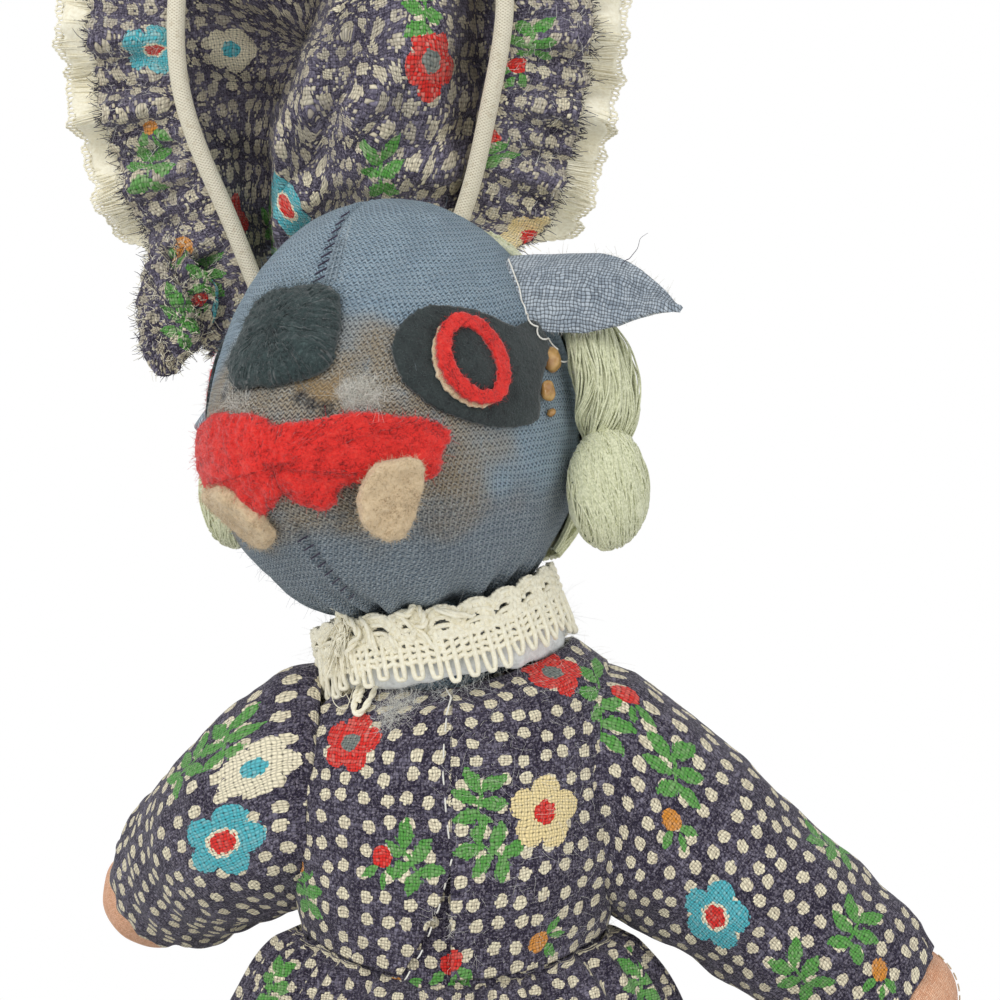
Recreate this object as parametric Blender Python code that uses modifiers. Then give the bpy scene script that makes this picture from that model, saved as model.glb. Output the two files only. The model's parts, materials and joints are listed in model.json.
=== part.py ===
"""Rag doll in a printed cotton dress: stuffed body, animal head with felt face, bonnet thrown back.

The doll stands upright on its skirt. +Z is up, the doll's front faces -Y, its left hand is at +X.
The origin is on the ground, at the middle of the skirt.
"""

from math import cos, exp, pi, radians, sin, sqrt

import bmesh
import bpy
from mathutils import Matrix, Vector

MM = 0.001

# Clearances shared by all pieces
GAP = 0.3 * MM
JOINT_GAP = 0.5 * MM
FELT = 1.0 * MM
COTTON = 1.1 * MM
OVERRUN = 8.0 * MM

# Body
WAIST_HEIGHT = 152 * MM
BODY_HEIGHT = 52 * MM
BODY_TOP = WAIST_HEIGHT + BODY_HEIGHT
CHEST_HALF_WIDTH = 28 * MM
CHEST_HALF_DEPTH = 20.5 * MM
BODY_SQUARENESS = 2.0
BODY_HEIGHT_SHARES = (-0.30, -0.24, 0.0, 0.30, 0.56, 0.78, 0.90, 0.97, 1.0)
BODY_WIDTH_SHARES = (0.0, 0.62, 0.90, 0.95, 1.0, 0.93, 0.73, 0.46, 0.0)
BODY_DEPTH_SHARES = (0.0, 0.62, 0.88, 0.98, 1.0, 0.92, 0.72, 0.46, 0.0)
BODY_COLUMNS = 24
BODY_ROWS = 12

# Bodice
NECKLINE_DROP = 5.5 * MM
NECKLINE_HEIGHT = BODY_TOP - NECKLINE_DROP
WAIST_SEAM = 2.2 * MM
SLIT_RISE = 20 * MM
SLIT_TOP_HEIGHT = WAIST_HEIGHT + SLIT_RISE
SLIT_HALF_OPENING = 9 * MM
SIDE_RISE = 6 * MM
BODICE_COLUMNS = 8
BODICE_ROWS = 7

# Skirt
HEM_RADIUS = 92 * MM
HEM_DROP = 0.5 * MM
SKIRT_CLOTH = 1.6 * MM
SKIRT_FOLDS = 16
SKIRT_FOLD_DEPTH = 7 * MM
GATHER_DEPTH = 0.8 * MM
SKIRT_FLARE = 0.68
SKIRT_ROWS = 6
SKIRT_COLUMNS = 40

# Neck
NECK_BALL_RADIUS = 12 * MM
NECK_ROOT_RADIUS = 13 * MM
NECK_LEAN = radians(-7)
NECK_ROWS = 14
NECK_ROOT_SINK = 6 * MM
NECK_ROOT_HEIGHT = BODY_TOP - NECK_ROOT_SINK

# Head
HEAD_RISE = 39 * MM
HEAD_HEIGHT = BODY_TOP + HEAD_RISE
HEAD_SHIFT = -9 * MM
HEAD_HALF_WIDTH = 29.5 * MM
HEAD_HALF_DEPTH = 30 * MM
HEAD_CROWN = 38 * MM
HEAD_JAW = 31 * MM
HEAD_TURN = radians(-31)
JAW_FULLNESS = 0.7
MUZZLE_REACH = 13 * MM
MUZZLE_HALF_WIDTH = 25 * MM
MUZZLE_HALF_HEIGHT = 20 * MM
MUZZLE_DROP = 3 * MM
NECK_PIVOT_DROP = 24 * MM
NOD_LIMIT = radians(14)
HEAD_COLUMNS = 30
HEAD_ROWS = 20
SOCKET_COLUMNS = 20
SOCKET_ROWS = 14

# Face
PAD_COLUMNS = 18
PAD_ROWS = 8
NOSE_ROWS = 10
MOUTH_COLUMNS = 36
NOSE_ANGLE = radians(2.5)
NOSE_LIFT = 16 * MM
NOSE_HALF_WIDTH = 10 * MM
NOSE_HALF_HEIGHT = 8.2 * MM
NOSE_THICKNESS = 4 * MM
MOUTH_ANGLE = radians(8)
MOUTH_DROP = 3.4 * MM
MOUTH_HALF_WIDTH = 28 * MM
MOUTH_HALF_HEIGHT = 7 * MM
MOUTH_PINCH_SHARE = 0.42
MOUTH_PINCH_WIDTH = 6 * MM
MOUTH_THICKNESS = 2.2 * MM
TOOTH_ANGLE = radians(30)
TOOTH_SEAT = 2.4 * MM
TOOTH_DROP = 6.6 * MM
TOOTH_LENGTH = 14 * MM
TOOTH_HALF_WIDTH = 6 * MM
TOOTH_THICKNESS = 4 * MM
TOOTH_SPLAY = radians(-14)
RIGHT_TOOTH_SPLAY = radians(-30)
RIGHT_TOOTH_DROP = 9 * MM
RIGHT_TOOTH_SEAT = 0.8 * MM
TOOTH_COLUMNS = 12
TOOTH_ROWS = 7

# Eyes
EYE_ANGLE = radians(57.5)
EYE_LIFT = 9.6 * MM
EYE_TILT = radians(20)
PATCH_HALF_WIDTH = 14 * MM
PATCH_HALF_HEIGHT = 9.8 * MM
PATCH_SHIFT = 2.2 * MM
PATCH_DROP = 1.4 * MM
RING_HALF_WIDTH = 6.2 * MM
RING_HALF_HEIGHT = 8 * MM
RING_BAND = 2.4 * MM
BACKING_SHIFT = 1.2 * MM
PATCH_COLUMNS = 20
PATCH_ROWS = 6
PUPIL_COLUMNS = 16
PUPIL_ROWS = 4
RING_COLUMNS = 20
RING_ROWS = 4

# Ears
EAR_ANGLE = radians(94)
EAR_LIFT = 21.5 * MM
EAR_LENGTH = 29 * MM
EAR_HALF_WIDTH = 7.5 * MM
EAR_ROOT_SHARE = 0.72
EAR_ROOT_CAP_SHARE = 1 / 12
EAR_CUP = 3 * MM
EAR_SWEEP = radians(12)
RIGHT_EAR_SWEEP = radians(-10)
EAR_TILT = radians(38)
RIGHT_EAR_DROOP = radians(30)
EAR_SINK = 1.5 * MM
EAR_CLEARANCE = 0.8 * MM
EAR_COLUMNS = 12
EAR_ROWS = 12

# Hair
HAIR_HALF_ANGLE = radians(66)
HAIR_UP = 31 * MM
HAIR_DOWN = 24 * MM
HAIR_THICKNESS = 6 * MM
ROLL_ANGLE = radians(104)
ROLL_RADIUS = 4.6 * MM
ROLL_TOP = 14 * MM
RIGHT_ROLL_TOP = 6 * MM
ROLL_BOTTOM = -4 * MM
BUN_ANGLE = radians(100)
BUN_DROP = 13 * MM
BUN_HALF_WIDTH = 6.8 * MM
BUN_HALF_HEIGHT = 8.4 * MM
HAIR_LOBES = 3
HAIR_LOBE_DEPTH = 0.7 * MM
HAIR_TWIST = radians(150)
CAP_COLUMNS = 30
CAP_ROWS = 14
LOCK_COLUMNS = 15
LOCK_ROWS = 8

# Collar
COLLAR_SHIFT = -1 * MM
COLLAR_HALF_WIDTH = 20.4 * MM
COLLAR_HALF_DEPTH = 18 * MM
COLLAR_HEIGHT = 10.5 * MM
COLLAR_FLARE = 1.6 * MM
COLLAR_LEAN = radians(-9)
COLLAR_SINK = 1.2 * MM
COLLAR_SEAT_HEIGHT = BODY_TOP - COLLAR_SINK
LACE_THREAD = 1.0 * MM
LACE_COLUMNS = 20
LACE_ROWS = 3
LACE_BAR_SHARE = 0.27
WADDING_THICKNESS = 1.9 * MM
WADDING_HEIGHT = 8 * MM
WADDING_COLUMNS = 20
WADDING_ROWS = 6

# Arms and sleeves
SHOULDER_DROP = 24.5 * MM
SHOULDER_HEIGHT = BODY_TOP - SHOULDER_DROP
SHOULDER_SHIFT = 31 * MM
SHOULDER_RADIUS = 17 * MM
CUFF_RADIUS = 11.5 * MM
SLEEVE_LENGTH = 53 * MM
SLEEVE_TAPER = 1.3
ARMHOLE_CLEARANCE = 1.0 * MM
ARMHOLE_TAIL = 14 * MM
LEFT_ARM_RAISE = radians(30)
RIGHT_ARM_RAISE = radians(14)
RAISE_SHARES = (0, 0.5, 1)
ARM_REACH = 64 * MM
HAND_RADIUS = 10.9 * MM
LEFT_ARM_DROP = radians(37)
LEFT_ARM_BACK = radians(0)
RIGHT_ARM_DROP = radians(24)
RIGHT_ARM_BACK = radians(61)
SEAT_SIDES = 16
BALL_ROWS = 4
SLEEVE_ROWS = 6
HAND_ROWS = 4

# Legs
HIP_DROP = 11 * MM
HIP_HEIGHT = WAIST_HEIGHT - HIP_DROP
HIP_SHIFT = 14.5 * MM
HIP_RADIUS = 10.5 * MM
CALF_RADIUS = 9 * MM
ANKLE_RADIUS = 7.5 * MM
SOLE_HEIGHT = 1.2 * MM
FOOT_LENGTH = 27 * MM
FOOT_HALF_WIDTH = 8.6 * MM
FOOT_THICKNESS = 13 * MM
HEEL_SHARE = 0.34
LEG_SWING = radians(20)
LEG_COLUMNS = 16
LEG_ROWS = 20

# Bonnet
RING_HEIGHT = 100 * MM
RING_HALF_SPAN = 29 * MM
RING_TOP_FULLNESS = 0.35
BONNET_LEAN = radians(13)
BONNET_ROOT_ANGLE = radians(-133)
BONNET_ROOT_LIFT = 8 * MM
BONNET_CLEARANCE = 1.5 * MM
ELASTIC_DIAMETER = 2.9 * MM
ELASTIC_COLUMNS = 36
CROWN_DEPTH = 28 * MM
CROWN_PUFF = 3.5 * MM
CROWN_FOLDS = 10
CROWN_FOLD_DEPTH = 1.4 * MM
CROWN_COLUMNS = 36
CROWN_ROWS = 6
RUFFLE_WIDTH = 14 * MM
RUFFLE_OPEN_ANGLE = radians(38)
RUFFLE_WAVES = 13
RUFFLE_WAVE_DEPTH = 3 * MM
RUFFLE_COLUMNS = 72
RUFFLE_REACH_BACK = 4 * MM
LACE_EDGE_WIDTH = 9 * MM
LACE_OVERLAP = 3 * MM

# Colours as seen in daylight, with each finish's roughness
FINISHES = {
    "grey_knit": ((0.16, 0.22, 0.28), 0.95),
    "print_cotton": ((0.035, 0.025, 0.06), 0.9),
    "red_felt": ((0.75, 0.03, 0.03), 0.95),
    "dark_felt": ((0.03, 0.045, 0.045), 0.97),
    "cream_felt": ((0.66, 0.52, 0.33), 0.95),
    "cream_lace": ((0.83, 0.77, 0.6), 0.9),
    "elastic": ((0.8, 0.75, 0.62), 0.7),
    "floss": ((0.43, 0.48, 0.36), 0.6),
    "peach_cotton": ((0.8, 0.42, 0.25), 0.9),
    "ear_weave": ((0.2, 0.22, 0.25), 0.95),
    "wadding": ((0.85, 0.86, 0.85), 1.0),
}


# Scene and mesh helpers


def clear_scene():
    for thing in list(bpy.data.objects):
        bpy.data.objects.remove(thing, do_unlink=True)


def new_collection(name, hidden=False):
    made = bpy.data.collections.new(name)
    bpy.context.scene.collection.children.link(made)
    made.hide_render = hidden
    return made


def finish_material(name):
    colour, roughness = FINISHES[name]
    material = bpy.data.materials.new(name)
    material.use_nodes = True
    shader = material.node_tree.nodes["Principled BSDF"]
    shader.inputs["Base Color"].default_value = (*colour, 1)
    shader.inputs["Roughness"].default_value = roughness
    shader.inputs["Metallic"].default_value = 0
    material.diffuse_color = (*colour, 1)
    return material


def smoothstep(value):
    value = min(max(value, 0), 1)
    return value * value * (3 - 2 * value)


def blend(low, high, share):
    return low + (high - low) * share


def rounded(value, power):
    """A power of a cosine or sine that stays at zero where rounding would take it below."""
    return max(value, 0) ** power


def along_shares(positions, values, position):
    """The value at a position, eased between the stations of an outline."""
    if position <= positions[0]:
        return values[0]
    for low, high, start, end in zip(positions, positions[1:], values, values[1:]):
        if position <= high:
            return blend(start, end, (position - low) / (high - low))
    return values[-1]


def mapped_grid(columns, rows, surface):
    """A bmesh grid laid on a surface that is given by two shares, each from 0 to 1."""
    mesh = bmesh.new()
    bmesh.ops.create_grid(mesh, x_segments=columns, y_segments=rows, size=1)
    for vertex in mesh.verts:
        vertex.co = surface((vertex.co.x + 1) / 2, (vertex.co.y + 1) / 2)
    bmesh.ops.remove_doubles(mesh, verts=mesh.verts, dist=GAP / 100)
    return mesh


def add_object(name, mesh, finish, collection, parent=None, origin=None):
    """Turns a bmesh, in its parent's coordinates, into a smooth object whose origin is given."""
    data = bpy.data.meshes.new(name)
    if origin is not None:
        bmesh.ops.translate(mesh, verts=mesh.verts, vec=-origin)
    mesh.to_mesh(data)
    mesh.free()
    data.shade_smooth()
    thing = bpy.data.objects.new(name, data)
    if origin is not None:
        thing.location = origin
    thing.parent = parent
    collection.objects.link(thing)
    if finish:
        data.materials.append(MATERIALS[finish])
    return thing


def stuffed_form(name, finish, around, along, surface, parent=None, origin=None):
    """A closed form: surface(turn, share) runs round it and from its first pole to its last."""
    mesh = mapped_grid(around, along, surface)
    bmesh.ops.recalc_face_normals(mesh, faces=mesh.faces)
    return add_object(name, mesh, finish, DOLL, parent, origin)


def cloth_piece(name, finish, columns, rows, surface, thickness, middle, parent=None, origin=None):
    """An open sheet on a surface, thickened away from a middle point."""
    mesh = mapped_grid(columns, rows, surface)
    face_away(mesh, middle)
    return thickened(add_object(name, mesh, finish, DOLL, parent, origin), thickness)


def face_away(mesh, middle):
    mesh.normal_update()
    outward = sum(face.normal.dot(face.calc_center_median() - middle) for face in mesh.faces)
    if outward < 0:
        bmesh.ops.reverse_faces(mesh, faces=mesh.faces)


def thickened(thing, thickness):
    wall = thing.modifiers.new("Wall", "SOLIDIFY")
    wall.thickness = thickness
    wall.offset = 1
    wall.use_even_offset = True
    wall.use_quality_normals = True
    return thing


def cutter(name, mesh, parent=None):
    thing = add_object(name, mesh, None, CUTTERS, parent)
    thing.hide_render = True
    thing.display_type = "WIRE"
    return thing


def cut(thing, tool):
    boolean = thing.modifiers.new(f"Cut {tool.name}", "BOOLEAN")
    boolean.operation = "DIFFERENCE"
    boolean.solver = "EXACT"
    boolean.object = tool


def seat(name, mesh):
    bmesh.ops.recalc_face_normals(mesh, faces=mesh.faces)
    tool = cutter(name, mesh)
    CUTTERS.objects.unlink(tool)
    SEATS.objects.link(tool)


def limb_room(frame, radius, tail, end_radius):
    """The room of a round limb end and of the limb's first stretch, which runs along local +Z."""

    def surface(turn, share):
        row = share * (BALL_ROWS + 2)
        if row <= BALL_ROWS:
            angle = row / BALL_ROWS * pi / 2
            distance, reach = -radius * cos(angle), radius * sin(angle)
        else:
            distance, reach = tail, end_radius * (BALL_ROWS + 2 - row)
        direction = 2 * pi * turn
        return frame @ Vector((reach * cos(direction), reach * sin(direction), distance))

    return mapped_grid(SEAT_SIDES, BALL_ROWS + 2, surface)


def swept_room(frames, radius, tail, end_radius):
    """The hull of a limb's rooms at several places of its swing."""
    mesh = bmesh.new()
    for frame in frames:
        room = limb_room(frame, radius, tail, end_radius)
        for vertex in room.verts:
            mesh.verts.new(vertex.co)
        room.free()
    bmesh.ops.remove_doubles(mesh, verts=mesh.verts, dist=GAP / 2)
    hull = bmesh.ops.convex_hull(mesh, input=mesh.verts)
    bmesh.ops.delete(mesh, geom=hull["geom_interior"], context="VERTS")
    return mesh


def cut_seats(thing):
    """Cuts the round seats of the neck, the arms and the legs in one operation."""
    boolean = thing.modifiers.new("Cut seats", "BOOLEAN")
    boolean.operation = "DIFFERENCE"
    boolean.solver = "EXACT"
    boolean.operand_type = "COLLECTION"
    boolean.collection = SEATS


# Body


def body_half_width(height):
    share = (height - WAIST_HEIGHT) / BODY_HEIGHT
    return CHEST_HALF_WIDTH * along_shares(BODY_HEIGHT_SHARES, BODY_WIDTH_SHARES, share)


def body_half_depth(height):
    share = (height - WAIST_HEIGHT) / BODY_HEIGHT
    return CHEST_HALF_DEPTH * along_shares(BODY_HEIGHT_SHARES, BODY_DEPTH_SHARES, share)


def squared(turn, half_width, half_depth, squareness=BODY_SQUARENESS):
    """A point of a rounded oblong; turn is an angle, 0 at +X."""
    across, along = cos(turn), sin(turn)
    reach = (abs(across) ** squareness + abs(along) ** squareness) ** (-1 / squareness)
    return Vector((half_width * reach * across, half_depth * reach * along, 0))


def body_point(turn, height, offset=0):
    point = squared(turn, body_half_width(height) + offset, body_half_depth(height) + offset)
    point.z = height
    return point


def body_surface(turn, share):
    """Rings packed closer at the shoulders and at the seat."""
    low, high = BODY_HEIGHT_SHARES[0], BODY_HEIGHT_SHARES[-1]
    eased = blend(low, high, (1 - cos(pi * share)) / 2)
    return body_point(2 * pi * turn, WAIST_HEIGHT + BODY_HEIGHT * eased)


def make_body():
    return stuffed_form("torso_core", "print_cotton", BODY_COLUMNS, BODY_ROWS, body_surface)


# Bodice


def waist_edge(turn):
    """The waist seam dips at the front and the back and rises at the sides."""
    return WAIST_HEIGHT + SIDE_RISE * cos(turn) ** 2


def bodice_point(turn, height):
    return body_point(turn, height, GAP)


def slit_shift(height):
    """How far the right front panel's edge swings away from the middle below the slit's top."""
    drop = max(0, SLIT_TOP_HEIGHT - height) / (SLIT_TOP_HEIGHT - WAIST_HEIGHT)
    return SLIT_HALF_OPENING * drop**1.4


def front_panel(side):
    """A front panel from the side seam to the middle; the doll's right one opens below."""

    def surface(share, rise):
        seam = 0 if side > 0 else -pi
        middle = -pi / 2
        height = blend(waist_edge(blend(seam, middle, share)) + WAIST_SEAM, NECKLINE_HEIGHT, rise)
        swing = slit_shift(height) if side < 0 else 0
        edge = middle + side * (GAP / 2 + swing) / body_half_width(height)
        start = seam - side * GAP / 2 / CHEST_HALF_DEPTH
        return bodice_point(blend(start, edge, share), height)

    return surface


def back_panel(share, rise):
    start = GAP / 2 / CHEST_HALF_DEPTH
    turn = blend(start, pi - start, share)
    return bodice_point(turn, blend(waist_edge(turn) + WAIST_SEAM, NECKLINE_HEIGHT, rise))


def make_bodice():
    middle = Vector((0, 0, SHOULDER_HEIGHT))
    panels = []
    for side, name in ((1, "left"), (-1, "right")):
        panel = cloth_piece(f"bodice_front_{name}", "print_cotton", BODICE_COLUMNS, BODICE_ROWS,
                            front_panel(side), COTTON, middle)
        panels.append(panel)
    panels.append(cloth_piece("bodice_back", "print_cotton", 2 * BODICE_COLUMNS, BODICE_ROWS,
                              back_panel, COTTON, middle))
    return panels


# Skirt


def skirt_point(turn, share):
    """The inner face of the cloth, from the waist (share 0) to the hem (share 1)."""
    top = waist_edge(turn)
    height = blend(top, -HEM_DROP, share)
    waist = body_point(turn, top, GAP + GATHER_DEPTH)
    waist.z = 0
    hem = Vector((cos(turn), sin(turn), 0)) * (HEM_RADIUS - SKIRT_CLOTH)
    point = waist.lerp(hem, share**SKIRT_FLARE)
    depth = blend(GATHER_DEPTH, SKIRT_FOLD_DEPTH, smoothstep(share * 1.6))
    fold = depth * (1 - cos(SKIRT_FOLDS * turn)) / 2
    point -= point.normalized() * fold
    point.z = height
    return point


def skirt_panel(first):
    margin = GAP / 2 / HEM_RADIUS

    def surface(share, rise):
        narrow = blend(margin, HEM_RADIUS / CHEST_HALF_DEPTH * margin, rise)
        turn = first + blend(narrow, pi - narrow, share)
        return skirt_point(turn, (1 - rise) ** 1.35)

    return surface


def make_skirt():
    middle = Vector((0, 0, HIP_HEIGHT / 2))
    for name, first in (("skirt_front", -pi), ("skirt_back", 0)):
        panel = cloth_piece(name, "print_cotton", SKIRT_COLUMNS, SKIRT_ROWS, skirt_panel(first),
                            SKIRT_CLOTH, middle)
        flatten_hem(panel)


def flatten_hem(panel):
    """The cloth stands on its hem, so what would lie under the ground is cut level with it."""
    mesh = bmesh.new()
    bmesh.ops.create_cube(mesh, size=1)
    reach = 2 * (HEM_RADIUS + OVERRUN)
    bmesh.ops.scale(mesh, verts=mesh.verts, vec=(reach, reach, OVERRUN))
    bmesh.ops.translate(mesh, verts=mesh.verts, vec=(0, 0, -OVERRUN / 2))
    cut(panel, cutter(f"ground_{panel.name}", mesh))


# Neck


def neck_pivot():
    return HEAD_FRAME @ Vector((0, 0, -NECK_PIVOT_DROP))


def neck_radius(depth, clearance=0):
    """The neck's radius at a depth below its ball's centre, wider where it enters the body."""
    if depth <= 0:
        return sqrt(max((NECK_BALL_RADIUS + clearance) ** 2 - depth * depth, 0))
    root = (neck_pivot().z - NECK_ROOT_HEIGHT) / cos(NECK_LEAN)
    flare = smoothstep((depth / root - 0.35) / 0.4)
    return blend(NECK_BALL_RADIUS, NECK_ROOT_RADIUS, flare) + clearance


def neck_surface(clearance):
    """A flat root inside the body, the neck, and the ball that carries the head."""
    root = (neck_pivot().z - NECK_ROOT_HEIGHT) / cos(NECK_LEAN) + clearance
    top = NECK_BALL_RADIUS + clearance

    def surface(turn, share):
        along = share * 2 - 1
        depth = root if along < 0 else blend(root, -top, along)
        radius = neck_radius(depth, clearance) * min(1 + along, 1)
        direction = 2 * pi * turn
        place = Vector((radius * cos(direction), radius * sin(direction), -depth))
        return neck_pivot() + LEAN @ place

    return surface


def make_neck():
    return stuffed_form("neck_core", "grey_knit", SEAT_SIDES, NECK_ROWS, neck_surface(0),
                        origin=neck_pivot())


def make_neck_seat():
    seat("neck_seat", mapped_grid(SEAT_SIDES, NECK_ROWS, neck_surface(JOINT_GAP)))


def socket_surface(turn, share):
    """The pocket in the head: a ball socket with a mouth that leaves room to nod."""
    ball = NECK_BALL_RADIUS + JOINT_GAP
    angle = share * pi
    if share < 0.5:
        radius, height = ball * sin(angle), ball * cos(angle)
    else:
        depth = OVERRUN * 1.5 * smoothstep((share - 0.5) * 3)
        radius = (ball + depth * sin(NOD_LIMIT) * 1.3) * smoothstep((1 - share) * 9)
        height = -depth
    direction = 2 * pi * turn
    return Vector((radius * cos(direction), radius * sin(direction), height - NECK_PIVOT_DROP))


def cut_head_socket(head):
    mesh = mapped_grid(SOCKET_COLUMNS, SOCKET_ROWS, socket_surface)
    bmesh.ops.recalc_face_normals(mesh, faces=mesh.faces)
    tool = cutter("neck_socket", mesh, HEAD_EMPTY)
    cut(head, tool)


# Head


def head_girth(height):
    """Share of the full width at a height above the head's middle: pointed crown, full jaw."""
    if height >= 0:
        return sqrt(max(1 - (height / HEAD_CROWN) ** 2, 0))
    return sqrt(max(1 - (height / HEAD_JAW) ** 2, 0)) ** JAW_FULLNESS


def head_point(angle, height, offset=0):
    """A point on the head; angle 0 is the middle of the face and +90 degrees the left side."""
    height = min(max(height, -HEAD_JAW), HEAD_CROWN)
    girth = head_girth(height)
    across = (HEAD_HALF_WIDTH * girth + offset * sqrt(girth)) * sin(angle)
    front = rounded(cos(angle), 0.7)
    swell = exp(-((across / MUZZLE_HALF_WIDTH) ** 2) - ((height + MUZZLE_DROP) / MUZZLE_HALF_HEIGHT) ** 2)
    reach = (HEAD_HALF_DEPTH * girth + offset * sqrt(girth)) * cos(angle) + MUZZLE_REACH * front * swell
    rise = offset * height / (HEAD_CROWN if height > 0 else HEAD_JAW)
    return Vector((across, -reach, height + rise))


def head_surface(turn, share, offset=0):
    latitude = pi * (share - 0.5)
    height = sin(latitude) * (HEAD_CROWN if latitude > 0 else HEAD_JAW)
    return head_point(2 * pi * turn, height, offset)


def make_head():
    return stuffed_form("head_ball", "grey_knit", HEAD_COLUMNS, HEAD_ROWS, head_surface, HEAD_EMPTY)


def head_normal(angle, height):
    step = GAP
    turned = step / HEAD_HALF_WIDTH
    across = head_point(angle + turned, height) - head_point(angle - turned, height)
    up = head_point(angle, height + step) - head_point(angle, height - step)
    return across.cross(up).normalized()


def on_head(angle, height, right, up, offset):
    """A point at an offset along the skin's normal, moved right and up on the skin."""
    reach = head_point(angle, height).to_2d().length
    place, level = angle + right / reach, height + up
    return head_point(place, level) + head_normal(place, level) * offset


def pad_surface(angle, height, outline, crown, offset):
    """A pad on the head: underside from the middle to the rim, then over the top to the middle."""

    def surface(turn, share):
        direction = 2 * pi * turn
        out = min(share, 1 - share) * 2
        right, up = outline(direction, sin(out * pi / 2))
        lift = crown(out) if share > 0.5 else 0
        return on_head(angle, height, right, up, offset + lift)

    return surface


def oval(half_width, half_height, tilt=0, squareness=2.0):
    def outline(direction, out):
        place = squared(direction, half_width, half_height, squareness) * out
        turned = Matrix.Rotation(tilt, 3, "Z") @ place
        return turned.x, turned.y

    return outline


def domed(thickness, rim_share=0.35):
    def crown(out):
        return thickness * blend(rim_share, 1, sqrt(max(1 - out * out, 0)))

    return crown


def make_pad(name, finish, angle, height, outline, crown, offset, around=PAD_COLUMNS, along=PAD_ROWS):
    return stuffed_form(name, finish, around, along, pad_surface(angle, height, outline, crown, offset),
                        HEAD_EMPTY)


# Nose, mouth and teeth


def make_nose():
    outline = oval(NOSE_HALF_WIDTH, NOSE_HALF_HEIGHT, squareness=2.5)
    make_pad("nose_pad", "dark_felt", NOSE_ANGLE, NOSE_LIFT, outline, domed(NOSE_THICKNESS), GAP,
             along=NOSE_ROWS)


def mouth_outline(direction, out):
    """Two lobes that are drawn together in the middle."""
    place = squared(direction, MOUTH_HALF_WIDTH, MOUTH_HALF_HEIGHT, 3.2) * out
    pinch = 1 - MOUTH_PINCH_SHARE * exp(-((place.x / MOUTH_PINCH_WIDTH) ** 2))
    return place.x, place.y * pinch


def make_mouth():
    crown = domed(MOUTH_THICKNESS, 0.6)
    make_pad("mouth_felt", "red_felt", MOUTH_ANGLE, -MOUTH_DROP, mouth_outline, crown, 2 * GAP,
             around=MOUTH_COLUMNS)


def make_tooth(side, name):
    """A chunky felt tooth that hangs from the lip and follows the jaw."""
    drop = TOOTH_DROP if side > 0 else RIGHT_TOOTH_DROP
    splay = TOOTH_SPLAY if side > 0 else RIGHT_TOOTH_SPLAY
    clear = TOOTH_SEAT if side > 0 else RIGHT_TOOTH_SEAT
    root = on_head(side * TOOTH_ANGLE, -drop, 0, 0, clear + TOOTH_THICKNESS / 2)
    outward = head_normal(side * TOOTH_ANGLE, -drop)
    outward.z = 0
    outward.normalize()
    down = Matrix.Rotation(splay, 3, outward.cross(Vector((0, 0, 1)))) @ Vector((0, 0, -1))
    face = outward.cross(down).cross(down).normalized()
    across = face.cross(down)

    def surface(turn, share):
        direction = 2 * pi * turn
        girth = rounded(sin(pi * share), 0.45)
        width = TOOTH_HALF_WIDTH * blend(1.0, 0.72, share)
        place = squared(direction, width * girth, TOOTH_THICKNESS / 2 * girth, 3)
        return root + across * place.x + face * place.y + down * TOOTH_LENGTH * share

    stuffed_form(f"tooth_{name}", "cream_felt", TOOTH_COLUMNS, TOOTH_ROWS, surface, HEAD_EMPTY)


# Eyes


def eye_frame(side):
    return side * EYE_ANGLE, EYE_LIFT, side * EYE_TILT


def ring_surface(side, half_width, half_height, band, offset, thickness, shift=0):
    """A flat ring of felt on the head; share runs round its section."""
    angle, height, tilt = eye_frame(side)
    outline = oval(1, 1)

    def surface(turn, share):
        section = 2 * pi * share
        out = band / 2 * cos(section)
        lift = thickness / 2 * (1 + max(-1, min(1, sin(section) * 1.4)))
        right, up = outline(2 * pi * turn, 1)
        place = Matrix.Rotation(tilt, 2) @ Vector((right * (half_width + out), up * (half_height + out)))
        return on_head(angle, height, place.x - side * shift, place.y, offset + lift)

    return surface


def make_eye(side, name):
    angle, height, tilt = eye_frame(side)
    outline = oval(PATCH_HALF_WIDTH, PATCH_HALF_HEIGHT, squareness=2.2)
    beside = side * (EYE_ANGLE + PATCH_SHIFT / HEAD_HALF_WIDTH)
    make_pad(f"eye_patch_{name}", "dark_felt", beside, height - PATCH_DROP, outline, domed(FELT, 0.8),
             GAP, PATCH_COLUMNS, PATCH_ROWS)
    level = 2 * GAP + FELT
    stuffed_form(f"eye_backing_{name}", "cream_felt", RING_COLUMNS, RING_ROWS,
                 ring_surface(side, RING_HALF_WIDTH, RING_HALF_HEIGHT, RING_BAND, level, FELT / 2, BACKING_SHIFT),
                 HEAD_EMPTY)
    stuffed_form(f"eye_ring_{name}", "red_felt", RING_COLUMNS, RING_ROWS,
                 ring_surface(side, RING_HALF_WIDTH, RING_HALF_HEIGHT, RING_BAND, level + FELT / 2 + GAP, FELT),
                 HEAD_EMPTY)
    inner = RING_BAND / 2 + BACKING_SHIFT + GAP
    make_pad(f"eye_pupil_{name}", "dark_felt", angle, height,
             oval(RING_HALF_WIDTH - inner, RING_HALF_HEIGHT - inner, tilt), domed(FELT, 0.8), level,
             PUPIL_COLUMNS, PUPIL_ROWS)


# Ears


def ear_root(side):
    return on_head(side * EAR_ANGLE, EAR_LIFT, 0, 0, -EAR_SINK)


def ear_axes(side):
    """Root line, outward direction and facing of an ear, in the head's frame."""
    sweep = EAR_SWEEP if side > 0 else RIGHT_EAR_SWEEP
    droop = 0 if side > 0 else RIGHT_EAR_DROOP
    bearing = side * (EAR_ANGLE + sweep)
    level = Vector((sin(bearing), -cos(bearing), 0))
    out = level * cos(droop) - Vector((0, 0, 1)) * sin(droop)
    face = Vector((0, 0, 1)).cross(level).normalized() * side
    root_line = face.cross(out).normalized() * side
    tilt = Matrix.Rotation(-side * EAR_TILT, 3, out)
    return tilt @ root_line, out, tilt @ face


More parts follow.
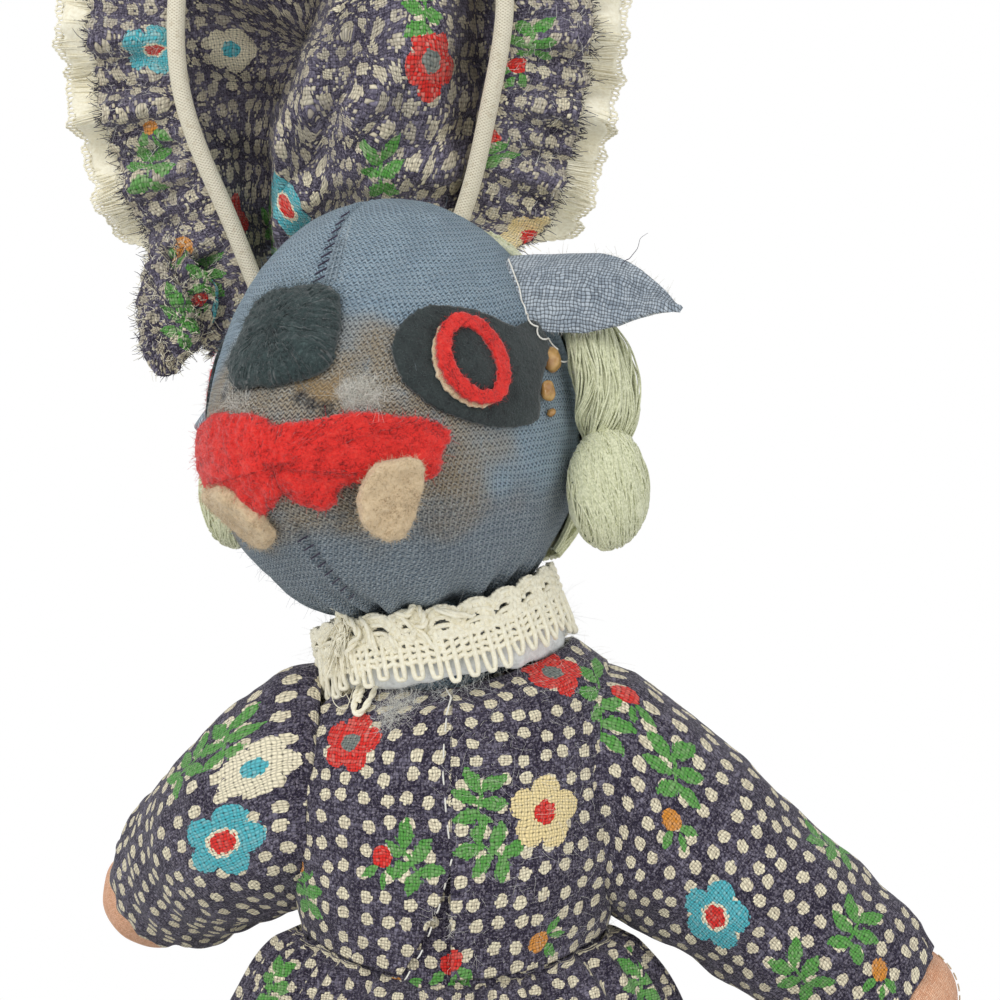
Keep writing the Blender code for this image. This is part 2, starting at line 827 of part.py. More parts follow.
def ear_surface(side):
    root = ear_root(side)
    root_line, out, face = ear_axes(side)

    def surface(turn, share):
        section = 2 * pi * turn
        along = max(share - EAR_ROOT_CAP_SHARE, 0) / (1 - EAR_ROOT_CAP_SHARE)
        close = min(share / EAR_ROOT_CAP_SHARE, 1)
        leaf = EAR_ROOT_SHARE + (1 - EAR_ROOT_SHARE) * sin(pi * min(along * 1.1, 1))
        width = EAR_HALF_WIDTH * leaf * sqrt(max(1 - along**2.2, 0)) * close
        wide = cos(section) * width
        wall = COTTON * (1 - 0.3 * along) * sqrt(max(1 - along**8, 0)) * close
        cup = EAR_CUP * (sin(pi * along * 1.4) * 0.6 + (wide / EAR_HALF_WIDTH) ** 2 * 0.6)
        return root + root_line * wide + out * EAR_LENGTH * along + face * (sin(section) * wall + cup)

    return surface


def make_ears():
    """Each ear's root is cut to the head, with the clearance of a sewn-on piece."""
    mesh = mapped_grid(HEAD_COLUMNS, HEAD_ROWS,
                       lambda turn, share: head_surface(turn, share, EAR_CLEARANCE))
    bmesh.ops.recalc_face_normals(mesh, faces=mesh.faces)
    room = cutter("head_room", mesh, HEAD_EMPTY)
    for side, name in ((1, "left"), (-1, "right")):
        ear = stuffed_form(f"ear_{name}", "ear_weave", EAR_COLUMNS, EAR_ROWS, ear_surface(side),
                           HEAD_EMPTY, ear_root(side))
        cut(ear, room)


# Hair


def hair_outline(direction, out):
    reach = head_point(pi, 0).to_2d().length
    place = squared(direction, HAIR_HALF_ANGLE * reach, 1, 2.6) * out
    up = place.y * (HAIR_UP if place.y > 0 else HAIR_DOWN)
    return place.x, up


def make_hair():
    crown = domed(HAIR_THICKNESS, 0.2)
    make_pad("hair_cap", "floss", pi, 0, hair_outline, crown, 2 * GAP, CAP_COLUMNS, CAP_ROWS)
    for side, name in ((1, "left"), (-1, "right")):
        make_roll(side, name)
        make_bun(side, name)


def lobed(radius, turn, share):
    return radius + HAIR_LOBE_DEPTH * cos(HAIR_LOBES * 2 * pi * turn + HAIR_TWIST * share * HAIR_LOBES)


def roll_centre(side, height):
    offset = GAP + ROLL_RADIUS + HAIR_LOBE_DEPTH
    return head_point(side * ROLL_ANGLE, height) + head_normal(side * ROLL_ANGLE, 0) * offset


def make_roll(side, name):
    """A twisted roll of floss that runs down from under the ear to the bun."""
    top = ROLL_TOP if side > 0 else RIGHT_ROLL_TOP

    def surface(turn, share):
        girth = rounded(min(sin(pi * share) * 1.8, 1), 0.6)
        radius = lobed(ROLL_RADIUS, turn, share) * girth
        centre = roll_centre(side, blend(ROLL_BOTTOM, top, share))
        direction = 2 * pi * turn
        return centre + Vector((radius * cos(direction), radius * sin(direction), 0))

    stuffed_form(f"hair_roll_{name}", "floss", LOCK_COLUMNS, LOCK_ROWS, surface, HEAD_EMPTY)


def bun_centre(side):
    skin = head_point(side * BUN_ANGLE, -BUN_DROP)
    out = Vector((skin.x, skin.y, 0)).normalized()
    return skin + out * (BUN_HALF_WIDTH + HAIR_LOBE_DEPTH + GAP)


def make_bun(side, name):
    centre = bun_centre(side)

    def surface(turn, share):
        latitude = pi * (share - 0.5)
        radius = lobed(BUN_HALF_WIDTH, turn, share) * rounded(cos(latitude), 0.8)
        direction = 2 * pi * turn
        flat = Vector((radius * cos(direction), radius * sin(direction), 0))
        return centre + flat + Vector((0, 0, BUN_HALF_HEIGHT * sin(latitude)))

    stuffed_form(f"hair_bun_{name}", "floss", LOCK_COLUMNS, LOCK_ROWS, surface, HEAD_EMPTY)


# Collar and wadding


def collar_frame():
    seat = Vector((COLLAR_SHIFT, 0, COLLAR_SEAT_HEIGHT))
    return Matrix.Translation(seat) @ Matrix.Rotation(COLLAR_LEAN, 4, "Y")


def collar_point(turn, share):
    flare = COLLAR_FLARE * (1 - share)
    place = squared(2 * pi * turn, COLLAR_HALF_WIDTH + flare, COLLAR_HALF_DEPTH + flare, 2)
    return collar_frame() @ (place + Vector((0, 0, COLLAR_HEIGHT * share)))


def make_collar():
    """An openwork band: each mesh of the net is an opening between four bars."""
    mesh = mapped_grid(LACE_COLUMNS, LACE_ROWS, collar_point)
    face_away(mesh, collar_frame().translation)
    bar = 2 * pi * COLLAR_HALF_WIDTH / LACE_COLUMNS * LACE_BAR_SHARE
    inner = bmesh.ops.inset_individual(mesh, faces=mesh.faces, thickness=bar)
    rims = set(inner["faces"])
    openings = [face for face in mesh.faces if face not in rims]
    bmesh.ops.delete(mesh, geom=openings, context="FACES_ONLY")
    return thickened(add_object("lace_collar", mesh, "cream_lace", DOLL), LACE_THREAD)


def wadding_surface(turn, share):
    """A soft roll between the neck and the collar."""
    section = 2 * pi * share
    direction = 2 * pi * turn
    centre = squared(direction, COLLAR_HALF_WIDTH - GAP - WADDING_THICKNESS,
                     COLLAR_HALF_DEPTH - GAP - WADDING_THICKNESS, 2)
    out = centre.normalized() * WADDING_THICKNESS * cos(section)
    lift = Vector((0, 0, WADDING_HEIGHT / 2 * (1 + sin(section)) + COLLAR_FLARE))
    return collar_frame() @ (centre + out + lift)


def make_wadding():
    return stuffed_form("neck_wadding", "wadding", WADDING_COLUMNS, WADDING_ROWS, wadding_surface)


# Arms and sleeves


def shoulder(side):
    return Vector((side * SHOULDER_SHIFT, 0, SHOULDER_HEIGHT))


def arm_frame(side):
    """Local +Z runs down the arm."""
    drop = LEFT_ARM_DROP if side > 0 else RIGHT_ARM_DROP
    back = LEFT_ARM_BACK if side > 0 else RIGHT_ARM_BACK
    level = Vector((side * cos(back), sin(back), 0))
    along = level * cos(drop) - Vector((0, 0, 1)) * sin(drop)
    sideways = Vector((0, 0, 1)).cross(level)
    up = along.cross(sideways)
    turn = Matrix((sideways, up, along)).transposed().to_4x4()
    return Matrix.Translation(shoulder(side)) @ turn


def sleeve_radius(distance):
    """Outer radius: a ball at the shoulder, then a taper to the cuff."""
    if distance < 0:
        return sqrt(max(SHOULDER_RADIUS**2 - distance**2, 0))
    return blend(SHOULDER_RADIUS, CUFF_RADIUS, min(distance / SLEEVE_LENGTH, 1) ** SLEEVE_TAPER)


def sleeve_place(row, skin):
    """Distance down the arm and radius at a row of the sleeve, at a depth below its outer face."""
    if row < BALL_ROWS:
        inner = SHOULDER_RADIUS - skin
        angle = row / BALL_ROWS * pi / 2
        return -inner * cos(angle), inner * sin(angle)
    distance = SLEEVE_LENGTH * (row - BALL_ROWS) / SLEEVE_ROWS
    return distance, sleeve_radius(distance) - skin


def hand_place(row, skin):
    """The same for the hand, which closes the arm beyond the cuff."""
    angle = (row - BALL_ROWS - SLEEVE_ROWS) / HAND_ROWS * pi / 2
    wrist = CUFF_RADIUS - skin
    radius = blend(wrist, HAND_RADIUS, smoothstep(angle * 3)) * rounded(cos(angle), 0.8)
    return SLEEVE_LENGTH + (ARM_REACH - SLEEVE_LENGTH) * sin(angle), radius


def limb_surface(side, rows, skin):
    frame = arm_frame(side)

    def surface(turn, share):
        row = share * rows
        on_sleeve = row <= BALL_ROWS + SLEEVE_ROWS
        distance, radius = sleeve_place(row, skin) if on_sleeve else hand_place(row, skin)
        direction = 2 * pi * turn
        return frame @ Vector((radius * cos(direction), radius * sin(direction), distance))

    return surface


def make_arms():
    """A stuffed arm fills its sleeve, which is closed inside the armhole and open at the cuff."""
    sleeve_rows = BALL_ROWS + SLEEVE_ROWS
    arm_rows = sleeve_rows + HAND_ROWS
    for side, name in ((1, "left"), (-1, "right")):
        middle = arm_frame(side) @ Vector((0, 0, SLEEVE_LENGTH / 4))
        cloth_piece(f"sleeve_{name}", "print_cotton", SEAT_SIDES, sleeve_rows,
                    limb_surface(side, sleeve_rows, COTTON), COTTON, middle, origin=shoulder(side))
        stuffed_form(f"arm_{name}", "peach_cotton", SEAT_SIDES, arm_rows,
                     limb_surface(side, arm_rows, COTTON + GAP), origin=shoulder(side))


def make_armholes():
    for side, name in ((1, "left"), (-1, "right")):
        start = SHOULDER_RADIUS + ARMHOLE_CLEARANCE
        end = sleeve_radius(ARMHOLE_TAIL) + ARMHOLE_CLEARANCE
        most = LEFT_ARM_RAISE if side > 0 else RIGHT_ARM_RAISE
        frames = [arm_frame(side) @ Matrix.Rotation(-most * share, 4, "X") for share in RAISE_SHARES]
        seat(f"armhole_{name}", swept_room(frames, start, ARMHOLE_TAIL, end))


# Legs


def hip(side):
    return Vector((side * HIP_SHIFT, 0, HIP_HEIGHT))


def leg_surface(side):
    """A stuffed leg: ball at the hip, tapering calf, and a cloth foot that points forward."""
    ankle_height = SOLE_HEIGHT + FOOT_THICKNESS

    def surface(turn, share):
        direction = 2 * pi * turn
        if share < 0.25:
            angle = share / 0.25 * pi / 2
            height = HIP_HEIGHT + HIP_RADIUS * cos(angle)
            place = squared(direction, HIP_RADIUS * sin(angle), HIP_RADIUS * sin(angle), 2)
        elif share < 0.65:
            along = (share - 0.25) / 0.4
            height = blend(HIP_HEIGHT, ankle_height, along)
            radius = blend(blend(HIP_RADIUS, CALF_RADIUS, smoothstep(along * 2)), ANKLE_RADIUS,
                           smoothstep(along * 2 - 1))
            place = squared(direction, radius, radius, 2)
        else:
            along = (share - 0.65) / 0.35
            height = blend(ankle_height, SOLE_HEIGHT, smoothstep(along * 1.4))
            spread = smoothstep(along * 2.2)
            close = smoothstep((1 - along) * 4)
            half_length = blend(ANKLE_RADIUS, FOOT_LENGTH / 2, spread)
            place = squared(direction, blend(ANKLE_RADIUS, FOOT_HALF_WIDTH, spread), half_length, 2.2)
            place.y -= FOOT_LENGTH * (0.5 - HEEL_SHARE) * spread
            place *= close
            place.y -= FOOT_LENGTH * (0.5 - HEEL_SHARE) * (1 - close)
        return Vector((side * HIP_SHIFT, 0, height)) + place

    return surface


def make_legs():
    for side, name in ((1, "left"), (-1, "right")):
        stuffed_form(f"leg_{name}", "peach_cotton", LEG_COLUMNS, LEG_ROWS, leg_surface(side),
                     origin=hip(side))


def make_hip_seats():
    for side, name in ((1, "left"), (-1, "right")):
        frame = Matrix.Translation(hip(side)) @ Matrix.Rotation(pi, 4, "X")
        radius = HIP_RADIUS + JOINT_GAP
        end = radius + OVERRUN * sin(LEG_SWING)
        seat(f"hip_{name}", limb_room(frame, radius, OVERRUN, end))


# Bonnet


def bonnet_frame():
    """Local X runs across, Z up the ring, Y back; the origin is the ring's lowest point."""
    root_height = BONNET_ROOT_LIFT
    clear = 2 * GAP + HAIR_THICKNESS + BONNET_CLEARANCE + ELASTIC_DIAMETER / 2
    skin = on_head(BONNET_ROOT_ANGLE, root_height, 0, 0, clear)
    place = HEAD_FRAME @ skin
    place.y += ELASTIC_DIAMETER / 2 + GAP
    return Matrix.Translation(place) @ Matrix.Rotation(BONNET_LEAN, 4, "X")


def ring_point(turn):
    """The gather line of the bonnet; turn 0 is its lowest point."""
    across = RING_HALF_SPAN * sin(turn) * (1 - RING_TOP_FULLNESS * cos(turn))
    return Vector((across, 0, RING_HEIGHT / 2 * (1 - cos(turn))))


def ring_outward(turn):
    step = ring_point(turn + 0.01) - ring_point(turn - 0.01)
    return Vector((step.z, 0, -step.x)).normalized()


def ring_centre():
    return Vector((0, 0, RING_HEIGHT * 0.52))


def crown_surface(share, depth):
    """The bag of the bonnet from the gather line back to its middle, with soft gathers."""
    turn = 2 * pi * share
    rim = ring_point(turn) - ring_outward(turn) * (GAP + COTTON)
    out = cos(depth * pi / 2)
    gather = CROWN_FOLD_DEPTH * cos(CROWN_FOLDS * turn) * sin(pi * min(depth * 1.3, 1))
    puff = CROWN_PUFF * sin(pi * depth) * smoothstep((1 - cos(turn)) * 1.2)
    place = ring_centre().lerp(rim, out)
    place += ring_outward(turn) * (gather + puff) * rounded(out, 0.5)
    place.y = CROWN_DEPTH * rounded(sin(depth * pi / 2), 0.8)
    return BONNET @ place


def ruffle_wave(turn, out):
    return RUFFLE_WAVE_DEPTH * cos(RUFFLE_WAVES * 2 * turn) * out


def ruffle_surface(start, end, back):
    def surface(share, rise):
        turn = blend(RUFFLE_OPEN_ANGLE, 2 * pi - RUFFLE_OPEN_ANGLE, share)
        out = blend(start, end, rise)
        place = ring_point(turn) + ring_outward(turn) * out
        place.y = RUFFLE_REACH_BACK * out / RUFFLE_WIDTH + ruffle_wave(turn, out / RUFFLE_WIDTH) + back
        return BONNET @ place

    return surface


def make_elastic():
    spline_data = bpy.data.curves.new("bonnet_elastic", "CURVE")
    spline_data.dimensions = "3D"
    spline_data.bevel_depth = ELASTIC_DIAMETER / 2
    spline_data.bevel_resolution = 1
    spline = spline_data.splines.new("POLY")
    spline.points.add(ELASTIC_COLUMNS - 1)
    spline.use_cyclic_u = True
    forward = Vector((0, -(ELASTIC_DIAMETER / 2 + GAP), 0))
    for index, point in enumerate(spline.points):
        place = BONNET @ (ring_point(2 * pi * index / ELASTIC_COLUMNS) + forward)
        point.co = (*place, 1)
    spline_data.materials.append(MATERIALS["elastic"])
    DOLL.objects.link(bpy.data.objects.new("bonnet_elastic", spline_data))


def make_bonnet():
    origin = BONNET.translation
    centre = BONNET @ (ring_centre() - Vector((0, CROWN_DEPTH, 0)))
    cloth_piece("bonnet_crown", "print_cotton", CROWN_COLUMNS, CROWN_ROWS, crown_surface, COTTON,
                centre, origin=origin)
    front = BONNET @ (ring_centre() - Vector((0, RING_HEIGHT, 0)))
    cloth_piece("bonnet_ruffle", "print_cotton", RUFFLE_COLUMNS, 2,
                ruffle_surface(GAP, RUFFLE_WIDTH, 0), COTTON, front, origin=origin)
    cloth_piece("bonnet_lace", "cream_lace", RUFFLE_COLUMNS, 1,
                ruffle_surface(RUFFLE_WIDTH - LACE_OVERLAP, RUFFLE_WIDTH - LACE_OVERLAP + LACE_EDGE_WIDTH,
                               COTTON + 5 * GAP), LACE_THREAD, front, origin=origin)
    make_elastic()


def make_head_frame():
    """The head's middle, leaning with the neck and turned on it."""
    return (Matrix.Translation((HEAD_SHIFT, 0, HEAD_HEIGHT)) @ LEAN.to_4x4()
            @ Matrix.Rotation(HEAD_TURN, 4, "Z"))


def make_head_empty():
    empty = bpy.data.objects.new("head_frame", None)
    empty.matrix_world = HEAD_FRAME
    DOLL.objects.link(empty)
    return empty


clear_scene()
DOLL = new_collection("rag_doll")
CUTTERS = new_collection("cutters", hidden=True)
SEATS = new_collection("seats", hidden=True)
MATERIALS = {name: finish_material(name) for name in FINISHES}
LEAN = Matrix.Rotation(NECK_LEAN, 3, "Y")
HEAD_FRAME = make_head_frame()
HEAD_EMPTY = make_head_empty()
BONNET = bonnet_frame()

body = make_body()
panels = make_bodice()
make_skirt()
make_neck()
head_ball = make_head()
make_nose()
make_mouth()
make_collar()
make_wadding()
for side, name in ((1, "left"), (-1, "right")):
    make_tooth(side, name)
    make_eye(side, name)
make_ears()
make_hair()
make_bonnet()
make_arms()
make_legs()
make_neck_seat()
make_armholes()
make_hip_seats()
for thing in (body, *panels):
    cut_seats(thing)
cut_head_socket(head_ball)
bpy.context.view_layer.update()
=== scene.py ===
"""Looks of a hand-made rag doll: printed cotton dress, knitted head with felt face, bonnet thrown back.

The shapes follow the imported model, in metres: +Z is up, the doll's front faces -Y, its left hand is at +X.
"""

import json
from contextlib import contextmanager
from math import cos, pi, radians, sin, tan

import bmesh
import bpy
import numpy as np
from bpy.props import FloatProperty, FloatVectorProperty, IntProperty, PointerProperty
from mathutils import Matrix, Vector, kdtree, noise
from mathutils.interpolate import poly_3d_calc

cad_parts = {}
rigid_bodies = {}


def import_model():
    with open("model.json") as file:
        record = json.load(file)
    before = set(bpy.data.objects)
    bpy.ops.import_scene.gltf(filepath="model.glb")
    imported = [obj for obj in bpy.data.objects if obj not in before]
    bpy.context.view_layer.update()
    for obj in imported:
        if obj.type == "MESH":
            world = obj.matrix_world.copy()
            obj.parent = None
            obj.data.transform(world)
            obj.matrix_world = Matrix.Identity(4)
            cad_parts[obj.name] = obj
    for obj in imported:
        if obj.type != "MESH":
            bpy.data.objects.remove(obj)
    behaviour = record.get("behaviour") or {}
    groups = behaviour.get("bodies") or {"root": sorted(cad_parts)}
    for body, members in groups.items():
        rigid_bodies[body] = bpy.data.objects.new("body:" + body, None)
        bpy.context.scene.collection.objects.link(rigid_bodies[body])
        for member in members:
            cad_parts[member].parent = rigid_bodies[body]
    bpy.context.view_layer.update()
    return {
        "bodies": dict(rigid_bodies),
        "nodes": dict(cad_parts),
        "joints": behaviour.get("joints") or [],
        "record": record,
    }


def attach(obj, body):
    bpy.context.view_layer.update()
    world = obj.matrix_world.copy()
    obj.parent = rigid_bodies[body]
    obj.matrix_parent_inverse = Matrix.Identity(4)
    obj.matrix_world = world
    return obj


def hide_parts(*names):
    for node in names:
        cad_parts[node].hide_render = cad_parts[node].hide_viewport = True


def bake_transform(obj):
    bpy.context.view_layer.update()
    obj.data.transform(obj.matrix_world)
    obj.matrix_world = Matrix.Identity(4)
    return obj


bl_info = {
    "name": "Rag Doll",
    "version": (1, 0, 0),
    "blender": (4, 5, 0),
    "location": "3D View > Sidebar > Rag Doll",
    "description": "Builds a rag doll with a printed dress, a knitted head and a bonnet",
    "category": "Add Mesh",
}

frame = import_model()

MM = 0.001

# The photo's view: the camera's tilt, the view's middle, its width and lowest point on the doll, and its pixels
CAMERA_TILT = radians(2)
PHOTO_CENTRE = Vector((7.5 * MM, 0, 230.8 * MM))
PHOTO_FIELD = 166.7 * MM
PHOTO_BOTTOM = 143 * MM
VIEW_PIXELS = 1000

# The stage: the floor's radius, and each light's place, width and power
FLOOR_RADIUS = 0.62
LIGHTS = {"key_light": ((-0.55, -0.75, 0.85), 0.7, 6.4), "fill_light": ((0.8, -0.6, 0.35), 0.8, 2.2),
          "back_light": ((0.1, 0.9, 0.7), 0.6, 1.8)}

# Places and sizes that the solids have
WAIST_HEIGHT = 152 * MM
BODY_HEIGHT = 52 * MM
CHEST_HALF_WIDTH = 28 * MM
CHEST_HALF_DEPTH = 20.5 * MM
BODY_HEIGHT_SHARES = (-0.30, -0.24, 0.0, 0.30, 0.56, 0.78, 0.90, 0.97, 1.0)
BODY_WIDTH_SHARES = (0.0, 0.62, 0.90, 0.95, 1.0, 0.93, 0.73, 0.46, 0.0)
BODY_DEPTH_SHARES = (0.0, 0.62, 0.88, 0.98, 1.0, 0.92, 0.72, 0.46, 0.0)
SIDE_RISE = 6 * MM
SLIT_TOP = 0.42
DRESS_RISES = (0, 0.12, 0.35, 0.6, 0.78, 0.9, 1.0)
DRESS_WIDTHS = (25.8, 26.8, 29.0, 29.6, 28.6, 25.6, 19.5)
DRESS_DEPTHS = (19.2, 20.4, 22.0, 21.6, 19.6, 17.4, 14.6)
DRESS_HEIGHTS = (2.2, 7.5, 18.5, 30.5, 40.0, 46.0, 49.0)
DRESS_LIFTS = (6, 5, 3, 1, 1.5, 3.0, 4.0)
SLIT_HALF_OPENING = 9 * MM
HEM_RADIUS = 92 * MM
SKIRT_FOLDS = 16
SKIRT_FOLD_DEPTH = 7 * MM
SKIRT_FLARE = 0.68
HEAD_CENTRE = Vector((-9 * MM, 0, 243 * MM))
HEAD_HALF_WIDTH = 29.5 * MM
HEAD_HALF_DEPTH = 30 * MM
HEAD_CROWN = 38 * MM
HEAD_JAW = 31 * MM
JAW_FULLNESS = 0.7
MUZZLE_REACH = 13 * MM
MUZZLE_HALF_WIDTH = 25 * MM
MUZZLE_HALF_HEIGHT = 20 * MM
MUZZLE_DROP = 3 * MM
LEAN = Matrix.Rotation(radians(-7), 4, "Y")
HEAD = Matrix.Translation(HEAD_CENTRE) @ LEAN @ Matrix.Rotation(radians(-31), 4, "Z")
NECK_PIVOT = HEAD @ Vector((0, 0, -24 * MM))
NECK_BALL_RADIUS = 12 * MM
NECK_ROOT_HEIGHT = 198 * MM
SHOULDER_HEIGHT = 179.5 * MM
SHOULDER_SHIFT = 31 * MM
SHOULDER_RADIUS = 17 * MM
CUFF_RADIUS = 11.5 * MM
HAND_RADIUS = 10.9 * MM
SLEEVE_LENGTH = 53 * MM
ARM_REACH = 64 * MM
ARMHOLE_SHIFT = 23.5 * MM
ARMHOLE_HEIGHT = 184.5 * MM
ARMHOLE_HALF_HEIGHT = 20.5 * MM
ARMHOLE_HALF_DEPTH = 14.5 * MM
ARMHOLE_DEPTH = 5 * MM
ARMHOLE_SEAM = 1.5 * MM
ARMHOLE_INNER = 12 * MM
SLEEVE_STATIONS = (0, 0.12, 0.25, 0.4, 0.6, 0.8, 0.93, 1.0)
SLEEVE_HEIGHTS = (19.5, 19.5, 17.2, 15.6, 14.7, 14.0, 12.6, 10.6)
SLEEVE_DEPTHS = (13.5, 15.0, 15.8, 15.4, 14.4, 13.6, 12.4, 10.6)
ARM_DROPS = {1: radians(37), -1: radians(24)}
ARM_BACKS = {1: 0.0, -1: radians(61)}
HIP_HEIGHT = 141 * MM
HIP_SHIFT = 14.5 * MM
CROWN_DEPTH = 28 * MM
RUFFLE_OPEN = radians(38)
BONNET = Matrix.Translation((-20.5 * MM, 38.8 * MM, 251.2 * MM)) @ Matrix.Rotation(radians(13), 4, "X")
RING_HEIGHT = 100 * MM
RING_HALF_SPAN = 29 * MM
RING_TOP_FULLNESS = 0.35
COLLAR = Matrix.Translation((-1 * MM, 0, 202.8 * MM)) @ Matrix.Rotation(radians(-9), 4, "Y")
COLLAR_HALF_WIDTH = 20.4 * MM
COLLAR_HALF_DEPTH = 18 * MM
COLLAR_HEIGHT = 10.5 * MM
SIDE_NAMES = {1: "left", -1: "right"}


def srgb(red, green, blue):
    """A screen colour, from 0 to 255, as the linear values that a material takes."""
    shares = (channel / 255 for channel in (red, green, blue))
    return tuple(((share + 0.055) / 1.055) ** 2.4 if share > 0.04 else share / 12.92 for share in shares)


def colour_property(name, description, red, green, blue):
    return FloatVectorProperty(name=name, description=description, subtype="COLOR", size=3,
                               min=0, max=1, default=srgb(red, green, blue))


def length_property(name, description, millimetres):
    return FloatProperty(name=name, description=description, subtype="DISTANCE", unit="LENGTH",
                         min=0, precision=5, default=millimetres * MM)


class RagDollSizes(bpy.types.PropertyGroup):
    """Sizes of the doll's cloth, thread and fibre"""

    thread_pitch: length_property("Thread pitch", "Distance between the threads of the dress cotton", 0.52)
    dot_spacing: length_property("Dot spacing", "Distance between the printed dots", 3.7)
    dot_diameter: length_property("Dot diameter", "Width of a printed dot", 2.1)
    flower_radius: length_property("Flower radius", "Radius of the large printed flowers", 6.0)
    knit_pitch: length_property("Knit pitch", "Distance between the ribs of the head's knit", 0.95)
    lace_thread: length_property("Lace thread", "Thickness of the collar's crochet thread", 0.85)
    elastic_diameter: length_property("Elastic diameter", "Thickness of the bonnet's elastic cord", 3.2)
    motif_spacing: length_property("Flower spacing", "Least distance between printed flowers", 17)
    camera_distance: length_property("Camera distance", "Distance from the camera to the doll", 470)
    strand_count: IntProperty(name="Hair strands", description="Strands of floss in a lock of hair",
                              min=10, default=230)


class RagDollColours(bpy.types.PropertyGroup):
    """Colours of the doll's cloth, felt and thread"""

    ground: colour_property("Print ground", "Dark ground of the printed cotton", 40, 34, 54)
    dots: colour_property("Print dots", "Dots of the printed cotton", 246, 236, 206)
    red: colour_property("Print red", "Red flowers of the print", 226, 50, 44)
    turquoise: colour_property("Print turquoise", "Turquoise flowers of the print", 84, 186, 198)
    green: colour_property("Print green", "Leaves of the print", 92, 160, 74)
    orange: colour_property("Print orange", "Orange buds of the print", 222, 146, 58)
    knit: colour_property("Knit", "Blue-grey knit of the head", 150, 174, 192)
    stain: colour_property("Muzzle", "Brown-grey knit of the muzzle", 172, 156, 130)
    nose: colour_property("Dark felt", "Dark felt of the nose and the eyes", 52, 66, 66)
    mouth: colour_property("Red felt", "Felt of the mouth and the eye rings", 230, 50, 44)
    tooth: colour_property("Cream felt", "Felt of the teeth", 216, 192, 156)
    hair: colour_property("Floss", "Hair floss", 228, 229, 196)
    lace: colour_property("Lace", "Crochet and lace thread", 252, 247, 226)
    elastic: colour_property("Elastic", "Braided elastic cord", 242, 234, 212)
    skin: colour_property("Hands", "Plain cotton of the hands and legs", 240, 180, 142)
    ear: colour_property("Ear weave", "Coarse weave of the ears", 158, 170, 182)
    wadding: colour_property("Wadding", "Stuffing that shows at the neck", 240, 242, 240)
    glue: colour_property("Glue", "Old drops of glue", 158, 112, 58)


def sizes():
    return bpy.context.scene.rag_doll_sizes


def colours():
    return bpy.context.scene.rag_doll_colours


# Shapes in numbers

# Points nearer to each other than this, in metres, are one point
WELD = 1e-6


def spread(*values):
    return np.stack(np.broadcast_arrays(*values), axis=-1)


def placed(points, matrix):
    """Points, in metres, moved by a 4 by 4 matrix."""
    turned = np.asarray(matrix.to_3x3(), float)
    return np.asarray(points) @ turned.T + np.asarray(matrix.translation, float)


def smoothstep(value):
    value = np.clip(value, 0, 1)
    return value * value * (3 - 2 * value)


def mix(low, high, share):
    return low + (high - low) * share


def unit(vectors):
    return vectors / np.linalg.norm(vectors, axis=-1, keepdims=True)


def ringed(line, first, second, turn, reach):
    """Points beside those of a line, at an angle from its first to its second direction across."""
    return line + first * np.cos(turn)[..., None] * reach + second * np.sin(turn)[..., None] * reach


def ball_point(turn, level):
    return spread(np.cos(turn) * np.cos(level), np.sin(turn) * np.cos(level), np.sin(level))


def lengths_along(line):
    """How far each point of a line is from its start, measured along it."""
    return np.concatenate([[0], np.cumsum(np.linalg.norm(np.diff(line, axis=0), axis=1))])


def power(value, exponent):
    return np.maximum(value, 0) ** exponent


def oblong(turn, half_width, half_depth, squareness=2.0):
    """Across and along coordinates of a rounded oblong; turn is an angle, 0 at +X."""
    across, along = np.cos(turn), np.sin(turn)
    reach = (np.abs(across) ** squareness + np.abs(along) ** squareness) ** (-1 / squareness)
    return half_width * reach * across, half_depth * reach * along


def body_half_width(height):
    return CHEST_HALF_WIDTH * np.interp((height - WAIST_HEIGHT) / BODY_HEIGHT, BODY_HEIGHT_SHARES,
                                        BODY_WIDTH_SHARES)


def body_half_depth(height):
    return CHEST_HALF_DEPTH * np.interp((height - WAIST_HEIGHT) / BODY_HEIGHT, BODY_HEIGHT_SHARES,
                                        BODY_DEPTH_SHARES)


def body_point(turn, height, offset=0.0):
    across, along = oblong(turn, body_half_width(height) + offset, body_half_depth(height) + offset)
    return spread(across, along, height)


def head_skin(angle, height):
    """Points on the head in its own frame; angle 0 is the middle of the face."""
    height = np.clip(height, -HEAD_JAW, HEAD_CROWN)
    above = np.sqrt(np.clip(1 - (height / HEAD_CROWN) ** 2, 0, 1))
    below = np.clip(1 - (height / HEAD_JAW) ** 2, 0, 1) ** (JAW_FULLNESS / 2)
    girth = np.where(height >= 0, above, below)
    across = HEAD_HALF_WIDTH * girth * np.sin(angle)
    swell = np.exp(-((across / MUZZLE_HALF_WIDTH) ** 2) - ((height + MUZZLE_DROP) / MUZZLE_HALF_HEIGHT) ** 2)
    reach = HEAD_HALF_DEPTH * girth * np.cos(angle) + MUZZLE_REACH * power(np.cos(angle), 0.7) * swell
    return spread(across, -reach, height)


def head_normals(angle, height):
    step = 0.3 * MM
    across = head_skin(angle + 0.01, height) - head_skin(angle - 0.01, height)
    up = head_skin(angle, height + step) - head_skin(angle, height - step)
    normal = np.cross(across, up)
    return normal / np.maximum(np.linalg.norm(normal, axis=-1, keepdims=True), 1e-12)


def on_head(angle, height, right, up, offset):
    """World points at an offset along the skin's normal, moved right and up on the skin."""
    reach = np.linalg.norm(head_skin(angle, height)[..., :2], axis=-1)
    place, level = angle + right / reach, height + up
    local = head_skin(place, level) + head_normals(place, level) * np.asarray(offset)[..., None]
    return placed(local, HEAD)


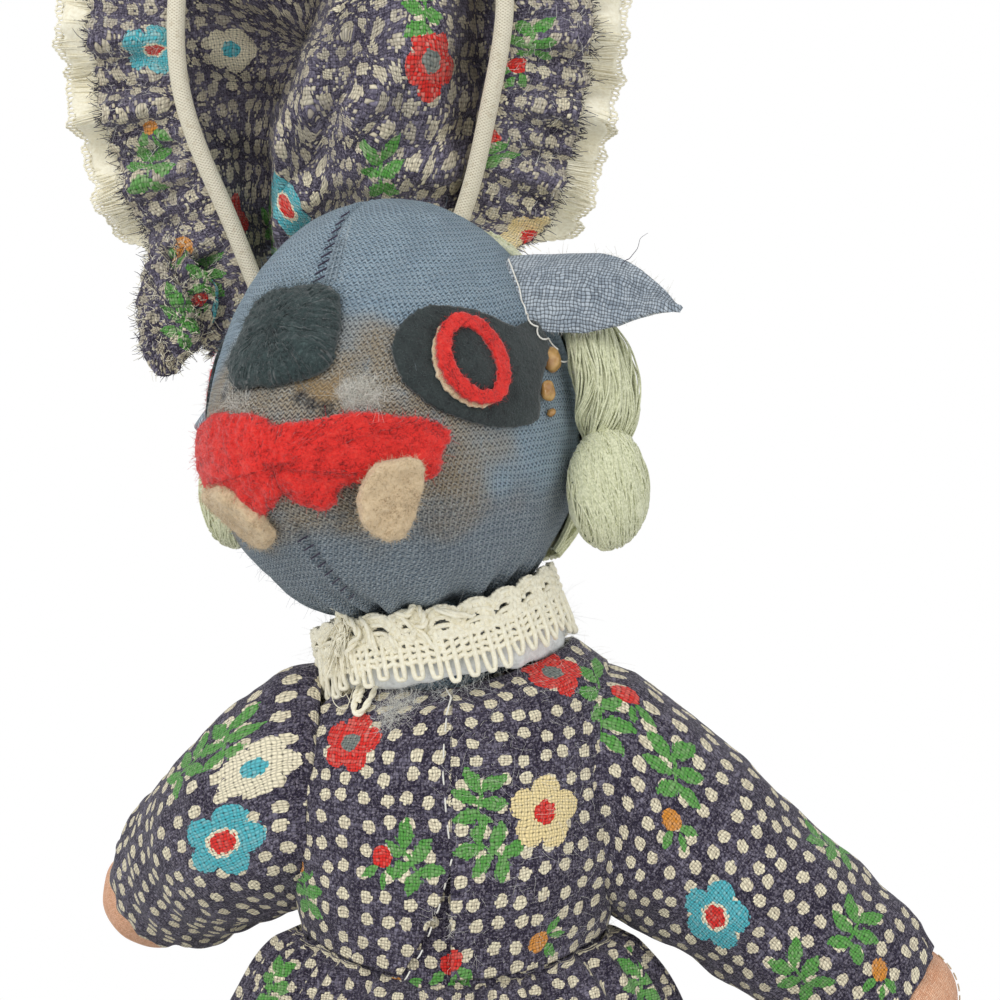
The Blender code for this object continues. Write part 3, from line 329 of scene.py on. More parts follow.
def arm_frame(side):
    """Local +Z runs down the arm."""
    drop, back = ARM_DROPS[side], ARM_BACKS[side]
    level = Vector((side * cos(back), sin(back), 0))
    along = level * cos(drop) - Vector((0, 0, 1)) * sin(drop)
    sideways = Vector((0, 0, 1)).cross(level)
    turn = Matrix((sideways, along.cross(sideways), along)).transposed().to_4x4()
    return Matrix.Translation((side * SHOULDER_SHIFT, 0, SHOULDER_HEIGHT)) @ turn


def ring_point(turn):
    across = RING_HALF_SPAN * np.sin(turn) * (1 - RING_TOP_FULLNESS * np.cos(turn))
    return spread(across, np.zeros_like(across), RING_HEIGHT / 2 * (1 - np.cos(turn)))


def ring_outward(turn):
    step = ring_point(turn + 0.01) - ring_point(turn - 0.01)
    outward = spread(step[..., 2], np.zeros_like(step[..., 0]), -step[..., 0])
    return unit(outward)


def cloud(points, scale, seed=0.0):
    """Smooth noise, about -1 to 1, at each point; scale is its size in metres."""
    flat = np.asarray(points).reshape(-1, 3) / scale + seed
    values = [noise.noise(Vector(point)) for point in flat]
    return np.array(values).reshape(np.asarray(points).shape[:-1])


# Mesh makers


def link(name, data):
    thing = bpy.data.objects.new(name, data)
    bpy.context.scene.collection.objects.link(thing)
    return thing


def mesh_object(name, mesh):
    """Turns a bmesh in world coordinates into an object at the origin."""
    data = bpy.data.meshes.new(name)
    mesh.to_mesh(data)
    mesh.free()
    data.shade_smooth()
    return link(name, data)


def cloth_lengths(points):
    """Metric cloth coordinates of a grid of points: lengths from its middle column and first row."""
    across = np.linalg.norm(np.diff(points, axis=1), axis=-1)
    across = np.concatenate([np.zeros((len(points), 1)), np.cumsum(across, axis=1)], axis=1)
    across -= across[:, across.shape[1] // 2][:, None]
    along = np.linalg.norm(np.diff(points, axis=0), axis=-1).mean(axis=1)
    along = np.concatenate([[0], np.cumsum(along)])
    return spread(across, along[:, None])


def round_lengths(points):
    """Metric cloth coordinates of a round piece, whose last row is its middle."""
    along = np.linalg.norm(np.diff(points, axis=0), axis=-1)
    reach = np.concatenate([np.cumsum(along[::-1], axis=0)[::-1], np.zeros((1, points.shape[1]))])
    waves = np.fft.rfft(reach[:, :-1], axis=1)
    waves[:, 5:] = 0
    reach = np.fft.irfft(waves, reach.shape[1] - 1, axis=1)
    reach = np.column_stack([reach, reach[:, 0]])
    turn = np.linspace(0, 2 * pi, points.shape[1])
    return spread(reach * np.cos(turn), reach * np.sin(turn))


def surface_grid(name, columns, rows, surface, closed=False, inward=None, lay=cloth_lengths):
    """A bmesh grid laid on surface(u, v), with a UV map in metres that follows the cloth."""
    mesh = bmesh.new()
    bmesh.ops.create_grid(mesh, x_segments=columns, y_segments=rows, size=0.5)
    u, v = np.meshgrid(np.linspace(0, 1, columns + 1), np.linspace(0, 1, rows + 1))
    points = surface(u, v)
    lengths = lay(points)
    cloth = mesh.loops.layers.uv.new("cloth")
    for vertex in mesh.verts:
        column, row = round((vertex.co.x + 0.5) * columns), round((vertex.co.y + 0.5) * rows)
        vertex.co = points[row, column]
        for loop in vertex.link_loops:
            loop[cloth].uv = lengths[row, column]
    if closed:
        bmesh.ops.remove_doubles(mesh, verts=mesh.verts, dist=WELD)
    mesh.normal_update()
    middle = Vector(points.reshape(-1, 3).mean(axis=0)) if inward is None else Vector(inward)
    outward = sum(face.normal.dot(face.calc_center_median() - middle) for face in mesh.faces)
    if outward < 0:
        bmesh.ops.reverse_faces(mesh, faces=mesh.faces)
    return mesh_object(name, mesh)


def applied(thing):
    """Applies the piece's modifiers to its mesh."""
    graph = bpy.context.evaluated_depsgraph_get()
    graph.update()
    data = bpy.data.meshes.new_from_object(thing.evaluated_get(graph), preserve_all_data_layers=True,
                                           depsgraph=graph)
    if thing.type == "CURVE":
        finished = link(thing.name + "_mesh", data)
        name = thing.name
        bpy.data.objects.remove(thing)
        finished.name = name
        return finished
    thing.modifiers.clear()
    thing.data = data
    return thing


def thicken(thing, thickness, offset=-1.0):
    wall = thing.modifiers.new("Wall", "SOLIDIFY")
    wall.thickness = thickness
    wall.offset = offset
    wall.use_rim = True
    return applied(thing)


def points_of(thing):
    values = np.empty(len(thing.data.vertices) * 3, np.float32)
    thing.data.vertices.foreach_get("co", values)
    return values.reshape(-1, 3).astype(float)


def set_points(thing, points):
    thing.data.vertices.foreach_set("co", np.asarray(points, np.float32).ravel())
    thing.data.update()


def normals_of(thing):
    values = np.empty(len(thing.data.vertices) * 3, np.float32)
    thing.data.vertex_normals.foreach_get("vector", values)
    return values.reshape(-1, 3).astype(float)


@contextmanager
def edited(thing):
    """The piece's mesh, open for changes."""
    mesh = bmesh.new()
    mesh.from_mesh(thing.data)
    yield mesh
    mesh.to_mesh(thing.data)
    mesh.free()


def wrinkle(thing, depth, scale, seed=0.0, where=None):
    """Moves the surface in and out by smooth noise."""
    points, normals = points_of(thing), normals_of(thing)
    amount = cloud(points, scale, seed) * depth
    if where is not None:
        amount = amount * where(points)
    set_points(thing, points + normals * amount[:, None])
    return thing


def scatter(thing, count, seed):
    """Random points on the surface with their normals, more where the faces are larger."""
    rng = np.random.default_rng(seed)
    thing.data.calc_loop_triangles()
    corners = np.empty(len(thing.data.loop_triangles) * 3, np.int32)
    thing.data.loop_triangles.foreach_get("vertices", corners)
    points = points_of(thing)[corners.reshape(-1, 3)]
    normal = np.cross(points[:, 1] - points[:, 0], points[:, 2] - points[:, 0])
    area = np.linalg.norm(normal, axis=1)
    chosen = rng.choice(len(area), count, p=area / area.sum())
    shares = rng.dirichlet((1, 1, 1), count)
    roots = (points[chosen] * shares[..., None]).sum(axis=1)
    return roots, normal[chosen] / np.maximum(area[chosen], 1e-15)[:, None], rng


def strands(name, lines, diameter, taper=0.35, sides=0):
    """Thin threads along rows of points, as one mesh piece."""
    data = bpy.data.curves.new(name, "CURVE")
    data.dimensions = "3D"
    data.bevel_depth = diameter / 2
    data.bevel_resolution = sides
    data.use_fill_caps = True
    for line in lines:
        spline = data.splines.new("POLY")
        spline.points.add(len(line) - 1)
        radii = np.linspace(1, taper, len(line))
        spline.points.foreach_set("co", np.column_stack([line, np.ones(len(line))]).ravel())
        spline.points.foreach_set("radius", radii)
    made = applied(link(name, data))
    made.data.shade_smooth()
    return made


def fibre_lines(roots, directions, length, rng, curl=0.5, steps=4):
    """Short wandering lines that start at roots and lean along directions."""
    count = len(roots)
    step = directions * (length * rng.uniform(0.5, 1.3, count) / steps)[:, None]
    line = [roots]
    drift = rng.normal(0, 1, (count, 3)) * curl
    for index in range(steps):
        size = np.linalg.norm(step, axis=1, keepdims=True)
        line.append(line[-1] + step + drift * size * (index + 1) / steps)
        drift = drift + rng.normal(0, 1, (count, 3)) * curl * 0.6
    return np.stack(line, axis=1)


def leaning(normals, lean, rng):
    """Random directions about the normals, none of them into the surface."""
    direction = unit(normals + rng.normal(0, lean, normals.shape))
    return np.where((direction * normals).sum(axis=1, keepdims=True) < 0, -direction, direction)


def fuzz(name, thing, count, length, diameter, seed, lean=0.8, curl=0.5):
    """Fibres that stand out of a piece's surface."""
    roots, normals, rng = scatter(thing, count, seed)
    lines = fibre_lines(roots - normals * diameter, leaning(normals, lean, rng), length, rng, curl)
    return strands(name, lines, diameter)


# Nodes


class NodeDesk:
    """Short calls for building a node tree."""

    def __init__(self, tree):
        self.tree = tree

    def add(self, kind, inputs=(), **settings):
        node = self.tree.nodes.new(kind)
        for key, value in settings.items():
            setattr(node, key, value)
        for key, value in dict(inputs).items():
            self.feed(node.inputs[key], value)
        return node

    def feed(self, socket, value):
        if isinstance(value, bpy.types.NodeSocket):
            self.tree.links.new(value, socket)
        elif value is not None:
            socket.default_value = value

    def math(self, operation, first, second=None, third=None):
        node = self.add("ShaderNodeMath", operation=operation)
        for socket, value in zip(node.inputs, (first, second, third)):
            self.feed(socket, value)
        return node.outputs[0]

    def times(self, first, second):
        return self.math("MULTIPLY", first, second)

    def plus(self, first, second):
        return self.math("ADD", first, second)

    def minus(self, first, second):
        return self.math("SUBTRACT", first, second)

    def vector(self, operation, first, second=None, scale=None):
        node = self.add("ShaderNodeVectorMath", operation=operation)
        self.feed(node.inputs[0], first)
        self.feed(node.inputs[1], second)
        if scale is not None:
            self.feed(node.inputs["Scale"], scale)
        return node.outputs["Value" if operation in ("LENGTH", "DOT_PRODUCT", "DISTANCE") else "Vector"]

    def blend(self, share, first, second):
        node = self.add("ShaderNodeMix", data_type="RGBA")
        self.feed(node.inputs[0], share)
        self.feed(node.inputs[6], rgba(first))
        self.feed(node.inputs[7], rgba(second))
        return node.outputs[2]

    def range(self, value, low, high, to_low=0.0, to_high=1.0, smooth=False):
        node = self.add("ShaderNodeMapRange", clamp=True,
                        interpolation_type="SMOOTHSTEP" if smooth else "LINEAR")
        for key, number in (("Value", value), ("From Min", low), ("From Max", high),
                            ("To Min", to_low), ("To Max", to_high)):
            self.feed(node.inputs[key], number)
        return node.outputs[0]

    def noise(self, vector, scale, detail=2.0, roughness=0.5, output="Factor"):
        node = self.add("ShaderNodeTexNoise", inputs={"Vector": vector, "Scale": scale, "Detail": detail,
                                                      "Roughness": roughness})
        return node.outputs[0 if output == "Factor" else 1]

    def split(self, vector):
        node = self.add("ShaderNodeSeparateXYZ", inputs={0: vector})
        return node.outputs[0], node.outputs[1], node.outputs[2]

    def join(self, x, y):
        return self.add("ShaderNodeCombineXYZ", inputs={0: x, 1: y}).outputs[0]

    def group(self, tree, inputs):
        node = self.add("ShaderNodeGroup", node_tree=tree)
        for key, value in inputs.items():
            self.feed(node.inputs[key], value)
        return node.outputs


def rgba(value):
    if isinstance(value, bpy.types.NodeSocket) or value is None:
        return value
    return (*tuple(value)[:3], 1.0)


SOCKETS = {"vector": "NodeSocketVector", "float": "NodeSocketFloat", "colour": "NodeSocketColor"}


def new_group(name, inputs, outputs):
    """A shader node group with named sockets, and the desk to build it on."""
    tree = bpy.data.node_groups.new(name, "ShaderNodeTree")
    for key, (kind, value) in inputs.items():
        socket = tree.interface.new_socket(key, in_out="INPUT", socket_type=SOCKETS[kind])
        if value is not None:
            socket.default_value = rgba(value) if kind == "colour" else value
    for key, kind in outputs.items():
        tree.interface.new_socket(key, in_out="OUTPUT", socket_type=SOCKETS[kind])
    desk = NodeDesk(tree)
    return tree, desk, desk.add("NodeGroupInput").outputs, desk.add("NodeGroupOutput").inputs


def weave_group():
    """Plain weave: a pillow where a thread passes over, the holes between, and the cell that a point lies in."""
    tree, desk, given, out = new_group("plain_weave", {"Cloth": ("vector", None), "Pitch": ("float", 0.0004)},
                                       {"Height": "float", "Hole": "float", "Cell": "vector", "Thread": "float"})
    scaled = desk.vector("SCALE", given["Cloth"], scale=desk.math("DIVIDE", 1.0, given["Pitch"]))
    wobble = desk.noise(scaled, 0.2, 1.0, output="Color")
    scaled = desk.vector("ADD", scaled, desk.vector("SCALE", desk.vector("SUBTRACT", wobble, (0.5, 0.5, 0.5)),
                                                    scale=2.2))
    u, v, _ = desk.split(scaled)
    column, row = desk.math("FLOOR", u), desk.math("FLOOR", v)
    across = desk.math("SINE", desk.times(desk.minus(u, column), pi))
    along = desk.math("SINE", desk.times(desk.minus(v, row), pi))
    over = desk.math("PINGPONG", desk.plus(column, row), 1.0)
    pillow = desk.math("POWER", desk.times(across, along), 0.6)
    desk.feed(out["Height"], desk.times(pillow, desk.plus(desk.times(over, 0.35), 0.65)))
    gaps = [desk.minus(1.0, desk.math("ABSOLUTE", desk.math("SINE", desk.times(place, pi / 2))))
            for place in (u, v)]
    desk.feed(out["Hole"], desk.times(*gaps))
    cell = desk.join(column, row)
    random = desk.add("ShaderNodeTexWhiteNoise", noise_dimensions="2D", inputs={"Vector": cell})
    threads = desk.blend(over, desk.add("ShaderNodeTexWhiteNoise", noise_dimensions="1D",
                                        inputs={"W": column}).outputs["Color"],
                         desk.add("ShaderNodeTexWhiteNoise", noise_dimensions="1D",
                                  inputs={"W": row}).outputs["Color"])
    desk.feed(out["Cell"], desk.vector("SCALE", desk.vector("ADD", cell, (0.5, 0.5, 0.0)), scale=given["Pitch"]))
    desk.feed(out["Thread"], desk.times(desk.plus(desk.split(threads)[0],
                                                  random.outputs["Value"]), 0.5))
    return tree


def knit_group():
    """Stocking knit: rows of V-shaped stitches in ribs, with small holes between them."""
    tree, desk, given, out = new_group("stocking_knit", {"Cloth": ("vector", None), "Pitch": ("float", 0.0006)},
                                       {"Height": "float", "Hole": "float"})
    scaled = desk.vector("SCALE", given["Cloth"], scale=desk.math("DIVIDE", 1.0, given["Pitch"]))
    wobble = desk.noise(scaled, 0.12, 1.0, output="Color")
    scaled = desk.vector("ADD", scaled, desk.vector("SCALE", desk.vector("SUBTRACT", wobble, (0.5, 0.5, 0.5)),
                                                    scale=2.0))
    u, v, _ = desk.split(scaled)
    side = desk.times(desk.math("ABSOLUTE", desk.minus(desk.math("FRACT", u), 0.5)), 2.0)
    slant = desk.plus(desk.times(v, 1.4), desk.times(side, 0.75))
    leg = desk.math("SINE", desk.times(desk.math("FRACT", slant), pi))
    rib = desk.math("SINE", desk.times(desk.math("FRACT", desk.plus(u, desk.math(
        "MULTIPLY", desk.math("FLOOR", desk.times(v, 1.4)), 0.5))), pi))
    desk.feed(out["Hole"], desk.times(desk.minus(1.0, leg), desk.minus(1.0, rib)))
    desk.feed(out["Height"], desk.times(desk.math("POWER", leg, 0.7), desk.plus(rib, 0.35)))
    return tree


def felt_group():
    """Felt: matted fibres in two sizes."""
    tree, desk, given, out = new_group("felt_grain", {"Place": ("vector", None)},
                                       {"Height": "float", "Tone": "float"})
    bent = desk.vector("ADD", given["Place"], desk.vector(
        "SCALE", desk.noise(given["Place"], 900.0, 2.0, output="Color"), scale=0.0012))
    fine = desk.noise(bent, 2600.0, 4.0, 0.7)
    coarse = desk.noise(given["Place"], 420.0, 3.0, 0.6)
    desk.feed(out["Height"], desk.plus(desk.times(fine, 0.6), desk.times(coarse, 0.7)))
    desk.feed(out["Tone"], desk.plus(desk.times(fine, 0.65), desk.times(coarse, 0.35)))
    return tree


def leaf_mask(desk, x, y, leaf):
    """1 inside a pointed leaf; leaf is its middle, its angle, and its half length and width."""
    (middle_x, middle_y), angle, half_length, half_width = leaf
    x, y = desk.minus(x, middle_x), desk.minus(y, middle_y)
    along = desk.plus(desk.times(x, cos(angle) / half_length),
                      desk.times(y, sin(angle) / half_length))
    across = desk.plus(desk.times(x, -sin(angle) / half_width),
                       desk.times(y, cos(angle) / half_width))
    edge = desk.minus(1.0, desk.times(along, along))
    return desk.math("LESS_THAN", desk.math("ABSOLUTE", across), edge)


def any_of(desk, masks):
    found = masks[0]
    for mask in masks[1:]:
        found = desk.math("MAXIMUM", found, mask)
    return found


SPRIG_LEAVES = (((-0.34, 0.6), 2.2, 0.5, 0.24), ((0.36, 0.66), 0.7, 0.5, 0.24), ((-0.48, 0.0), 2.9, 0.5, 0.22),
                ((0.44, -0.02), 0.2, 0.5, 0.24), ((-0.3, -0.6), 3.6, 0.46, 0.22), ((0.0, 0.0), 1.5, 0.85, 0.06),
                ((0.36, -0.66), -0.6, 0.46, 0.22))
BUD_LEAVES = (((-0.5, -0.25), 0.6, 0.45, 0.2), ((0.5, -0.3), 2.4, 0.45, 0.2), ((0.05, -0.6), 1.4, 0.4, 0.14))
SPRIG_KIND = 5
RED_BUD_KIND = 6
ORANGE_BUD_KIND = 7


def colour_steps(desk, value, steps, count):
    """A colour for each whole number, from a stepped ramp."""
    ramp = desk.add("ShaderNodeValToRGB")
    ramp.color_ramp.interpolation = "CONSTANT"
    elements = ramp.color_ramp.elements
    while len(elements) < len(steps):
        elements.new(0.5)
    for element, (index, colour) in zip(elements, enumerate(steps)):
        element.position = max(0, (index - 0.5) / count)
        element.color = rgba(colour)
    desk.feed(ramp.inputs[0], desk.math("DIVIDE", value, count))
    return ramp.outputs[0]


def motif_group():
    """The printed flowers, leaf sprigs and buds, drawn around a middle at 0, 0."""
    tree, desk, given, out = new_group("printed_motif", {"Place": ("vector", None), "Kind": ("float", 0)},
                                       {"Colour": "colour", "Mask": "float"})
    tones = colours()
    x, y, _ = desk.split(given["Place"])
    kind = given["Kind"]
    radius = desk.vector("LENGTH", desk.join(x, y))
    angle = desk.math("ARCTAN2", y, x)
    lobes = desk.math("POWER", desk.math("ABSOLUTE", desk.math("COSINE", desk.times(angle, 2.5))), 0.6)
    petals = desk.plus(0.66, desk.times(lobes, 0.34))
    flower = desk.times(desk.math("LESS_THAN", radius, petals), desk.math("LESS_THAN", kind, 4.5))
    cream, red, teal = tones.dots, tones.red, tones.turquoise
    grey = srgb(120, 128, 124)
    petal = colour_steps(desk, kind, (red, red, srgb(248, 226, 168), teal, cream), 8)
    eye = colour_steps(desk, kind, (grey, grey, red, red, teal), 8)
    painted = desk.blend(desk.math("LESS_THAN", radius, 0.31), petal, eye)
    rim = desk.times(desk.math("LESS_THAN", radius, 0.4), desk.math("GREATER_THAN", radius, 0.31))
    painted = desk.blend(desk.times(rim, desk.math("GREATER_THAN", kind, 2.5)), painted, cream)
    sprig = any_of(desk, [leaf_mask(desk, x, y, leaf) for leaf in SPRIG_LEAVES])
    sprig = desk.times(sprig, desk.math("COMPARE", kind, float(SPRIG_KIND), 0.4))
    is_bud = desk.math("GREATER_THAN", kind, SPRIG_KIND + 0.5)
    bud_leaves = desk.times(is_bud, any_of(desk, [leaf_mask(desk, x, y, leaf) for leaf in BUD_LEAVES]))
    bud_radius = desk.vector("LENGTH", desk.join(x, desk.minus(y, 0.3)))
    bud = desk.times(is_bud, desk.math("LESS_THAN", bud_radius, 0.42))
    bud_colour = desk.blend(desk.math("GREATER_THAN", kind, ORANGE_BUD_KIND - 0.5), red, tones.orange)
    painted = desk.blend(desk.math("MAXIMUM", sprig, bud_leaves), painted, tones.green)
    painted = desk.blend(bud, painted, bud_colour)
    desk.feed(out["Colour"], painted)
    desk.feed(out["Mask"], any_of(desk, [flower, sprig, bud_leaves, bud]))
    return tree


GROUP_MAKERS = {"plain_weave": weave_group, "stocking_knit": knit_group, "felt_grain": felt_group,
                "printed_motif": motif_group}


def group_tree(name):
    return bpy.data.node_groups.get(name) or GROUP_MAKERS[name]()


def new_material(name, roughness=0.9, sheen=0.0, specular=0.3):
    """A material with its Principled shader, and the desk for its tree."""
    material = bpy.data.materials.new(f"{name}_finish")
    material.use_nodes = True
    shader = material.node_tree.nodes["Principled BSDF"]
    shader.inputs["Roughness"].default_value = roughness
    shader.inputs["Specular IOR Level"].default_value = specular
    shader.inputs["Sheen Weight"].default_value = sheen
    return material, shader, NodeDesk(material.node_tree)


def bump(desk, shader, height, distance, strength=1.0):
    node = desk.add("ShaderNodeBump", inputs={"Height": height, "Distance": distance, "Strength": strength})
    desk.feed(shader.inputs["Normal"], node.outputs[0])


def object_place(desk):
    return desk.add("ShaderNodeTexCoord").outputs["Object"]


def cloth_place(desk):
    return desk.add("ShaderNodeUVMap", uv_map="cloth").outputs[0]


def stored(desk, name):
    """The values that a mesh keeps under a name."""
    return desk.add("ShaderNodeAttribute", attribute_type="GEOMETRY", attribute_name=name).outputs["Vector"]


def print_cotton(name="print_cotton", fade=0.0):
    """Printed cotton with pale loose fibres: dots and flowers stepped by the threads; fade is 1 where rubbed."""
    material, shader, desk = new_material(name, 0.92, 0.12, 0.2)
    tones, size = colours(), sizes()
    weave = desk.group(group_tree("plain_weave"), {"Cloth": cloth_place(desk), "Pitch": size.thread_pitch})
    ragged = desk.add("ShaderNodeTexWhiteNoise", noise_dimensions="2D", inputs={"Vector": weave["Cell"]})
    between = desk.vector("ADD", desk.vector("SCALE", weave["Cell"], scale=0.35),
                          desk.vector("SCALE", cloth_place(desk), scale=0.65))
    dots = desk.add("ShaderNodeTexVoronoi", voronoi_dimensions="2D", feature="F1",
                    inputs={"Vector": between, "Scale": 1 / size.dot_spacing, "Randomness": 0.4})
    reach = size.dot_diameter / 2 / size.dot_spacing
    limit = desk.plus(reach, desk.times(desk.minus(ragged.outputs["Value"], 0.5), 0.06))
    dotted = desk.math("LESS_THAN", dots.outputs["Distance"], limit)
    if fade:
        near = desk.range(dots.outputs["Distance"], reach - 0.03, reach + 0.09, 0.97, 0.12)
        dotted = desk.math("LESS_THAN", desk.split(ragged.outputs["Color"])[2], near)
    x, y, kind = desk.split(stored(desk, "motif"))
    shift = desk.vector("SCALE", desk.vector("SUBTRACT", ragged.outputs["Color"], (0.5, 0.5, 0.5)), scale=0.08)
    shift_x, shift_y, _ = desk.split(shift)
    place = desk.join(desk.plus(x, shift_x), desk.plus(y, shift_y))
    printed = desk.group(group_tree("printed_motif"), {"Place": place, "Kind": kind})
    fibre = desk.range(desk.noise(object_place(desk), 2600.0, 3.0, 0.75), 0.5, 0.6)
    wear = desk.range(desk.noise(object_place(desk), 130.0, 4.0, 0.65), 0.44 - 0.2 * fade, 0.74 - 0.2 * fade)
    ground = desk.blend(desk.times(fibre, 0.5 + 0.2 * fade), tones.ground, srgb(168, 160, 172))
    flecked = desk.range(desk.split(ragged.outputs["Color"])[1], 0.62, 0.9, 0.0, 0.42)
    flecked = desk.times(flecked, desk.range(wear, 0.0, 0.7, 0.35, 1.0))
    ground = desk.blend(flecked, ground, srgb(176, 170, 190))
    ground = desk.blend(desk.times(wear, 0.2 + 0.35 * fade), ground, srgb(128, 122, 142))
    dot_colour = desk.blend(desk.range(weave["Thread"], 0.3, 0.8), tones.dots, srgb(216, 204, 178))
    dotted = desk.times(dotted, desk.minus(1.0, desk.times(wear, 0.75 * fade)))
    painted = desk.blend(dotted, ground, dot_colour)
    real = desk.times(printed["Mask"], desk.math("GREATER_THAN", kind, 0.5))
    flecks = desk.times(desk.range(weave["Thread"], 0.35, 0.95), 0.2 + 0.3 * fade)
    painted = desk.blend(real, painted, desk.blend(flecks, printed["Colour"], srgb(236, 226, 208)))
    shade = desk.minus(desk.range(weave["Height"], 0.1, 0.75, 0.66, 1.1),
                       desk.range(weave["Hole"], 0.3, 0.8, 0.0, 0.5))
    desk.feed(shader.inputs["Base Color"], desk.vector("SCALE", painted, scale=shade))
    bump(desk, shader, weave["Height"], size.thread_pitch * 0.6, 0.7)
    return material


def grey_knit():
    """Stocking knit with a stained muzzle, old glue, and ladders where stitches ran; painted shade darkens its holes
    and the lower part of the head.
    """
    material, shader, desk = new_material("grey_knit", 0.9, 0.2, 0.25)
    tones, size = colours(), sizes()
    knit = desk.group(group_tree("stocking_knit"), {"Cloth": cloth_place(desk), "Pitch": size.knit_pitch})
    stained, lower, ladder = desk.split(stored(desk, "stain"))
    tan, dark, white = desk.split(stored(desk, "marks"))
    patchy = desk.noise(object_place(desk), 240.0, 4.0, 0.6)
    grain = desk.noise(object_place(desk), 2200.0, 3.0, 0.7)
    mottle = desk.plus(desk.times(patchy, 0.5), desk.times(grain, 0.5))
    stained = desk.times(stained, desk.range(mottle, 0.36, 0.5, 0.4, 1.0))
    base = desk.blend(desk.range(patchy, 0.35, 0.7), tones.knit, srgb(168, 192, 208))
    # painted shade: the lower head turns a darker grey
    base = desk.blend(desk.times(lower, 0.8), base, srgb(142, 150, 158))
    base = desk.blend(stained, base, tones.stain)
    base = desk.blend(desk.range(grain, 0.48, 0.66, 0.0, 0.5), base, srgb(204, 216, 222))
    # painted shade: a dark colour in the knit's holes, and between the stitches on the lower head
    gap = desk.blend(stained, srgb(70, 92, 108), srgb(84, 74, 62))
    shown = desk.math("MAXIMUM", desk.range(knit["Hole"], 0.05, 0.3, 0.0, 0.95),
                      desk.times(lower, desk.range(grain, 0.5, 0.36, 0.0, 0.6)))
    painted = desk.blend(shown, base, gap)
    painted = desk.blend(desk.times(ladder, 0.7), painted, srgb(206, 214, 214))
    for mask, colour in ((tan, srgb(168, 140, 98)), (white, srgb(214, 210, 200)), (dark, srgb(30, 32, 38))):
        rough = desk.times(mask, desk.range(grain, 0.4, 0.56, 0.35, 1.0))
        painted = desk.blend(rough, painted, colour)
    desk.feed(shader.inputs["Base Color"], painted)
    bump(desk, shader, knit["Height"], size.knit_pitch * 0.5, 0.9)
    return material


def felt(name, colour, pale, dark):
    """Matted wool felt in three tones of one colour."""
    material, shader, desk = new_material(name, 0.96, 0.35, 0.15)
    grain = desk.group(group_tree("felt_grain"), {"Place": object_place(desk)})
    painted = desk.blend(desk.range(grain["Tone"], 0.36, 0.5), dark, colour)
    painted = desk.blend(desk.times(desk.range(grain["Tone"], 0.54, 0.7), 0.75), painted, pale)
    desk.feed(shader.inputs["Base Color"], painted)
    bump(desk, shader, grain["Height"], 0.35 * MM, 0.9)
    return material


def woven(name, colour, pale, dark, pitch, contrast=1.0, gap=0.6):
    """Plain woven cloth, each thread a little lighter or darker than the next."""
    material, shader, desk = new_material(name, 0.92, 0.1, 0.2)
    weave = desk.group(group_tree("plain_weave"), {"Cloth": cloth_place(desk), "Pitch": pitch})
    patchy = desk.range(desk.noise(object_place(desk), 140.0, 3.0), 0.35, 0.7)
    painted = desk.blend(desk.times(patchy, 0.4), colour, pale)
    painted = desk.blend(desk.times(desk.range(weave["Thread"], 0.45, 0.75), contrast), painted, pale)
    painted = desk.blend(desk.times(desk.range(weave["Thread"], 0.5, 0.15), contrast), painted, dark)
    shade = desk.range(weave["Height"], 0.0, 0.5, gap, 1.04)
    desk.feed(shader.inputs["Base Color"], desk.vector("SCALE", painted, scale=shade))
    bump(desk, shader, weave["Height"], pitch * 0.5, 0.8)
    return material


def thread(name, colour, dark, grain=1500.0, roughness=0.85, sheen=0.15):
    """Twisted thread or loose fibre."""
    material, shader, desk = new_material(name, roughness, sheen, 0.25)
    value = desk.noise(object_place(desk), grain, 3.0, 0.6)
    desk.feed(shader.inputs["Base Color"], desk.blend(desk.range(value, 0.3, 0.62), dark, colour))
    bump(desk, shader, value, 0.12 * MM, 0.7)
    return material


def braid(name, colour, dark, pitch):
    """A braided cord: slanting threads that cross along its length, with painted shade in the grooves between them."""
    material, shader, desk = new_material(name, 0.7, 0.1, 0.35)
    u, v, _ = desk.split(cloth_place(desk))
    ways = []
    for sign in (1.0, -1.0):
        slant = desk.plus(desk.math("DIVIDE", v, pitch), desk.times(u, sign / (pitch * 1.6)))
        ways.append(desk.math("ABSOLUTE", desk.math("SINE", desk.times(slant, pi))))
    height = desk.math("MAXIMUM", ways[0], ways[1])
    speck = desk.noise(object_place(desk), 900.0, 3.0)
    # painted shade: darker where the threads dip between their crossings
    painted = desk.blend(desk.range(height, 0.35, 0.9), dark, colour)
    painted = desk.blend(desk.times(desk.range(speck, 0.55, 0.75), 0.5), painted, srgb(196, 178, 146))
    desk.feed(shader.inputs["Base Color"], painted)
    bump(desk, shader, height, 0.25 * MM, 0.8)
    return material


def glue(name, colour, pale):
    """Old glue: a smooth hard drop with a cloudy colour."""
    material, shader, desk = new_material(name, 0.22, 0.0, 0.5)
    value = desk.noise(object_place(desk), 700.0, 3.0)
    desk.feed(shader.inputs["Base Color"], desk.blend(desk.range(value, 0.35, 0.65), colour, pale))
    bump(desk, shader, value, 0.2 * MM, 0.4)
    return material


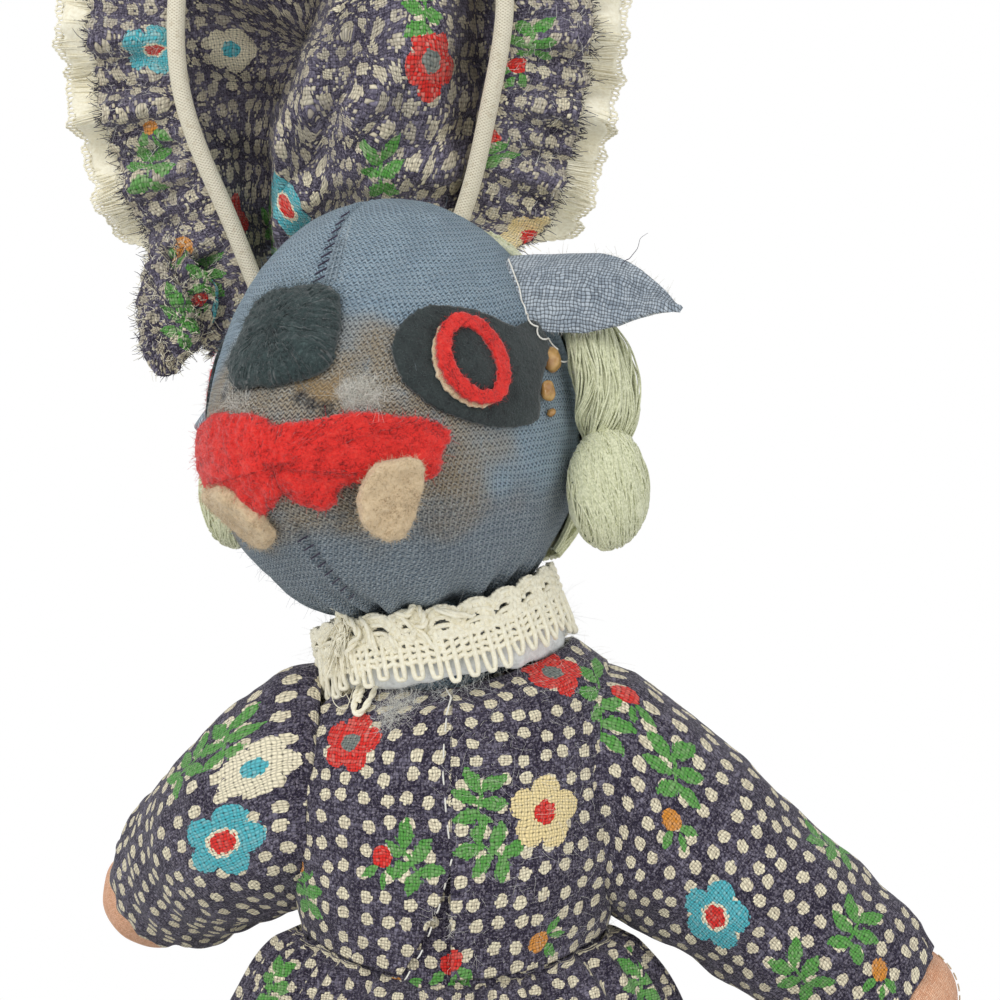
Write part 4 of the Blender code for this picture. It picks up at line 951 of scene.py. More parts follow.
def material_named(name):
    """Each finish is made once, when the first piece asks for it."""
    made = bpy.data.materials.get(f"{name}_finish")
    if made:
        return made
    tones, size = colours(), sizes()
    makers = {
        "print_cotton": print_cotton,
        "worn_cotton": lambda: print_cotton("worn_cotton", 0.6),
        "grey_knit": grey_knit,
        "glue_drop": lambda: glue("glue_drop", tones.glue, srgb(196, 156, 96)),
        "nose_felt": lambda: felt("nose_felt", tones.nose, srgb(96, 114, 112), srgb(26, 34, 36)),
        "eye_felt": lambda: felt("eye_felt", srgb(48, 56, 56), srgb(74, 84, 82), srgb(24, 28, 30)),
        "red_felt": lambda: felt("red_felt", tones.mouth, srgb(248, 96, 78), srgb(128, 14, 18)),
        "cream_felt": lambda: felt("cream_felt", tones.tooth, srgb(238, 222, 194), srgb(164, 138, 106)),
        "peach_cotton": lambda: woven("peach_cotton", tones.skin, srgb(250, 206, 174), srgb(206, 140, 104),
                                      size.thread_pitch * 0.65, 0.5),
        "ear_weave": lambda: woven("ear_weave", tones.ear, srgb(206, 214, 220), srgb(50, 58, 70),
                                   size.thread_pitch * 1.15, 0.35, gap=0.1),
        "lace_thread": lambda: thread("lace_thread", tones.lace, srgb(238, 230, 204)),
        "floss": lambda: thread("floss", tones.hair, srgb(184, 188, 150), 2400.0, 0.5, 0.35),
        "elastic": lambda: braid("elastic", tones.elastic, srgb(220, 208, 180), 0.55 * MM),
        "wadding": lambda: thread("wadding", tones.wadding, srgb(216, 218, 216), 900.0, 1.0, 0.5),
        "white_thread": lambda: thread("white_thread", srgb(244, 242, 234), srgb(208, 204, 192)),
        "navy_thread": lambda: thread("navy_thread", srgb(64, 58, 80), srgb(36, 32, 48)),
        "red_thread": lambda: thread("red_thread", tones.mouth, srgb(190, 36, 34), sheen=0.3),
        "rust_thread": lambda: thread("rust_thread", srgb(176, 96, 66), srgb(116, 56, 40)),
        "nose_fibre": lambda: thread("nose_fibre", srgb(82, 98, 98), srgb(40, 52, 54), sheen=0.3),
        "cream_fibre": lambda: thread("cream_fibre", srgb(228, 210, 178), srgb(186, 162, 126), sheen=0.3),
        "grey_fibre": lambda: thread("grey_fibre", srgb(164, 178, 188), srgb(104, 118, 130), sheen=0.3),
    }
    return makers[name]()


def finish_piece(thing, material, body, nodes=()):
    """Gives a piece its material, its body and the solids that it stands for."""
    thing.data.materials.clear()
    thing.data.materials.append(material_named(material))
    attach(thing, body)
    return named(thing, nodes)


def named(thing, nodes):
    if nodes:
        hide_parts(*nodes)
    return thing


# The photo's view, and the print's flowers

# Sizes of the kinds of flower against the print's largest, how often each is drawn, how many places are tried,
# how far a flower's values are kept past its edge, and how far one reaches over the cloth
MOTIF_SCALES = {1: 0.85, 4: 0.8, SPRIG_KIND: 0.86, RED_BUD_KIND: 0.66, ORANGE_BUD_KIND: 0.66}
MOTIF_DRAW = (1, 2, 3, 4, SPRIG_KIND, SPRIG_KIND, SPRIG_KIND, RED_BUD_KIND, ORANGE_BUD_KIND)
MOTIF_TRIES = 6000
MOTIF_EDGE = 1.25
MOTIF_REACH = 7 * MM
# A cloth's mesh has a face on each side of it
CLOTH_SIDES = 2


def camera_place():
    return PHOTO_CENTRE + Vector((0, -cos(CAMERA_TILT), sin(CAMERA_TILT))) * sizes().camera_distance


def sight_line(across, down):
    """Start and direction of the sight line through a place in the view, in its pixels."""
    start = camera_place()
    right = Vector((1, 0, 0))
    up = right.cross(PHOTO_CENTRE - start).normalized()
    step, half = PHOTO_FIELD / VIEW_PIXELS, VIEW_PIXELS / 2
    aim = PHOTO_CENTRE + right * (across - half) * step + up * (half - down) * step
    return start, (aim - start).normalized()


def seen_at(thing, across, down):
    """Where the sight line through a place in the view meets a piece: place, normal and face."""
    bpy.context.view_layer.update()
    hit, place, normal, face = thing.ray_cast(*sight_line(across, down))
    return (place, normal, face) if hit else None


def nearest_seen(things, across, down):
    """The nearest of the pieces along the sight line through a place in the view: place and normal."""
    found = [hit for hit in (seen_at(thing, across, down) for thing in things) if hit]
    start = sight_line(across, down)[0]
    return min(found, key=lambda hit: (hit[0] - start).length)[:2] if found else None


def laid_line(things, places, lift, count=24):
    """Points of a thread that lies on the pieces where the photo shows it, as far as lift above them."""
    ends = np.array(places, float)
    along = lengths_along(ends)
    steps = np.linspace(0, along[-1], count)
    across, down = np.interp(steps, along, ends[:, 0]), np.interp(steps, along, ends[:, 1])
    hits = [nearest_seen(things, *place) for place in zip(across, down)]
    reaches = [(hit[0] - camera_place()).length if hit else np.nan for hit in hits]
    known = [index for index, reach in enumerate(reaches) if reach == reach]
    points = []
    for index, (hit, place) in enumerate(zip(hits, zip(across, down))):
        if hit:
            points.append(hit[0] + hit[1] * lift)
        else:
            start, direction = sight_line(*place)
            points.append(start + direction * np.interp(index, known, [reaches[item] for item in known]))
    line = np.array(points)
    for _ in range(2):
        line[1:-1] = line[1:-1] * 0.5 + (line[:-2] + line[2:]) * 0.25
    return line


def stitches(line, stitch, gap, dip):
    """Cuts a laid line into stitches whose ends go down into the cloth, towards its back."""
    ends = lengths_along(line)
    made = []
    for start in np.arange(0, ends[-1] - stitch, stitch + gap):
        steps = start + stitch * np.linspace(0, 1, 6)
        piece = np.stack([np.interp(steps, ends, line[:, axis]) for axis in range(3)], axis=1)
        piece[:, 1] += dip * (1 - np.sin(np.linspace(0, pi, 6)))
        made.append(piece)
    return made


def spots(thing, places, reach):
    """1 near the places of the view that lie on the piece, 0 further than reach from them, in ragged edges."""
    points = points_of(thing)
    found = np.zeros(len(points))
    rough = 1 + 0.5 * cloud(points, 2.2 * MM, 9.0)
    for across, down in places:
        hit = seen_at(thing, across, down)
        if hit:
            distance = np.linalg.norm(points - np.array(hit[0]), axis=1) / rough
            found = np.maximum(found, smoothstep((reach - distance) / (0.45 * reach)))
    return found


def cloth_at(thing, across, down):
    """Cloth coordinates seen at a place in the view, with the direction there that points up."""
    found = seen_at(thing, across, down)
    if found is None:
        return None
    place, normal, index = found
    face = thing.data.polygons[index]
    corners = [thing.data.vertices[corner].co for corner in face.vertices]
    cloth = [thing.data.uv_layers["cloth"].data[loop].uv.copy() for loop in face.loop_indices]
    shares = poly_3d_calc(corners, place)
    middle = sum((value * share for value, share in zip(cloth, shares)), Vector((0, 0)))
    edges = np.array([corners[1] - corners[0], corners[-1] - corners[0]]).T
    upward = np.array(Vector((0, 0, 1)) - normal * normal.z)
    steps = np.linalg.lstsq(edges, upward, rcond=None)[0]
    up = (cloth[1] - cloth[0]) * steps[0] + (cloth[-1] - cloth[0]) * steps[1]
    return middle.x, middle.y, np.arctan2(up.y, up.x)


def cloth_values(thing):
    values = np.empty(len(thing.data.loops) * 2, np.float32)
    thing.data.uv_layers["cloth"].data.foreach_get("uv", values)
    return values.reshape(-1, 2).astype(float)


def motif_radius(kind):
    return sizes().flower_radius * MOTIF_SCALES.get(kind, 1.0)


def scattered_motifs(cloth, taken, allowed, seed):
    """Flowers on the rest of the cloth, none nearer to another than the print's spacing."""
    rng = np.random.default_rng(seed)
    spacing = sizes().motif_spacing
    order = rng.permutation(np.flatnonzero(allowed))[:MOTIF_TRIES]
    found = list(taken)
    for index in order:
        middle = cloth[index]
        near = (np.hypot(middle[0] - motif[0], middle[1] - motif[1]) < spacing for motif in found)
        if not any(near):
            kind = rng.choice(MOTIF_DRAW)
            found.append((*middle, rng.uniform(0, 2 * pi), motif_radius(kind), kind))
    return found


def print_flowers(thing, shown=(), seed=1, allowed=None):
    """Stores, for each face corner, its place in the nearest flower and that flower's kind."""
    cloth = cloth_values(thing)
    taken = []
    for kind, across, down, turn in shown:
        found = cloth_at(thing, across, down)
        if found:
            taken.append((found[0], found[1], found[2] + radians(turn), motif_radius(kind), kind))
    motifs = scattered_motifs(cloth, taken, np.ones(len(cloth), bool) if allowed is None else allowed, seed)
    middles = np.array([motif[:2] for motif in motifs])
    starts = np.empty(len(thing.data.polygons), np.int32)
    thing.data.polygons.foreach_get("loop_start", starts)
    counts = np.diff(np.append(starts, len(cloth)))
    centres = np.add.reduceat(cloth, starts) / counts[:, None]
    radii = np.array([motif[3] for motif in motifs])
    distance = np.linalg.norm(centres[:, None] - middles[None], axis=-1) / radii
    nearest = distance.argmin(axis=1)
    chosen = np.repeat(nearest, counts)
    facts = np.array(motifs)[chosen]
    reached = np.repeat(distance.min(axis=1) < MOTIF_EDGE, counts)
    away = (cloth - facts[:, :2]) / facts[:, 3:4]
    up = np.column_stack([np.cos(facts[:, 2]), np.sin(facts[:, 2])])
    right = np.column_stack([up[:, 1], -up[:, 0]])
    values = np.column_stack([(away * right).sum(1), (away * up).sum(1), facts[:, 4]]) * reached[:, None]
    attribute = thing.data.attributes.new("motif", "FLOAT_VECTOR", "CORNER")
    attribute.data.foreach_set("vector", values.astype(np.float32).ravel())


def out_of_view(thing):
    """True at the face corners from which no flower would reach what the photo shows."""
    points, normals = points_of(thing), normals_of(thing)
    towards = np.array(camera_place()) - points
    seen = ((towards * normals).sum(axis=1) > 0) & (points[:, 2] > PHOTO_BOTTOM)
    tree = kdtree.KDTree(int(seen.sum()) + 1)
    tree.insert(Vector((9, 9, 9)), 0)
    for index, point in enumerate(points[seen]):
        tree.insert(Vector(point), index + 1)
    tree.balance()
    far = np.array([tree.find(Vector(point))[2] > MOTIF_REACH for point in points])
    corners = np.empty(len(thing.data.loops), np.int32)
    thing.data.loops.foreach_get("vertex_index", corners)
    return far[corners]


def flat_size(thing):
    """Width, length and area of the cloth that a piece was cut from, in metres."""
    cloth = cloth_values(thing)
    starts = np.empty(len(thing.data.polygons), np.int32)
    thing.data.polygons.foreach_get("loop_start", starts)
    after = np.append(starts[1:], len(cloth))
    following = np.arange(len(cloth)) + 1
    following[after - 1] = starts
    cross = cloth[:, 0] * cloth[following, 1] - cloth[following, 0] * cloth[:, 1]
    area = np.abs(np.add.reduceat(cross, starts)).sum() / 2 / CLOTH_SIDES
    width, length = np.ptp(cloth, axis=0)
    return float(width), float(length), float(area)


def declare_sheet(thing):
    width, length, area = flat_size(thing)


# Stage


class RAGDOLL_OT_stage(bpy.types.Operator):
    """Floor, plain soft light and the camera at the photo's angle"""

    bl_idname = "ragdoll.stage"
    bl_label = "Stage"

    def execute(self, context):
        make_floor()
        make_lights(context.scene)
        make_camera(context.scene)
        context.scene.view_settings.view_transform = "Standard"
        return {"FINISHED"}


def make_floor():
    mesh = bmesh.new()
    bmesh.ops.create_circle(mesh, cap_ends=True, segments=96, radius=FLOOR_RADIUS)
    floor = mesh_object("floor", mesh)
    material, shader, desk = new_material("floor_paper", 0.9)
    shader.inputs["Base Color"].default_value = (0.93, 0.93, 0.92, 1)
    x, y, _ = desk.split(object_place(desk))
    reach = desk.vector("LENGTH", desk.join(x, y))
    fade = desk.range(reach, 0.3, 0.6, smooth=True)
    clear = desk.add("ShaderNodeBsdfTransparent")
    mixed = desk.add("ShaderNodeMixShader", inputs={0: fade})
    desk.feed(mixed.inputs[1], shader.outputs[0])
    desk.feed(mixed.inputs[2], clear.outputs[0])
    output = material.node_tree.nodes["Material Output"]
    desk.feed(output.inputs["Surface"], mixed.outputs[0])
    floor.data.materials.append(material)


def make_lights(scene):
    world = bpy.data.worlds.new("studio")
    scene.world = world
    world.use_nodes = True
    desk = NodeDesk(world.node_tree)
    path = desk.add("ShaderNodeLightPath").outputs
    shown = desk.math("MAXIMUM", path["Is Camera Ray"], desk.math(
        "MAXIMUM", path["Is Glossy Ray"], path["Is Transmission Ray"]))
    backdrop = world.node_tree.nodes["Background"]
    desk.feed(backdrop.inputs["Color"], desk.blend(shown, (0.56, 0.57, 0.58), (1, 1, 1)))
    for name, (place, width, watts) in LIGHTS.items():
        data = bpy.data.lights.new(name, "AREA")
        data.size = width
        data.energy = watts
        lamp = link(name, data)
        lamp.location = place
        lamp.rotation_euler = (PHOTO_CENTRE - Vector(place)).to_track_quat("-Z", "Y").to_euler()


def make_camera(scene):
    data = bpy.data.cameras.new("photo_camera")
    data.clip_start = 0.01
    data.lens = data.sensor_width * sizes().camera_distance / PHOTO_FIELD
    camera = link("photo_camera", data)
    camera.location = camera_place()
    camera.rotation_euler = (PHOTO_CENTRE - camera.location).to_track_quat("-Z", "Y").to_euler()
    scene.camera = camera


# Body, bodice and skirt

COTTON_THICKNESS = 0.7 * MM
SKIRT_THICKNESS = 0.9 * MM
# The body is drawn in at the armholes by small steps, until it clears the arm by one of them
CARVE_STEP = 0.4 * MM
CARVE_ROUNDS = 90

# Places in the view of the front seam, the stitched edge of the slit, a loose thread and the fluff of knots
FRONT_SEAM = ((447, 716), (444, 745), (443, 775), (446, 812), (450, 848))
SLIT_EDGE = ((452, 858), (440, 905), (424, 948), (404, 982))
LOOSE_THREAD = ((447, 716), (452, 700), (446, 690))
SLIT_KNOTS = ((443, 928), (441, 922), (400, 705), (392, 716))


def in_armhole(points, side, clearance):
    """True inside the room that the end of a stuffed arm fills."""
    local = placed(points, arm_frame(side).inverted())
    radial = np.hypot(local[..., 0], local[..., 1])
    ball = (np.linalg.norm(local, axis=-1) < SHOULDER_RADIUS + clearance) & (local[..., 2] < 0)
    tail = (local[..., 2] >= 0) & (radial < arm_radius(local[..., 2]) + clearance)
    return ball | tail


def arm_radius(distance):
    share = np.clip(distance / SLEEVE_LENGTH, 0, 1)
    return mix(SHOULDER_RADIUS, CUFF_RADIUS, share**1.3)


def dress_ring(turn, rise):
    """The dress body's outline: rise 0 at the waist seam, 1 at the neckline; it lifts over the shoulders."""
    width = np.interp(rise, DRESS_RISES, DRESS_WIDTHS) * MM
    depth = np.interp(rise, DRESS_RISES, DRESS_DEPTHS) * MM
    lift = np.interp(rise, DRESS_RISES, DRESS_LIFTS) * MM
    height = WAIST_HEIGHT + np.interp(rise, DRESS_RISES, DRESS_HEIGHTS) * MM
    across, along = oblong(turn, width, depth, 2.15)
    tilt = 0.15 * across * smoothstep((rise - 0.6) / 0.4)
    return spread(across, along, height + lift * np.cos(turn) ** 2 + tilt)


def body_skin(u, v):
    turn = 2 * pi * (u - 0.5) - pi / 2
    low, high = BODY_HEIGHT_SHARES[0], BODY_HEIGHT_SHARES[-1]
    eased = mix(low, high, (1 - np.cos(pi * v)) / 2)
    return body_point(turn, WAIST_HEIGHT + BODY_HEIGHT * eased, -0.2 * MM)


def carve_armholes(thing):
    """Draws the body in where the stuffed arms lie against it."""
    points = points_of(thing)
    for side in SIDE_NAMES:
        for _ in range(CARVE_ROUNDS):
            inside = in_armhole(points, side, CARVE_STEP) & (side * points[:, 0] > 0.5 * MM)
            if not inside.any():
                break
            points[inside, 0] -= side * CARVE_STEP
    set_points(thing, points)


class RAGDOLL_OT_body(bpy.types.Operator):
    """Stuffed body and the stuffed neck"""

    bl_idname = "ragdoll.body"
    bl_label = "Body"

    def execute(self, context):
        body = surface_grid("stuffed_body", 140, 90, body_skin, closed=True)
        wrinkle(body, 0.5 * MM, 9 * MM)
        carve_armholes(body)
        print_flowers(body, SLIT_FLOWERS, 5, out_of_view(body))
        finish_piece(body, "print_cotton", "torso", ["torso_core"])
        neck = surface_grid("stuffed_neck", 90, 60, neck_skin, closed=True)
        wrinkle(neck, 0.3 * MM, 6 * MM, 3.0)
        finish_piece(neck, "grey_knit", "neck", ["neck_core"])
        return {"FINISHED"}


def neck_skin(u, v):
    """The neck from its flat root in the body to the ball that carries the head."""
    root = NECK_PIVOT.z - NECK_ROOT_HEIGHT
    along = 2 * v - 1
    depth = np.where(along < 0, root, mix(root, -NECK_BALL_RADIUS, along))
    ball = np.sqrt(np.clip(NECK_BALL_RADIUS**2 - np.minimum(depth, 0) ** 2, 0, None))
    radius = np.where(depth <= 0, ball, NECK_BALL_RADIUS + 0.8 * MM) * np.minimum(1 + along, 1)
    turn = 2 * pi * (u - 0.5) - pi / 2
    local = spread(radius * np.cos(turn), radius * np.sin(turn), -depth)
    return placed(local, Matrix.Translation(NECK_PIVOT) @ LEAN)


def front_panel(side):
    def surface(u, v):
        share = u if side < 0 else 1 - u
        seam = -pi if side < 0 else 0.0
        drop = np.clip(SLIT_TOP - v, 0, None) / SLIT_TOP
        swing = SLIT_HALF_OPENING * drop**1.4 if side < 0 else -0.6 * MM * np.ones_like(v)
        edge = -pi / 2 + side * (0.2 * MM + swing) / CHEST_HALF_WIDTH
        turn = mix(seam, edge, share)
        return dress_ring(turn, v)

    return surface


def back_panel(u, v):
    return dress_ring(pi * u, v)


def without_armholes(thing):
    """Opens the armholes in a bodice panel."""
    with edited(thing) as mesh:
        for side in SIDE_NAMES:
            doomed = [face for face in mesh.faces if in_armhole_oval(face.calc_center_median(), side)]
            bmesh.ops.delete(mesh, geom=doomed, context="FACES")


def in_armhole_oval(point, side):
    up = (point.z - ARMHOLE_HEIGHT) / (ARMHOLE_HALF_HEIGHT - ARMHOLE_SEAM)
    back = point.y / (ARMHOLE_HALF_DEPTH - ARMHOLE_SEAM)
    return side * point.x > ARMHOLE_INNER and up * up + back * back < 1


class RAGDOLL_OT_bodice(bpy.types.Operator):
    """Bodice: two front panels that meet in a stitched seam with a slit below, and a back panel"""

    bl_idname = "ragdoll.bodice"
    bl_label = "Bodice"

    def execute(self, context):
        panels = (("bodice_front_left", front_panel(1), 110), ("bodice_front_right", front_panel(-1), 110),
                  ("bodice_back", back_panel, 200))
        made = []
        for index, (name, surface, columns) in enumerate(panels):
            panel = surface_grid(f"{name}_cloth", columns, 110, surface, inward=(0, 0, 0.18))
            wrinkle(panel, 0.5 * MM, 11 * MM, 2.0)
            wrinkle(panel, 0.2 * MM, 3.2 * MM, 7.0)
            without_armholes(panel)
            panel = thicken(panel, COTTON_THICKNESS)
            print_flowers(panel, BODICE_FLOWERS, 20 + index, out_of_view(panel))
            finish_piece(panel, "print_cotton", "torso", [name])
            declare_sheet(panel)
            made.append(panel)
        make_bodice_seams(made[:2])
        return {"FINISHED"}


def make_bodice_seams(panels):
    """White thread down the front seam, running stitches and a knot along the slit, and lint on the cloth."""
    seam = laid_line(panels, FRONT_SEAM, 0.25 * MM, 60)
    lines = stitches(seam, 3.2 * MM, 1.1 * MM, 0.7 * MM)
    edge = laid_line(panels, SLIT_EDGE, 0.25 * MM, 60)
    lines += stitches(edge, 1.5 * MM, 2.4 * MM, 0.7 * MM)
    lines.append(laid_line(panels, LOOSE_THREAD, 0.6 * MM))
    finish_piece(strands("bodice_stitches", lines, 0.3 * MM, taper=0.9, sides=1), "white_thread", "torso")
    lint = fuzz("bodice_lint", panels[0], 900, 1.5 * MM, 0.05 * MM, 25, lean=1.6, curl=1.2)
    finish_piece(lint, "white_thread", "torso")
    knots = fluff("slit_knots", panels, SLIT_KNOTS, 6, 480, 1.6 * MM, 0.06 * MM, 26)
    finish_piece(knots, "white_thread", "torso")


def winding(middle, axes, reach, count, rng, spans, layer=(0.94, 1.04)):
    """Strands wound round an oval knot, each about one of the axes."""
    lines = []
    for index in range(count):
        axis = unit(np.asarray(axes[index % len(axes)], float))
        first = unit(np.cross(axis, (0.31, 0.17, 0.93)))
        second = np.cross(axis, first)
        shift = rng.uniform(-0.8, 0.8)
        turn = rng.uniform(0, 2 * pi) + np.linspace(0, spans * pi * rng.uniform(0.7, 1.2), 26)
        shift = shift + 0.12 * np.sin(turn * 1.7 + index)
        ring = (first * np.cos(turn)[:, None] + second * np.sin(turn)[:, None]) * np.sqrt(1 - shift**2)[:, None]
        ring = ring + axis * shift[:, None]
        lines.append(middle + ring * np.asarray(reach) * rng.uniform(*layer))
    return lines


def skirt_skin(first):
    def surface(u, v):
        turn = first + pi * u
        down = 1 - v
        share = down**1.5
        top = WAIST_HEIGHT + SIDE_RISE * np.cos(turn) ** 2 + 1.5 * MM
        height = mix(top, 0.7 * MM, share)
        waist = dress_ring(turn, np.zeros_like(u) + 0.05)
        reach = np.hypot(waist[..., 0], waist[..., 1]) + 0.6 * MM
        out = share ** (SKIRT_FLARE + 0.06 * (1 - smoothstep(share / 0.2)))
        puff = 1.8 * MM * np.exp(-(((share - 0.035) / 0.05) ** 2)) * smoothstep(share / 0.012)
        radius = mix(reach, HEM_RADIUS - 0.6 * MM, out) + puff
        drift = 0.5 * np.sin(3 * turn + 1.3) + 0.35 * np.sin(7 * turn + 4 * share)
        folds = (1 - np.cos(SKIRT_FOLDS * turn + drift)) / 2
        gathers = (1 - np.cos(46 * turn + 2.4 * np.sin(5 * turn))) / 2
        depth = mix(1.2 * MM, SKIRT_FOLD_DEPTH, smoothstep(share * 1.5))
        radius -= folds * depth + gathers * 1.5 * MM * np.exp(-((share / 0.16) ** 2)) * smoothstep(share / 0.004)
        return spread(radius * np.cos(turn), radius * np.sin(turn) * mix(0.84, 1.0, smoothstep(share / 0.1)), height)

    return surface


class RAGDOLL_OT_skirt(bpy.types.Operator):
    """Gathered skirt in a front and a back half"""

    bl_idname = "ragdoll.skirt"
    bl_label = "Skirt"

    def execute(self, context):
        for index, (name, first) in enumerate((("skirt_front", -pi), ("skirt_back", 0.0))):
            half = surface_grid(f"{name}_cloth", 330, 90, skirt_skin(first), inward=(0, 0, 0.07))
            wrinkle(half, 0.7 * MM, 12 * MM, 4.0, lambda points: smoothstep(points[:, 2] / (9 * MM)))
            half = thicken(half, SKIRT_THICKNESS)
            print_flowers(half, SKIRT_FLOWERS, 30 + index, out_of_view(half))
            finish_piece(half, "print_cotton", "torso", [name])
            declare_sheet(half)
        return {"FINISHED"}


# Arms and legs

LEG_HIP_RADIUS = 10.5 * MM
LEG_CALF_RADIUS = 9.0 * MM
LEG_ANKLE_RADIUS = 7.5 * MM
FOOT_HALF_WIDTH = 8.6 * MM
FOOT_HALF_LENGTH = 13.5 * MM
FOOT_HEIGHT = 13 * MM
FOOT_SHIFT = 4.3 * MM
SOLE_HEIGHT = 1.2 * MM


def sleeve_section(side, share):
    """Middle of a sleeve's sections, with their sideways and upward directions."""
    frame = np.asarray(arm_frame(side), float)
    along, start = frame[:3, 2], frame[:3, 3]
    armhole = np.array((side * ARMHOLE_SHIFT, 0, ARMHOLE_HEIGHT))
    turned = smoothstep(share / 0.34)[..., None]
    facing = unit(mix(np.array((side, 0.0, 0.0)), along, turned))
    distance = (share * (SLEEVE_LENGTH + ARMHOLE_DEPTH) - ARMHOLE_DEPTH)[..., None]
    middle = mix(armhole + facing * share[..., None] * ARMHOLE_DEPTH, start + along * distance, turned)
    up = unit(np.array((0, 0, 1.0)) - facing * facing[..., 2:3])
    return middle, np.cross(up, facing), up


def sleeve_half_sizes(share):
    return (np.interp(share, SLEEVE_STATIONS, SLEEVE_HEIGHTS) * MM,
            np.interp(share, SLEEVE_STATIONS, SLEEVE_DEPTHS) * MM)


def sleeve_skin(side):
    def surface(u, v):
        share = v * (1.0 if side > 0 else 0.93)
        middle, sideways, up = sleeve_section(side, share)
        half_height, half_depth = sleeve_half_sizes(v)
        middle = middle - np.array((side * 1.6 * MM, 0, 0)) * np.exp(-((v / 0.06) ** 2))[..., None]
        around = 2 * pi * u
        gathers = np.cos(15 * around + 1.4 * np.sin(2 * around)) * 0.4 * MM * smoothstep((v - 0.8) / 0.2)
        creases = np.sin(around * 3 + v * 26) * 0.35 * MM * smoothstep((v - 0.25) * 3) * smoothstep((1 - v) * 6)
        drag = np.sin(around * 7 + 5 * v) * 0.45 * MM * smoothstep((0.4 - v) / 0.35) * smoothstep(v / 0.04)
        turned_in = 0.9 * MM * np.exp(-((v / 0.03) ** 2))
        rough = gathers + creases + drag - turned_in
        return (middle - up * np.cos(around)[..., None] * (half_height + rough)[..., None]
                + sideways * np.sin(around)[..., None] * (half_depth + rough)[..., None])

    return surface


def arm_skin(side):
    """The stuffed arm fills its sleeve from the armhole to the cuff, and ends in a rounded hand."""
    frame = np.asarray(arm_frame(side), float)
    start, end = 0.16, 0.8

    def surface(u, v):
        share = mix(0.1, 1.0, np.clip((v - start * 0.5) / (end - start * 0.5), 0, 1))
        middle, sideways, up = sleeve_section(side, share)
        opening = np.sqrt(np.clip(1 - (1 - np.minimum(v / start, 1)) ** 2, 0, 1))
        half_height, half_depth = ((half * 0.9 - 0.9 * MM) * opening for half in sleeve_half_sizes(share))
        beyond = np.clip((v - end) / (1 - end), 0, 1)
        reach = (ARM_REACH - SLEEVE_LENGTH) * (1 - (1 - beyond) ** 1.6)
        hand = (HAND_RADIUS - 0.9 * MM) * np.sqrt(np.clip(1 - (reach / (ARM_REACH - SLEEVE_LENGTH)) ** 2.6, 0, 1))
        wrist = (share - 0.9) / 0.1
        half_height, half_depth = (np.where(v > end, hand, np.where(share > 0.9, mix(half, hand, wrist), half))
                                   for half in (half_height, half_depth))
        around = 2 * pi * (u - 0.5)
        middle = middle + frame[:3, 2] * reach[..., None]
        return (middle + up * (np.cos(around) * half_height)[..., None]
                + sideways * (np.sin(around) * half_depth)[..., None])

    return surface


class RAGDOLL_OT_arms(bpy.types.Operator):
    """Stuffed arms with bare hands, in sleeves gathered at the cuff"""

    bl_idname = "ragdoll.arms"
    bl_label = "Arms and sleeves"

    def execute(self, context):
        for side, word in SIDE_NAMES.items():
            body = f"{word}_arm"
            arm = surface_grid(f"stuffed_arm_{word}", 90, 130, arm_skin(side), closed=True)
            wrinkle(arm, 0.3 * MM, 5 * MM, 1.0)
            finish_piece(arm, "peach_cotton", body, [f"arm_{word}"])
            make_hand_seam(side, word)
            sleeve = surface_grid(f"sleeve_{word}_cloth", 200, 190, sleeve_skin(side),
                                  inward=arm_frame(side) @ Vector((0, 0, 25 * MM)))
            wrinkle(sleeve, 0.55 * MM, 8 * MM, 9.0 + side)
            wrinkle(sleeve, 0.2 * MM, 3 * MM, 5.0)
            sleeve = thicken(sleeve, COTTON_THICKNESS)
            print_flowers(sleeve, SLEEVE_FLOWERS[side], 40 + side, out_of_view(sleeve))
            sleeve.data.materials.append(material_named("print_cotton"))
            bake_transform(sleeve)
            named(sleeve, [f"sleeve_{word}"])
            declare_sheet(sleeve)
        return {"FINISHED"}


def make_hand_seam(side, word):
    """Stitches over the end of the hand, where its two halves are sewn together."""
    v = np.linspace(0.82, 0.985, 40)
    line = arm_skin(side)(np.full(40, 0.5 if side > 0 else 0.42), v)
    frame = arm_frame(side)
    outward = unit(line - np.array(frame @ Vector((0, 0, 40 * MM))))
    lines = stitches(line + outward * 0.28 * MM, 1.3 * MM, 0.7 * MM, 0.0)
    finish_piece(strands(f"hand_seam_{word}", lines, 0.26 * MM, taper=1.0), "cream_fibre", f"{word}_arm")


